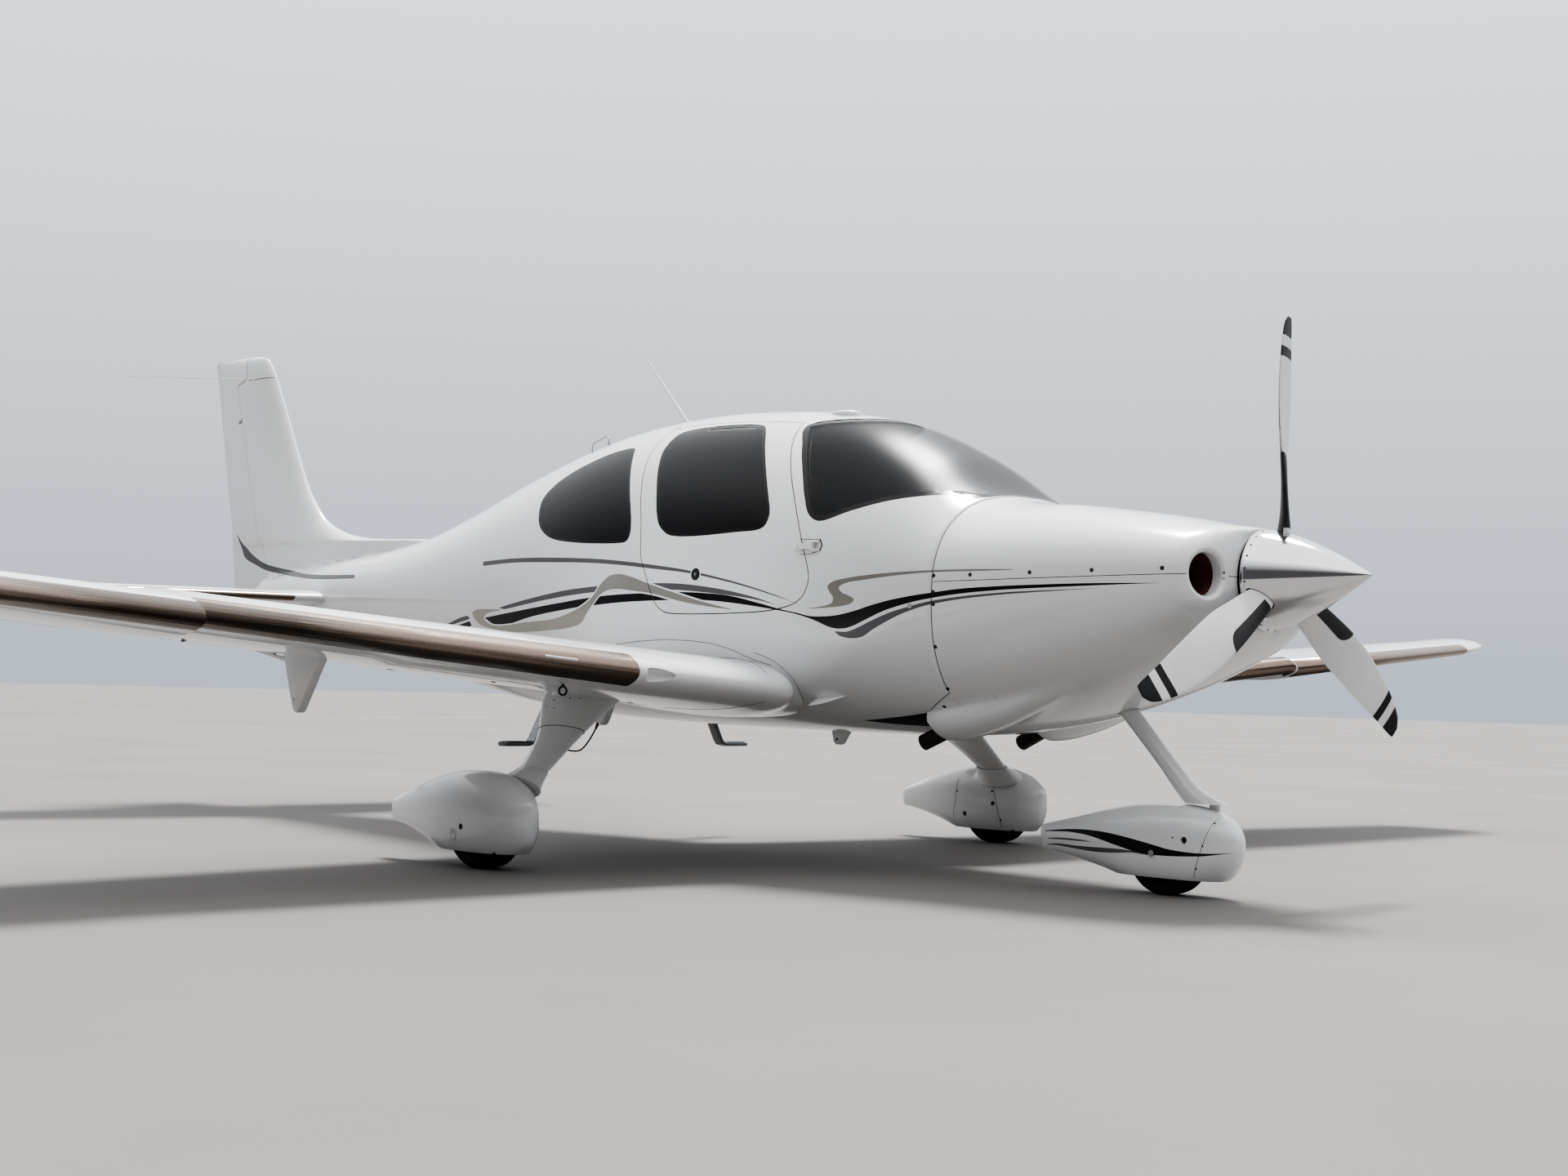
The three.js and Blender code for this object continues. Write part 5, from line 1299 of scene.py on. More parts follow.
# Under the wing: hinge brackets and arms of the flaps, and the jack pads
BRACKET_HALF, ARM_THICKNESS, ARM_GAP, FLAP_PIN = 18, 12, 12, 6
FLAP_AXIS = (0.0714, 0.9972, 0.0244)
JACK_PAD = {"x": 930, "y": 1215, "radius": 34, "drop": 9}
TIE_RING = (1535, 1705)


def flap_pivot_pin(side, y, x, z):
    axis = Vector((FLAP_AXIS[0], side * FLAP_AXIS[1], FLAP_AXIS[2]))
    middle = Vector((x, side * y, z))
    reach = BRACKET_HALF + ARM_GAP + 6
    return tube("pin", [middle - axis * reach, middle + axis * (BRACKET_HALF + 2)], FLAP_PIN, 24)


def flap_bracket(side, y, x, z, head):
    front, rear = x + 0.64 * head, x - 0.32 * head
    nose = [(front, wing_underside(front, y) + 14), (x + 46, z - 26), (x + 32, z - 46), (x + 10, z - 50),
            (x - 12, z - 34), (rear, wing_underside(rear, y) + 14)]
    outline = rounded(nose, 2, (nose[0], nose[-1]))
    ends = [side * (y + half) for half in (-BRACKET_HALF, BRACKET_HALF)]
    return softened(side_prism("bracket", outline, *ends), 9, 4)


def flap_arm(side, y, x, z):
    root, bend = flap_front_x(y) - 60, x - 62
    outer = y - BRACKET_HALF - ARM_GAP

    def below(at, drop):
        return at, wing_underside(at, y) - drop

    outline = [(x + 14, z - 4), (x, z - 16), (x - 16, z - 8), below(bend - 26, 34), below(root - 90, 3),
               below(root - 90, -8), below(root, -12), below(flap_front_x(y) - 4, 8), below(bend, 8),
               (x + 8, z + 14)]
    arm = softened(side_prism("arm", outline, side * outer, side * (outer - ARM_THICKNESS)), 2)
    return joined("arm", arm, flap_pivot_pin(side, y, x, z))


def jack_pad(side):
    radius, drop = JACK_PAD["radius"], JACK_PAD["drop"]
    profile = [(20, 0), (20, radius), (3 - drop, radius), (-drop, radius - 3), (-drop, 8), (2 - drop, 6),
               (2 - drop, 0)]
    place = (JACK_PAD["x"], side * JACK_PAD["y"], wing_underside(JACK_PAD["x"], JACK_PAD["y"]))
    return turned("pad", profile, place, "z", 48)


def root_recess(side):
    """The hollow in the leading edge between the fairing and the first strip."""
    y = RECESS_Y
    nose = Vector((wing_row(y)[0] - 4, side * y, nose_z(y) - 4))
    return loft("recess", [[nose + Vector((44 * share * c, side * w, 29 * share * s)) for c, s in turns(32)]
                           for w, share in RECESS_ROWS])


def build_wing():
    """The wing with its flaps, ailerons, brackets, arms and pads."""
    wing = wing_solid("wing_skin")
    skin = Skin(wing)
    fittings = []
    for name, side in SIDES.items():
        hinge = aileron_hinge(side)
        aileron = common(copied(wing, "aileron_skin_" + name), behind_hinge("space", *hinge, 0, 200, 500))
        cut(wing, behind_hinge("space", *hinge, SURFACE_GAP, 240, 540))
        flap = common(copied(wing, "flap_skin_" + name), flap_space(side, 0))
        cut(wing, flap_space(side, SURFACE_GAP))
        lugs, slots, pins = lug_hinges(*hinge[:2], *AILERON_LUGS)
        cut(aileron, *slots)
        finish_plain(joined("aileron_pins_" + name, *pins), "bare_metal", "bare_metal", name + "_aileron")
        arms = joined("flap_arms_" + name, *(flap_arm(side, *row[:3]) for row in FLAP_BRACKETS))
        finish_plain(arms, "white_paint", "white_paint", name + "_flap", angle=40)
        fittings += lugs + [flap_bracket(side, *row) for row in FLAP_BRACKETS] + [jack_pad(side)]
        finish_panel(aileron, "white_paint", name + "_aileron", [skin], "aileron_" + name)
        finish_panel(flap, "white_paint", name + "_flap", [skin], "flap_" + name)
    cut(wing, *(root_recess(side) for side in SIDES.values()))
    strips = leading_strips("wing", WING_STRIPS, leading_x, WING_STRIP_DEPTH)
    wing = inlaid(wing, [strips])
    discard(strips)
    finish_plain(joined("wing_fittings", *fittings), "white_paint", "white_paint", "airframe", angle=40)
    finish_panel(wing, "white_paint", "airframe", [skin], "wing", paints=["white_paint", "deice_metal"])
    return skin


def build_stabiliser():
    """The stabiliser with its lugs, and the elevator with its pins and torque tube."""
    whole = stabiliser_solid("stabiliser_skin")
    skin = Skin(whole)
    surfaces, fixed_lugs, hinge_pins = [], [], []
    for side in SIDES.values():
        hinge = [(ELEVATOR_HINGE_X, side * y, STABILISER_Z) for y in (ELEVATOR_INNER_Y, 2000)]
        lugs, slots, pins = lug_hinges(*hinge, *ELEVATOR_LUGS)
        room = behind_hinge("space", *hinge, *ELEVATOR_NOSE, 0, 120, 400)
        surfaces.append(cut(common(copied(whole, "elevator_half"), room), *slots))
        cut(whole, behind_hinge("space", *hinge, *ELEVATOR_NOSE, SURFACE_GAP, 160, 440))
        fixed_lugs += lugs
        hinge_pins += pins
    finish_plain(joined("stabiliser_lugs", *fixed_lugs), "white_paint", "white_paint", "airframe")
    finish_plain(joined("elevator_pins", *hinge_pins), "bare_metal", "bare_metal", "elevators")
    inner = ELEVATOR_INNER_Y + 28
    cut(whole, box("room", (-3400, -inner, 1000), (ELEVATOR_HINGE_X + 30, inner, 1300)))
    torque_tube = tube("torque_tube", [(ELEVATOR_HINGE_X, -inner - 10, STABILISER_Z),
                                       (ELEVATOR_HINGE_X, inner + 10, STABILISER_Z)], 16)
    elevator = joined("elevator_skin", *surfaces, torque_tube)
    finish_panel(elevator, "white_paint", "elevators", [skin], "elevator")
    strips = leading_strips("stabiliser", TAIL_STRIPS, lambda y: row_between(STABILISER_SECTIONS, y)[0],
                            TAIL_STRIP_DEPTH)
    whole = inlaid(whole, [strips])
    discard(strips)
    finish_panel(whole, "white_paint", "airframe", [skin], "stabilizer",
                 paints=["white_paint", "deice_metal"])


# Cowling. Scoop rows: x, half width, underside z, topside z
SCOOP_Y, SCOOP_WALL = 325, 9
SCOOP_ROWS = [
    (2200, 98, 572, 730), (2290, 108, 554, 740), (2400, 110, 566, 760), (2560, 96, 612, 780),
    (2740, 70, 690, 800), (2900, 44, 770, 830)]
THRUST_TILT = 0.029
EXHAUST_RADIUS, EXHAUST_WALL = 33, 3
INLET_Y, INLET_Z, INLET_RADIUS, INLET_RIM, THROAT_X = 330, 1198, 77, 97, 3455


def cowl_split_z(x):
    return 1172 + (x - COWL_JOINT_X) * 0.0205


def scoop_solid(name, side, inset):
    rings = []
    for x in span_of(SCOOP_ROWS[0][0], SCOOP_ROWS[-1][0], 30):
        half_width, low, high = hermite_row(SCOOP_ROWS, x)
        middle, half_height = (low + high) / 2, (high - low) / 2
        rings.append([(x - inset, side * SCOOP_Y + (half_width - inset) * c,
                       middle + (half_height - inset) * s) for c, s in turns(36)])
    return loft(name, rings)


# Nose leg rows: z, rear x, front x, half width
NOSE_LEG_ROWS = [(352, 3185, 3372, 40), (400, 3140, 3262, 36), (480, 3072, 3170, 32), (700, 2860, 2956, 32),
                 (915, 2640, 2740, 30)]


def nose_leg_solid(name, grow):
    rings = []
    for z in span_of(NOSE_LEG_ROWS[0][0], NOSE_LEG_ROWS[-1][0], 16):
        rear, front, half = hermite_row(NOSE_LEG_ROWS, z)
        middle, reach = (rear + front) / 2, (front - rear) / 2 + grow
        rings.append([(middle + reach * c, (half + grow) * s, z) for c, s in turns(40)])
    return loft(name, rings)


def build_cowling(artwork):
    """The two halves of the cowling with their scoops and holes."""
    stations = span_of(2190, 3400, 22)[:-1] + span_of(3400, COWL_NOSE_X, 7)
    outer = body_solid("cowl", stations)
    skin = Skin(outer)
    inner = body_solid("cowl_inside", [stations[0] - 1] + stations[1:], COWL_SKIN)
    blank = cut(outer, inner, keep=True)
    for side in SIDES.values():
        hole = [(x, side * INLET_Y, INLET_Z) for x in (3300, 3600)]
        cut(blank, tube("hole", hole, INLET_RIM, 96))
    common(blank, across(grown(JOINT_OUTLINE, -1.5)))

    def half_room(lift, far):
        ends = (COWL_JOINT_X - 400, COWL_NOSE_X + 60)
        line = [(x, cowl_split_z(x) + lift) for x in ends]
        return side_prism("room", line + [(ends[1], far), (ends[0], far)], -800, 800)

    upper = common(copied(blank, "cowl_upper_skin"), half_room(1.2, 1800))
    lower = common(blank, half_room(-1.2, 400))
    lower.name = "cowl_lower_skin"
    scoops = []
    for side in SIDES.values():
        scoop = scoop_solid("scoop", side, 0)
        scoops.append(Skin(scoop))
        add(lower, cut(scoop, inner, keep=True))
    for side in SIDES.values():
        cut(lower, scoop_solid("scoop", side, SCOOP_WALL))
    cut(lower, nose_leg_solid("leg_room", 7))
    common(lower, across(grown(JOINT_OUTLINE, -1.5)))
    discard(inner)
    upper, lower = inlaid(upper, artwork), inlaid(lower, artwork)
    finish_panel(upper, "white_paint", "airframe", [skin], "cowl_upper", paints=PAINTS)
    finish_panel(lower, "white_paint", "airframe", [skin, *scoops], "cowl_lower", blend=0.05, paints=PAINTS)
    return skin


def build_inlets(skin):
    """The rolled lips of the air inlets, with a ribbed red duct and a dark baffle behind them."""
    lips, ducts, walls = [], [], []
    for side in SIDES.values():
        def ring(radius, share):
            """A ring of the lip: share 0 lies on the skin, 1 ends the roll, 2 and more are the throat."""
            points = []
            for c, s in turns(96):
                spot = Vector((3.8, (side * INLET_Y + INLET_RIM * c) * MM, (INLET_Z + INLET_RIM * s) * MM))
                rim_x = skin.tree.ray_cast(spot, Vector((-1, 0, 0)))[0].x / MM
                roll = min(0.8 * (rim_x - THROAT_X), 24)
                x = rim_x - share * roll if share <= 1 else THROAT_X - (share - 2)
                points.append((x, side * INLET_Y + radius * c, INLET_Z + radius * s))
            return points

        rolled = [ring(INLET_RIM - (INLET_RIM - INLET_RADIUS) * math.sin(math.pi / 2 * u),
                       1 - math.cos(math.pi / 2 * u)) for u in (k / 10 for k in range(11))]
        back = [ring(INLET_RADIUS, 2), ring(INLET_RADIUS + 4, 4), ring(INLET_RIM - 3, 2)]
        lips.append(outward(merged(loft("lip", rolled + back + rolled[:1], caps=False))))
        ribs = [(-120, 86), (-2, 86), (-2, INLET_RADIUS)]
        for k in range(11):
            ribs += [(-4 - 10 * k, INLET_RADIUS - 1), (-9 - 10 * k, INLET_RADIUS + 3)]
        ribs.append((-120, INLET_RADIUS))
        ducts.append(turned("duct", ribs, (THROAT_X, side * INLET_Y, INLET_Z), "x", 72))
        walls.append(turned("wall", [(-124, 0), (-124, 84), (-114, 84), (-114, 40), (-108, 36), (-108, 0)],
                            (THROAT_X, side * INLET_Y, INLET_Z), "x", 48))
    finish_groups(
        "airframe",
        ("inlet_lips", lips, "white_paint", "white_paint", 60),
        ("inlet_ducts", ducts, "engine_red", "dark_metal", 35),
        ("inlet_baffles", walls, "black_rubber", "dark_metal", 30))


# Landing gear. Pant rows: x from the wheel's centre, half width, top z, bottom z, lower power
MAIN_WHEEL = {"x": 970, "y": 1612, "tyre": 176, "width": 150, "rim": 80}
NOSE_WHEEL = {"x": 3113, "y": 0, "tyre": 160, "width": 126, "rim": 66}
MAIN_PANT_ROWS = [
    (-620, 16, 240, 153, 0.9), (-500, 46, 284, 134, 0.85), (-350, 84, 332, 98, 0.75),
    (-190, 114, 372, 52, 0.62),
    (-50, 126, 385, 36, 0.6), (90, 122, 376, 36, 0.6), (190, 100, 344, 46, 0.7), (252, 68, 306, 84, 0.85),
    (287, 36, 280, 128, 0.95), (300, 12, 256, 188, 1)]
NOSE_PANT_ROWS = [
    (-608, 10, 229, 135, 0.9), (-460, 45, 264, 112, 0.85), (-290, 84, 307, 82, 0.72),
    (-120, 108, 339, 44, 0.6),
    (50, 116, 348, 34, 0.6), (180, 110, 338, 38, 0.66), (265, 84, 304, 74, 0.82), (312, 44, 254, 136, 0.95),
    (326, 9, 218, 186, 1)]
PANT_FLOOR_Z, UPPER_PANT_POWER = 68, 0.78
# Legs and cuffs. Rows: y, z, rear x, front x, half thickness
MAIN_LEG_ROWS = [
    (990, 770, 685, 1290, 58), (1060, 713, 685, 1185, 50), (1110, 672, 690, 1160, 44),
    (1200, 598, 782, 1145, 33), (1300, 515, 888, 1140, 27), (1400, 430, 945, 1142, 24),
    (1495, 350, 975, 1146, 20)]
CUFF_ROWS = [
    (1452, 385, 955, 1152, 26), (1474, 366, 946, 1160, 34), (1498, 345, 930, 1172, 46),
    (1522, 324, 908, 1190, 58)]
LEG_LEAN = math.atan2(420, 505)
NOSE_PANT_HOLE = (3255, 218)


def pant_solid(name, rows, wheel, inset=0):
    stations = span_of(rows[0][0], 200, 16)[:-1] + span_of(200, rows[-1][0], 5)
    rings = []
    for x in stations:
        half_width, high, low, lower_power = hermite_row(rows, x)
        ring = []
        for pair in turns(56):
            power = lower_power if pair[1] < 0 else UPPER_PANT_POWER
            c, s = (signed_power(value, power) for value in pair)
            ring.append((wheel["x"] + x, wheel["y"] + max(half_width - inset, 1) * c,
                         (low + high) / 2 + max((high - low) / 2 - inset, 1) * s))
        rings.append(ring)
    return loft(name, rings)


def leg_ring(rows, y, side, grow=0, closed=False):
    """An oval ring round a leg or a cuff, square to the leg's lean."""
    z, rear, front, half = hermite_row(rows, y)
    ring = []
    for c, s in turns(48, 1 if closed else 0):
        out = (half + grow) * s
        ring.append(((rear + front) / 2 + ((front - rear) / 2 + grow) * c,
                     side * (y + out * math.sin(LEG_LEAN)), z + out * math.cos(LEG_LEAN)))
    return ring


def leg_loft(name, rows, side, grow=0):
    low, high = rows[0][0], rows[-1][0]
    return loft(name, [leg_ring(rows, y, side, grow) for y in span_of(low, high, min(12, (high - low) / 10))])


def hollow_pant(name, rows, wheel, cuff=None):
    """A pant with a flat floor, room inside for the wheel and a mouth below it."""
    outer = pant_solid(name, rows, wheel)
    skins = [Skin(outer)]
    if cuff:
        skins.append(Skin(cuff))
        add(outer, cuff)
    room = wheel["tyre"] + 14
    x, y = wheel["x"], wheel["y"]
    inner = common(pant_solid("inside", rows, wheel, 12),
                   box("room", (x - room, y - 300, 0), (x + room + 40, y + 300, 500)))
    half = wheel["width"] / 2 + 11
    mouth = box("mouth", (x - wheel["tyre"] + 4, y - half, 0), (x + wheel["tyre"] - 4, y + half, 150))
    below = box("below", (x - 700, y - 300, -100), (x + 500, y + 300, PANT_FLOOR_Z))
    return cut(outer, inner, mouth, below), skins


def build_gear():
    """The pants and legs. Gives back the skins of the three pants."""
    pants = {}
    for name, side in SIDES.items():
        wheel = dict(MAIN_WHEEL, y=side * MAIN_WHEEL["y"])
        cuff = leg_loft("cuff", CUFF_ROWS, side)
        pant, skins = hollow_pant("main_pant_skin_" + name, MAIN_PANT_ROWS, wheel, cuff)
        cut(pant, leg_loft("leg_room", MAIN_LEG_ROWS, side, 3))
        finish_panel(pant, "white_paint", "airframe", skins, "main_pant_" + name, blend=0.03)
        pants[name] = skins[0]
        leg = leg_loft("main_leg_skin_" + name, MAIN_LEG_ROWS, side)
        finish_plain(leg, "white_paint", "white_paint", "airframe", "main_leg_" + name, angle=50)
    pant, skins = hollow_pant("nose_pant_skin", NOSE_PANT_ROWS, NOSE_WHEEL)
    tools = stripe_tools(NOSE_PANT_BLACK, NOSE_PANT_GREY, 300)
    cut(pant, tube("hole", [(NOSE_PANT_HOLE[0], y, NOSE_PANT_HOLE[1]) for y in (-300, 300)], 13, 32))
    pant = inlaid(pant, tools)
    discard(*tools)
    finish_panel(pant, "white_paint", "nose_gear", skins, "nose_pant", paints=PAINTS[:3])
    leg = nose_leg_solid("nose_leg_skin", 0)
    finish_plain(leg, "white_paint", "white_paint", "airframe", "nose_leg", angle=50)
    pants["nose"] = skins[0]
    return pants


# Propeller, about its own axis. Blade rows: radius, chord, thickness, pitch in degrees, lead of the
# chord's middle
SPINNER = {"base": -63, "tip": 369, "radius": 190, "wall": 6}
SPINNER_LENGTH = SPINNER["tip"] - SPINNER["base"]
BLADE_LEAN, BLADE_HOLE_GAP, BLADE_POINTS = 0.05, 5, 48
BLADE_ROWS = [
    (105.3, 84, 78, 46, 0), (190, 112, 46, 42, 0), (290, 132, 30, 35, 3), (430, 160, 24, 27, 6),
    (560, 168, 19, 20, 12), (700, 155, 15, 16, 12), (835, 127, 11, 14.5, 6), (920, 100, 9, 13.5, -4),
    (965, 76, 7, 13, -14), (990, 44, 4, 13, -26)]


def at_hub(piece):
    """Turns a piece drawn about the origin, ahead along x, to the thrust line of the hub."""
    piece.data.transform(Matrix.Rotation(-THRUST_TILT, 4, "Y"))
    piece.data.transform(Matrix.Translation([c * MM for c in HUB]))
    return piece


def spinner_radius(share):
    return SPINNER["radius"] * (1 - share ** 1.46)


def blade_point(angle, radius, ahead, out):
    """A point of a blade: ahead of the disc, and out along the direction of turning."""
    return (ahead, out * math.cos(angle) + radius * math.sin(angle),
            radius * math.cos(angle) - out * math.sin(angle))


def blade_section(radius, grow=0.0):
    """Points round a blade's section as (ahead, across), from the leading edge round by the front."""
    chord, thickness, pitch, lead = hermite_row(BLADE_ROWS, radius)
    pitch = math.radians(pitch)
    roundness = max(0.0, min(1.0, (300 - radius) / 150))
    points = []
    for along, out in turns(BLADE_POINTS):
        foil = signed_power(out, 0.9) * (0.62 + 0.38 * along) * 1.18
        out = roundness * out + (1 - roundness) * foil
        x, y = lead + (chord / 2 + grow) * along, (thickness / 2 + grow) * out
        points.append((x * math.sin(pitch) + y * math.cos(pitch), -x * math.cos(pitch) + y * math.sin(pitch)))
    return points


def blade_loft(name, angle, radii, grow=0.0):
    return loft(name, [[blade_point(angle, r, *point) for point in blade_section(r, grow)] for r in radii])


def build_propeller():
    """The spinner with holes for the blades, and the blades with their boots."""
    share = [k / 40 for k in range(40)]
    outer = [(SPINNER["base"] + u * SPINNER_LENGTH, spinner_radius(u)) for u in share]
    inner = [(x - 1, radius - SPINNER["wall"]) for x, radius in outer[:34]]
    profile = outer + [(SPINNER["tip"], 0.0), (SPINNER["tip"] - 40, 0.0)] + inner[::-1]
    spinner = turned("spinner_shell", profile, (0, 0, 0), "x", 128)
    angles = [BLADE_LEAN + 2 * math.pi * k / 3 for k in range(3)]
    for angle in angles:
        cut(spinner, blade_loft("hole", angle, span_of(110, 280, 10), BLADE_HOLE_GAP))
    finish_plain(at_hub(spinner), "polished_metal", "polished_metal", "propeller", "spinner", angle=40)
    radii = span_of(105.3, 300, 9)[:-1] + span_of(300, 940, 20)[:-1] + span_of(940, 990, 4)
    for number, angle in enumerate(angles, 1):
        blade = at_hub(blade_loft(f"propeller_blade_{number}", angle, radii))
        finish_plain(blade, "blade_front", "blade_paint", "propeller", f"blade_{number}", angle=60)
        blade.data.materials.append(MATERIALS["blade_back"])
        for face in blade.data.polygons:
            face.material_index = 0 if face.normal.x > 0 else 1
        build_boot(number, angle)


# Boot: inner and outer radius, length of its rounded end, share of the chord that it covers
BOOT = 186, 462, 62, 0.36


def build_boot(number, angle):
    """The black rubber boot round the leading edge at a blade's root, with a rounded end."""
    low, high, round_end, share = BOOT
    rings = []
    for r in (low + (high - low) * share_out for share_out in eased(36)):
        left = share * max(1 - max((r - high + round_end) / round_end, 0) ** 2, 0.0004) ** 0.5
        reach = math.acos(1 - 2 * left) / (2 * math.pi) * BLADE_POINTS
        ring = []
        for grow, order in ((1.6, 1), (-0.6, -1)):
            skin = blade_section(r, grow)
            for k in range(-12, 13):
                place = order * k * reach / 12
                low_k = math.floor(place)
                a, b = Vector(skin[low_k % BLADE_POINTS]), Vector(skin[(low_k + 1) % BLADE_POINTS])
                ring.append(blade_point(angle, r, *a.lerp(b, place - low_k)))
        rings.append(ring)
    boot = at_hub(loft(f"blade_boot_{number}", rings))
    finish_plain(boot, "black_rubber", "tyre_rubber", "propeller", angle=50)


# Tyres and exhausts

def build_tyre(name, body, wheel, node):
    half, outer, rim = wheel["width"] / 2, wheel["tyre"], wheel["rim"]
    side = [(-0.70 * half, rim + 1), (-0.86 * half, rim + 8), (-0.98 * half, rim + 26),
            (-half, (rim + outer) / 2), (-0.97 * half, outer - 30), (-0.88 * half, outer - 13),
            (-0.76 * half, outer - 5), (-0.66 * half, outer - 1)]
    tread = []
    for groove in (-0.45, -0.16, 0.16, 0.45):
        centre = groove * half
        tread += [(centre - 4, outer), (centre - 3, outer - 6), (centre + 3, outer - 6), (centre + 4, outer)]
    profile = side + tread + [(-a, r) for a, r in side[::-1]]
    tyre = turned(name, profile, (wheel["x"], wheel["y"], outer), "y", 120)
    finish_plain(tyre, "tyre_rubber", "tyre_rubber", body, node, angle=32)


def build_tyres():
    for name, side in SIDES.items():
        wheel = dict(MAIN_WHEEL, y=side * MAIN_WHEEL["y"])
        build_tyre("tyre_" + name, name + "_wheel", wheel, "main_tyre_" + name)
    build_tyre("tyre_nose", "nose_wheels", NOSE_WHEEL, "nose_tyre")


EXHAUST_PATH = [(2140, 317, 541), (2400, 290, 660), (2800, 250, 850), (2800, 250, 915)]


def build_exhausts():
    for name, side in SIDES.items():
        ends = [Vector((x, side * y, z)) for x, y, z in EXHAUST_PATH]
        curve = [a + (b - a) * (k / 6) for a, b in zip(ends, ends[1:]) for k in range(6)] + [ends[-1]]
        pipe = tube("exhaust_pipe_" + name, curve, EXHAUST_RADIUS, 40)
        bore = [2 * curve[0] - curve[1], *curve[:9]]
        cut(pipe, tube("bore", bore, EXHAUST_RADIUS - EXHAUST_WALL, 40))
        finish_plain(pipe, "exhaust_metal", "dark_metal", "airframe", "exhaust_" + name, angle=40)


# Small parts on the skins: fasteners, seams, aerials and the rest

def spot_on(skin, start, way):
    """The point and the normal of a skin where a line from a start, in metres, meets it."""
    hit = skin.tree.ray_cast(Vector(start), Vector(way))[0]
    return hit / MM, skin.at(hit)[1]


def from_side(skin, x, z, side):
    return spot_on(skin, (x * MM, side * 1.2, z * MM), (0, -side, 0))


def from_above(skin, x, y, way=-1):
    """From above with way -1, from below with way 1."""
    return spot_on(skin, (x * MM, y * MM, 1.5 - way * 1.5), (0, 0, way))


def stud(at, normal, radius, height, sides=20):
    """A low round head on a surface, with a rounded edge and a dimple in the middle."""
    side_way = normal.orthogonal().normalized()
    other = normal.cross(side_way)
    profile = ((radius, -1.5), (radius, 0.5 * height), (0.86 * radius, height), (0.4 * radius, height),
               (0.28 * radius, 0.3 * height))
    return loft("stud", [[at + normal * up + r * (c * side_way + s * other) for c, s in turns(sides)]
                         for r, up in profile])


def seam(points, radius=1.1):
    """A dark sealed joint line, half sunk in the skin."""
    return tube("seam", points, radius, 8)


def skin_line(skin, line, side, step=25):
    """Points on a skin along a line of (x, z) points in side view."""
    points = []
    for (x0, z0), (x1, z1) in zip(line, line[1:]):
        count = max(int(math.dist((x0, z0), (x1, z1)) / step), 1)
        points += [from_side(skin, x0 + (x1 - x0) * k / count, z0 + (z1 - z0) * k / count, side)[0]
                   for k in range(count)]
    return points + [from_side(skin, *line[-1], side)[0]]


CAMLOCKS = [(2416, 1196), (2418, 1132), (2420, 1085), (2416, 921), (2412, 760), (2345, 690)]
SPLIT_SCREWS = [2585, 2850, 3112, 3383]
HINGE_COVER = [(1716, 1356), (1826, 1352), (1842, 1327), (1834, 1304), (1776, 1292), (1728, 1293)]
DRAIN_RING = (2309, 1079)
FIN_CAP_Z = 2508
GLOVE_RIM = [(1473, 890), (1555, 865), (1617, 828), (1654, 790), (1664, 745), (1652, 700)]
GLOVE_EDGE = [(1300, 660), (1438, 678), (1560, 716), (1659, 765), (1712, 786)]
GLOVE_UNDERSIDE = [(1712, 800), (1640, 835), (1500, 850), (1300, 850), (1150, 838)]
FILLET_SEAM = [(604, 920), (760, 934), (932, 942), (1090, 938), (1231, 926), (1350, 899), (1450, 863),
               (1560, 838)]
INLET_SCREWS, INLET_SCREW_FACING = [(3500, 249, 1207), (3500, 249, 1183)], (0.58, 0.81, 0)
HINGE_SCREWS = [(1738, 1338), (1760, 1316), (1738, 1308), (1786, 1338)]
# Vane under the door: start x, length, z at its start, slope, and how far it stands out and down
VANE = {"x": 1730, "length": 182, "z": 712 + 0.09 * (1730 - 1795), "slope": 0.09, "out": 46, "down": 33}
# Domes on the roof: x, y, radius, height
DOMES = [(1464, -100, 62, 16), (745, 100, 52, 14)]
NAV_ROD = [(-3450, 30), (-3995, 583)]
WHIP_FOOT, WHIP_BEND, WHIP_TIP, WHIP_RADII = (405, -50), (-120, 0, 118), (90, -50, 2310), [11, 8, 3.5]
RAIL_ENDS, RAIL_HEIGHT = ((-120, -200), (0, -200)), 44
BELLY_BLADE = [(1330, 580), (1455, 580), (1410, 514), (1395, 505), (1362, 505), (1347, 516)]
BELLY_ROD = [(-262, 530), (-309, 470), (-356, 426), (-395, 408), (-441, 405), (-485, 409)]
BELLY_ROD_BASE = [(-222, 0, 612), (-234, 0, 582), (-268, 0, 522)]


def vane(body, side):
    rows = []
    for k in range(9):
        share, spread = k / 8, 1.04 - (k / 8) ** 2
        along = VANE["length"] * share
        skin_point = from_side(body, VANE["x"] + along, VANE["z"] + VANE["slope"] * along, side)[0]
        root = skin_point - Vector((0, side * 8, -5))
        edge = root + Vector((-8 * spread, side * VANE["out"] * spread, -VANE["down"] * spread))
        up = Vector((0, 0, 2))
        rows.append([root + up, edge + up, edge - up, root - up])
    return softened(loft("vane", rows), 1.5)


def dome(body, x, y, radius, height):
    """An oval housing on the roof."""
    at, _ = from_above(body, x, y)
    curve = [(math.cos(t), height * math.sin(t)) for t in (math.pi / 2 * k / 8 for k in range(8))]
    return loft("dome", [[at + Vector((1.25 * radius * share * c, radius * share * s, up))
                          for c, s in turns(48)] for share, up in [(1, -22), *curve, (0.02, height)]])


def door_latch(body, name, side):
    at, normal = from_side(body, *DOOR_HANDLE, side)
    for label, radius, height, sides, material, slot in (
            ("plate", 26, 2.5, 48, "black_rubber", "dark_metal"),
            ("key", 7, 5, 24, "bare_metal", "bare_metal")):
        part = stud(at, normal, radius, height, sides)
        finish_plain(part, material, slot, name + "_door", angle=40)
        part.name = f"door_latch_{label}_{name}"


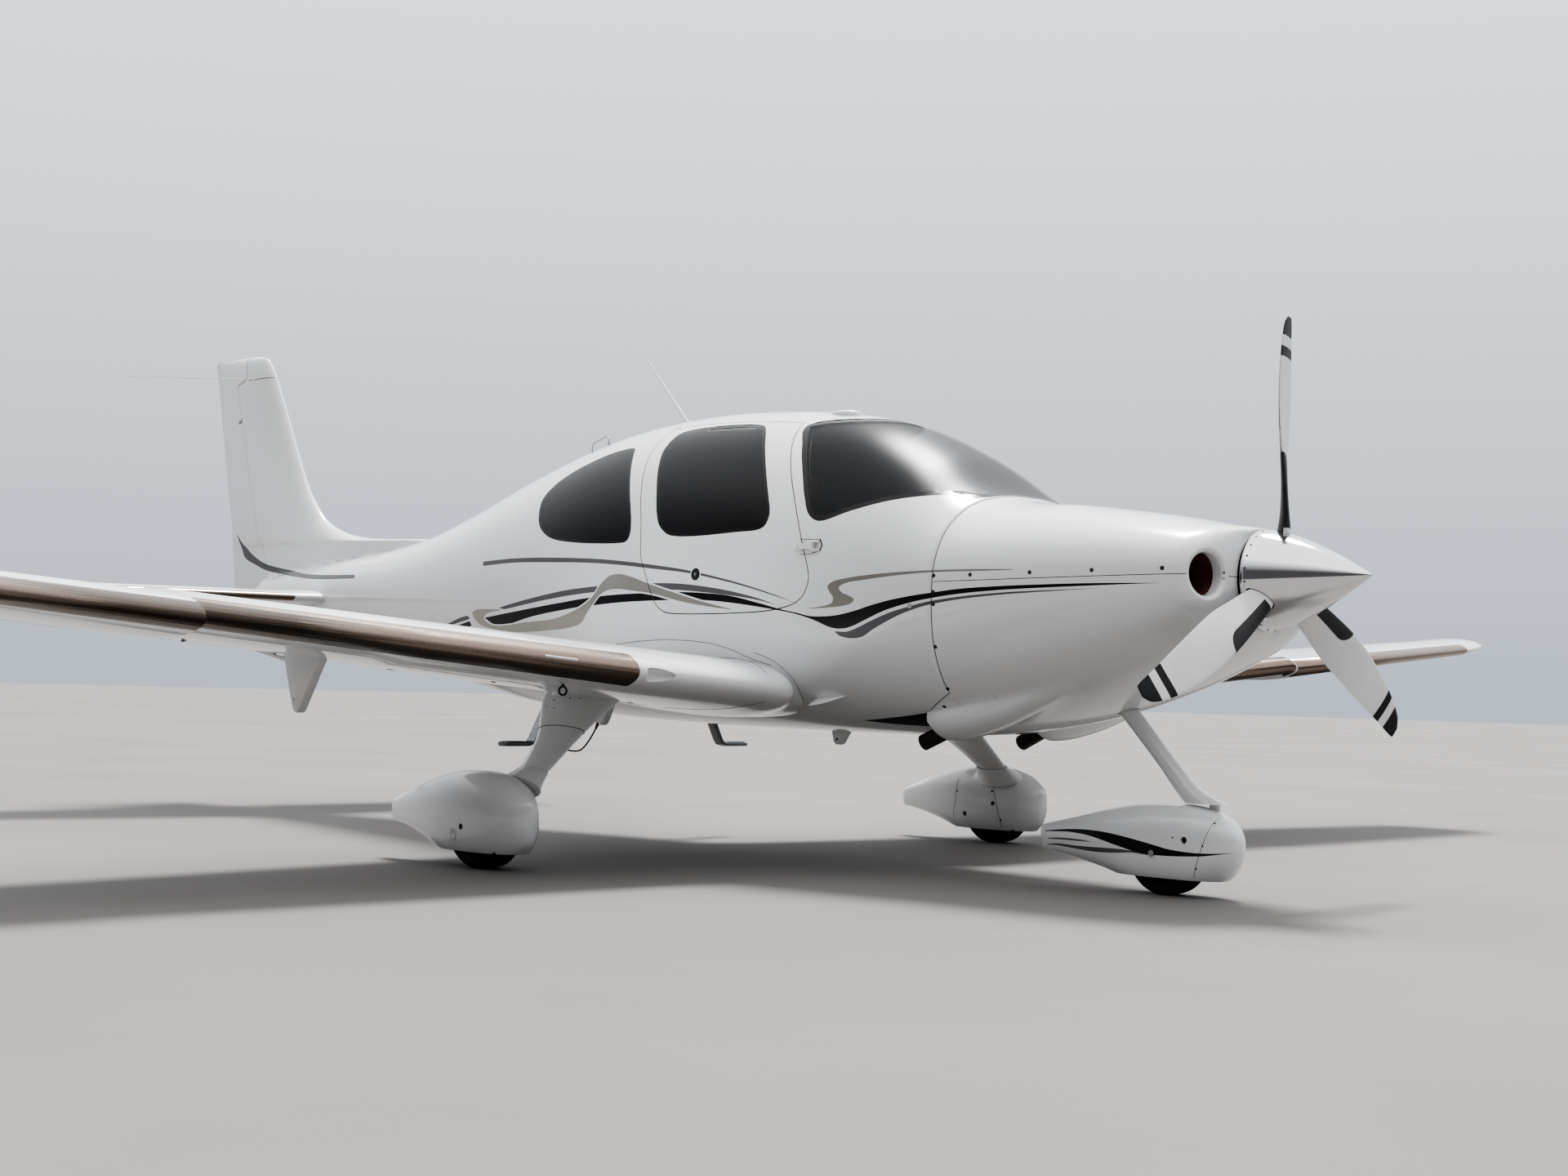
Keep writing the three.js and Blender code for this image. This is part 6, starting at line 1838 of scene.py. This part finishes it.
def side_details(body, cowl, side):
    """(screws, dark lines, white parts) of one side."""
    camlocks = [stud(*from_side(cowl if x > COWL_JOINT_X else body, x, z, side), 8, 1.2) for x, z in CAMLOCKS]
    split = [stud(*from_side(cowl, x, cowl_split_z(x) + 22, side), 8, 1.2) for x in SPLIT_SCREWS]
    facing = Vector((INLET_SCREW_FACING[0], side * INLET_SCREW_FACING[1], 0))
    inlet = [stud(Vector((x, side * y, z)), facing, 4.5, 1) for x, y, z in INLET_SCREWS]
    hinge = [stud(*from_side(body, x, z, side), 2.5, 0.6, 12) for x, z in HINGE_SCREWS]
    joint_x = COWL_JOINT_X - 0.7
    nose, tail, half = hermite_row(FIN_SECTIONS, FIN_CAP_Z)
    cap = [(x, side * 2 * half * foil_half((nose - x) / (nose - tail)), FIN_CAP_Z)
           for x in span_of(-3530, nose - 4, 20)]
    lines = [seam(skin_line(body, HINGE_COVER, side)), seam(skin_line(body, HINGE_COVER[1:4], side), 3),
             seam([(joint_x, side * y, z) for y, z in half_section(joint_x) if z > JOINT_OUTLINE[1][1]]),
             seam(skin_line(body, JOINT_OUTLINE[1:3], side)), seam(cap, 1.6)]
    rod = tube("nav_rod", [(x, side * y, FIN_CAP_Z) for x, y in NAV_ROD], 3, 12)
    return camlocks + split + inlet + hinge, lines, [vane(body, side), rod]


def build_body_details(body, cowl):
    """Fasteners, joint lines, vanes, aerials and domes of the body."""
    screws, dark, white, metal = [], [], [], []
    for name, side in SIDES.items():
        side_screws, side_lines, side_white = side_details(body, cowl, side)
        screws += side_screws
        dark += side_lines
        white += side_white
        metal.append(stud(*from_side(body, *DRAIN_RING, side), 11, 1.5))
        door_latch(body, name, side)
    white += [dome(body, *row) for row in DOMES]
    whip, _ = from_above(body, *WHIP_FOOT)
    down = Vector((0, 0, -1))
    white.append(tube("whip", [whip + 10 * down, whip + Vector(WHIP_BEND), Vector(WHIP_TIP)], WHIP_RADII, 20))
    white.append(softened(tube("base", [whip + 14 * down, whip + Vector((-4, 0, 12))], [26, 20], 32), 3))
    low, high = (from_above(body, *end)[0] for end in RAIL_ENDS)
    corner = Vector((12, 0, 0))
    rail = [low + 12 * down, low - 30 * down, low - RAIL_HEIGHT * down + corner,
            high - RAIL_HEIGHT * down - corner, high - 30 * down, high + 12 * down]
    metal.append(tube("rail", rail, 5, 16))
    white.append(softened(across(BELLY_BLADE, 7), 2.5))
    for side in SIDES.values():
        screws.append(stud(Vector((1368, side * 7, 528)), Vector((0, side, 0)), 6, 0.8))
    dark.append(tube("rod", [(x, 0, z) for x, z in smooth_open(BELLY_ROD, 4)], 4, 16))
    finish_plain(tube("aerial_base", BELLY_ROD_BASE, [18, 14, 6], 24), "aerial_brown", "dark_metal",
                 "airframe", angle=50)
    for side in SIDES.values():
        dark.append(seam(skin_line(body, FILLET_SEAM, side)))
        dark.append(seam(skin_line(body, smooth_open(GLOVE_RIM, 4), side)))
    finish_groups(
        "airframe",
        ("body_screws", screws, "screw_metal", "dark_metal", 40),
        ("body_seams", dark, "seam_dark", "dark_metal", 60),
        ("aerials_and_tabs", white, "white_paint", "white_paint", 40),
        ("metal_fittings", metal, "bare_metal", "bare_metal", 40))


# Drain and access rings under the wing, fuel cap on top of it, lamps at its tips
STALL_STRIP_SPAN = (1775, 1925)
DRAIN_STUD = (1262, 1824)
ACCESS_RINGS, FUEL_CAP = [(1120, 1000), (900, 2050), (1010, 3000)], (900, 4200)
LAMP_Y, LAMP_ROWS = 5710, [(-45, 0.5), (-20, 1), (20, 0.9), (38, 0.4)]


def tie_ring(side):
    """(shank, ring) of a tie-down point."""
    x, y = TIE_RING
    z = wing_underside(x, y)
    loop = [(x + 10 * c, side * (y - 10 * c), z - 24 + 16 * s) for c, s in turns(32, 1)]
    shank = tube("shank", [(x, side * y, z + 4), (x, side * y, z - 9)], 6, 20)
    return [shank, merged(tube("loop", loop, 4, 12))]


def build_wing_details(skin):
    """Stall strips, tie-down rings, drains, seams and tip lamps."""
    white, metal, dark, lights = [], [], [], []
    for side in SIDES.values():
        strip = []
        for y in span_of(*STALL_STRIP_SPAN, 50):
            nose, z = wing_row(y)[0], nose_z(y)
            strip.append([(x, side * y, height)
                          for x, height in ((nose - 14, z + 20), (nose + 2, z + 13), (nose - 4, z + 3))])
        white.append(loft("strip", strip))
        dark += tie_ring(side)
        dark.append(stud(*from_above(skin, DRAIN_STUD[0], side * DRAIN_STUD[1], 1), 10, 2, 24))
        for way, line in ((-1, GLOVE_EDGE), (1, GLOVE_UNDERSIDE)):
            dark.append(seam([from_above(skin, x, side * y, way)[0] for x, y in smooth_open(line, 5)]))
        metal += [stud(*from_above(skin, x, side * y, 1), 13, 2.5, 28) for x, y in ACCESS_RINGS]
        metal.append(stud(*from_above(skin, FUEL_CAP[0], side * FUEL_CAP[1]), 26, 1.5, 36))
        nose, z = wing_row(LAMP_Y)[0], nose_z(LAMP_Y)
        lights.append(loft("lamp", [[(nose - 44 + 52 * share * c, side * (LAMP_Y + w), z + 13 * share * s)
                                     for c, s in turns(24)] for w, share in LAMP_ROWS]))
    finish_groups(
        "airframe",
        ("stall_strips", white, "white_paint", "white_paint", 20),
        ("wing_rings_and_seams", dark, "seam_dark", "dark_metal", 50),
        ("wing_metal_fittings", metal, "bare_metal", "bare_metal", 40),
        ("tip_lamps", lights, "polished_metal", "polished_metal", 50))


# Screws and seams of the pants and legs. Main pant screws: x, z, radius. Leg screws: x, y, z
PANT_SCREWS = [(3361, 286), (3331, 201), (3305, 116), (3207, 225)]
PANT_SEAM = [(3362, 305), (3345, 250), (3326, 190), (3308, 130), (3292, 83)]
MAIN_PANT_SCREWS = [(857, 140, 12), (1039, 201, 11), (1032, 261, 6), (1085, 120, 5), (802, 250, 5)]
MAIN_PANT_SEAMS = [[(796, 310), (792, 250), (788, 197), (768, 110)],
                   [(1036, 296), (1056, 212), (1078, 130), (1086, 84)]]
PANT_PLUG, PANT_HOLE = (917, 134), (973, 167)
LEG_SEAMS_Y = (1262, 1474)
LEG_SCREWS = [(807, 1187, 641), (827, 1166, 671), (873, 1202, 637), (988, 1161, 681), (928, 1164, 680)]


def build_gear_details(pants):
    """Joint lines, screws and plugs of the pants and the legs."""
    screws, lines = [], []
    for side in SIDES.values():
        def on_nose(x, z):
            return spot_on(pants["nose"], (x * MM, side * 0.4, z * MM), (0, -side, 0))

        screws += [stud(*on_nose(x, z), 3.6, 1, 16) for x, z in PANT_SCREWS]
        lines.append(seam([on_nose(x, z)[0] for x, z in smooth_open(PANT_SEAM, 5)], 0.9))
    finish_groups(
        "nose_gear",
        ("nose_pant_screws", screws, "screw_metal", "dark_metal", 40),
        ("nose_pant_seams", lines, "seam_dark", "dark_metal", 60))
    screws, lines, plugs = [], [], []
    for name, side in SIDES.items():
        def on_pant(x, z, way):
            start = (x * MM, (side * MAIN_WHEEL["y"] + way * 400) * MM, z * MM)
            return spot_on(pants[name], start, (0, -way, 0))

        lines += [seam(leg_ring(MAIN_LEG_ROWS, y, side, closed=True), 1.6) for y in LEG_SEAMS_Y]
        leg = Vector((0, side * math.sin(LEG_LEAN), math.cos(LEG_LEAN)))
        for x, y, z in LEG_SCREWS:
            half = hermite_row(MAIN_LEG_ROWS, y)[3]
            for way in (1, -1):
                at = Vector((x, side * y, z)) - (1 - way) * (half - 2) * leg
                screws.append(stud(at, way * leg, 3.6, 1.2, 14))
        plugs.append(stud(*on_pant(*PANT_PLUG, side), 25, 0.8, 36))
        screws.append(stud(*on_pant(*PANT_HOLE, side), 12, 0.8, 36))
        screws += [stud(*on_pant(x, z, -side), radius, 1, 28) for x, z, radius in MAIN_PANT_SCREWS]
        for line in MAIN_PANT_SEAMS:
            lines.append(seam([on_pant(x, z, -side)[0] for x, z in smooth_open(line, 5)]))
    finish_groups(
        "airframe",
        ("leg_screws", screws, "screw_metal", "dark_metal", 40),
        ("leg_seams", lines, "seam_dark", "dark_metal", 60),
        ("pant_plugs", plugs, "bare_metal", "bare_metal", 40))


# Cabin. Side outlines of the pads and their width
FRONT_PADS = {
    "cushion": ([(1085, 1012), (1250, 1000), (1415, 990), (1474, 1035), (1478, 1080), (1400, 1104),
                 (1250, 1094), (1092, 1074)], 122, 484),
    "back": ([(985, 1110), (1050, 1104), (985, 1205), (905, 1520), (880, 1556), (848, 1566), (826, 1545),
              (905, 1200)], 122, 484),
    "headrest": ([(872, 1618), (872, 1728), (842, 1744), (816, 1728), (814, 1622)], 215, 390),
}
REAR_PADS = {
    "cushion": ([(-25, 1000), (200, 990), (405, 985), (424, 1040), (418, 1082), (385, 1094),
                 (60, 1058)], -480, 480),
    "back": ([(-45, 1075), (15, 1090), (-60, 1370), (-96, 1520), (-120, 1536), (-144, 1520),
              (-105, 1370)], -480, 480),
}


REAR_SEAMS = [-300, -160, 0, 160, 300]
FRONT_SEAM_OFFSET = 92
SEAT_BASE = [(1395, 926), (1420, 995), (1060, 1015), (985, 1095), (925, 1090), (940, 926)]
BENCH_BASE = [(400, 926), (415, 978), (-40, 990), (-60, 926)]
# Padding, in metres: the most that a point may move, and the pressure and frames of the blow-up
PAD_CAP, PAD_PRESSURE, PAD_FRAMES = 0.013, 4, 20


def blown_up(pad, seams, voxel):
    """A short cloth run under pressure, pinned at its seams, with its movement capped."""
    start = [v.co.copy() for v in pad.data.vertices]
    pins = pad.vertex_groups.new(name="seams")
    pins.add([v.index for v in pad.data.vertices
              if any(abs(v.co.y - y * MM) < 0.55 * voxel for y in seams)], 1.0, "REPLACE")
    settings = pad.modifiers.new("cloth", "CLOTH").settings
    settings.use_pressure = True
    settings.uniform_pressure_force = PAD_PRESSURE
    settings.effector_weights.gravity = 0
    settings.vertex_group_mass = "seams"
    settings.quality = 4
    scene = bpy.context.scene
    for number in range(1, PAD_FRAMES + 1):
        scene.frame_set(number)
    applied(pad)
    for vertex, origin in zip(pad.data.vertices, start):
        move = vertex.co - origin
        if move.length > PAD_CAP:
            vertex.co = origin + move * (PAD_CAP / move.length)
    scene.frame_set(1)


def padded_piece(outline, low_y, high_y, seams, voxel=0.011):
    """A cushion: a rounded block, blown up a little between its pinned seams."""
    pad = softened(side_prism("pad", smooth_closed(outline, 3), low_y, high_y), 16, 3)
    remesh = pad.modifiers.new("voxels", "REMESH")
    remesh.mode = "VOXEL"
    remesh.voxel_size = voxel
    applied(pad)
    blown_up(pad, seams, voxel)
    smooth = pad.modifiers.new("fine", "SUBSURF")
    smooth.levels = smooth.render_levels = 1
    return applied(pad)


def finish_pad(pad, name, *nodes):
    pad.name = name
    finish_plain(pad, "leather", "leather", "airframe", *nodes, angle=180)


def pad_piping(outline, low_y, high_y, inset):
    """The dark piping round both side faces of a pad."""
    curve = smooth_closed(grown(outline, 6), 5)
    return [tube("piping", [(x, y, z) for x, z in curve + curve[:1]], 3.2, 10)
            for y in (low_y + inset, high_y - inset)]


def build_cabin():
    """Padded seats with piping on plain bases, headrest posts and the panel's details."""
    for label, (outline, low_y, high_y) in FRONT_PADS.items():
        middle = (low_y + high_y) / 2
        seams = [] if label == "headrest" else [middle - FRONT_SEAM_OFFSET, middle + FRONT_SEAM_OFFSET]
        pad = padded_piece(outline, low_y, high_y, seams)
        for name, piece in (("left", pad), ("right", mirrored(pad, "twin"))):
            nodes = ["seat_front_" + name] if label == "cushion" else []
            finish_pad(piece, f"front_{label}_{name}", *nodes)
    piping, frames, posts = [], [], []
    for side in SIDES.values():
        for label in ("cushion", "back"):
            outline, low_y, high_y = FRONT_PADS[label]
            piping += pad_piping(outline, side * low_y, side * high_y, side * 4)
        frames.append(softened(side_prism("base", rounded(SEAT_BASE), side * 135, side * 470), 6))
        posts += [tube("post", [(862, side * y, 1550), (848, side * y, 1640)], 6, 16) for y in (262, 342)]
    for label, (outline, low_y, high_y) in REAR_PADS.items():
        pad = padded_piece(outline, low_y, high_y, REAR_SEAMS, 0.013)
        finish_pad(pad, f"rear_{label}", *(["seat_rear"] if label == "cushion" else []))
        piping += pad_piping(outline, low_y, high_y, 4)
    frames.append(softened(across(rounded(BENCH_BASE), 470), 6))
    finish_groups(
        "airframe",
        ("seat_piping", piping, "black_rubber", "leather", 60),
        ("seat_bases", frames, "fabric_grey", "carpet", 40),
        ("headrest_posts", posts, "bare_metal", "bare_metal", 40))
    build_panel_details()


PANEL_FACE_X = 1931
KNOB_PROFILE = [(4, 0), (4, 7), (-8, 6.4), (-9, 5.4), (-9, 0)]
DIAL_PROFILE = [(4, 0), (4, 11), (-14, 10), (-16, 8), (-16, 0)]
LEVER_PROFILE = [(-14, 0), (-14, 6), (60, 6), (62, 14), (84, 14), (88, 10), (88, 0)]
# Control handles, as (x, z) points
HANDLE_SHAFT = [(1990, 1190), (1860, 1180), (1838, 1196), (1830, 1230)]
HANDLE_GRIP = [(1830, 1215), (1826, 1250), (1816, 1300), (1812, 1325)]


def build_panel_details():
    """Two dark screens in frames, rows of knobs, and the control handles with their shafts."""
    face = PANEL_FACE_X
    screens, frames, knobs = [], [], []
    for low, high in ((-330, -55), (55, 330)):
        rim = softened(box("frame", (face - 12, low, 1205), (face + 2, high, 1400)), 4)
        frames.append(cut(rim, box("room", (face - 30, low + 16, 1221), (face - 8, high - 16, 1384))))
        screens.append(softened(box("screen", (face - 10, low + 17, 1222), (face - 7, high - 17, 1383)), 1))
        for k in range(8):
            y = low + 30 + k * (high - low - 60) / 7
            knobs.append(turned("knob", KNOB_PROFILE, (face - 12, y, 1212), "x", 20))
    knobs += [turned("knob", DIAL_PROFILE, (face, y, z), "x", 24) for y in (-30, 0, 30)
              for z in (1240, 1290, 1340)]
    for y in (430, -430):
        knobs.append(tube("shaft", [(x, y, z) for x, z in HANDLE_SHAFT], 11, 20))
        knobs.append(softened(tube("grip", [(x, y, z) for x, z in HANDLE_GRIP], [17, 20, 19, 15], 24), 3))
    knobs += [turned("lever", LEVER_PROFILE, (x, 0, z), "z", 20) for x, z in ((1560, 1093), (1640, 1103))]
    finish_groups(
        "airframe",
        ("panel_frames", frames, "panel_plastic", "panel_plastic", 30),
        ("panel_screens", screens, "screen_glass", "panel_plastic", 30),
        ("panel_knobs", knobs, "black_rubber", "panel_plastic", 40))


SCREW_RING_SHARE = 0.045


def build_spinner_screws():
    """A ring of screws round the spinner's base."""
    heads = []
    for k in range(24):
        angle = BLADE_LEAN + 2 * math.pi * (k + 0.5) / 24
        radius = spinner_radius(SCREW_RING_SHARE)
        x = SPINNER["base"] + SCREW_RING_SHARE * SPINNER_LENGTH
        normal = Vector((0.04, math.sin(angle), math.cos(angle))).normalized()
        heads.append(stud(Vector((x, radius * math.sin(angle), radius * math.cos(angle))), normal, 4, 1, 16))
    finish_plain(at_hub(joined("spinner_screws", *heads)), "screw_metal", "dark_metal", "propeller", angle=40)


# Stage

FLOOR_REACH = 90000
SKY_LOW, SKY_HIGH, DIM_COLOUR = (0.46, 0.51, 0.58), (1.35, 1.37, 1.4), (0.11, 0.11, 0.115)
# The dim part of the sky lies low down on this side
DIM_SIDE = (0.42, -0.91, 0)
SUN_ENERGY, SUN_SPREAD, SUN_WAY = 4.4, 14, (0.25, -0.42, -0.87)


def make_stage():
    """A plain pale floor under a soft sky: bright above, dimmer low down on one side."""
    corners = [(-1, -1), (1, -1), (1, 1), (-1, 1)]
    floor = mesh_object("floor", [(x * FLOOR_REACH, y * FLOOR_REACH, 0) for x, y in corners], [(0, 1, 2, 3)])
    floor.data.materials.append(surface_material("floor", (0.222, 0.211, 0.2), (0.202, 0.192, 0.182), 0.7,
                                                 scale=0.4, specular=0.2))
    world = bpy.data.worlds.new("studio")
    bpy.context.scene.world = world
    world.use_nodes = True
    nodes, links = world.node_tree.nodes, world.node_tree.links
    where = nodes.new("ShaderNodeTexCoord").outputs["Generated"]
    split = nodes.new("ShaderNodeSeparateXYZ")
    links.new(where, split.inputs["Vector"])
    side = vector_node(nodes, links, "DOT_PRODUCT", where, DIM_SIDE).outputs["Value"]
    dim = ranged(nodes, links, side, 0.0, 1.0, -0.15, 0.4)
    low = ranged(nodes, links, split.outputs["Z"], 1.0, 0.0, 0.3, 0.7)
    height = ranged(nodes, links, split.outputs["Z"], 0, 1, 0.0, 0.6)
    sky = mixed_colour(nodes, links, height, SKY_LOW, SKY_HIGH)
    dark = math_node(nodes, links, "MULTIPLY", dim, low)
    links.new(mixed_colour(nodes, links, dark, sky, DIM_COLOUR), nodes["Background"].inputs["Color"])
    sun = linked("key", bpy.data.lights.new("key", "SUN"))
    sun.data.energy = SUN_ENERGY
    sun.data.angle = math.radians(SUN_SPREAD)
    sun.rotation_euler = Vector(SUN_WAY).to_track_quat("-Z", "Y").to_euler()
    bpy.context.scene.view_settings.look = "AgX - High Contrast"


def dress_carried_nodes():
    """The CAD nodes that stay in view get the detailed material of their slot."""
    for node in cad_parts.values():
        for slot in node.material_slots:
            name = slot.material.name.split(".")[0] if slot.material else ""
            if name in MATERIALS and slot.material is not MATERIALS[name]:
                slot.material = MATERIALS[name]


artwork_tools = make_artwork()
body_surface = build_body(artwork_tools)
wing_surface = build_wing()
build_stabiliser()
cowl_surface = build_cowling(artwork_tools)
discard(*artwork_tools)
build_inlets(cowl_surface)
build_body_details(body_surface, cowl_surface)
build_wing_details(wing_surface)
build_steps()
build_gear_details(build_gear())
build_cabin()
build_propeller()
build_spinner_screws()
build_tyres()
build_exhausts()
dress_carried_nodes()
make_stage()
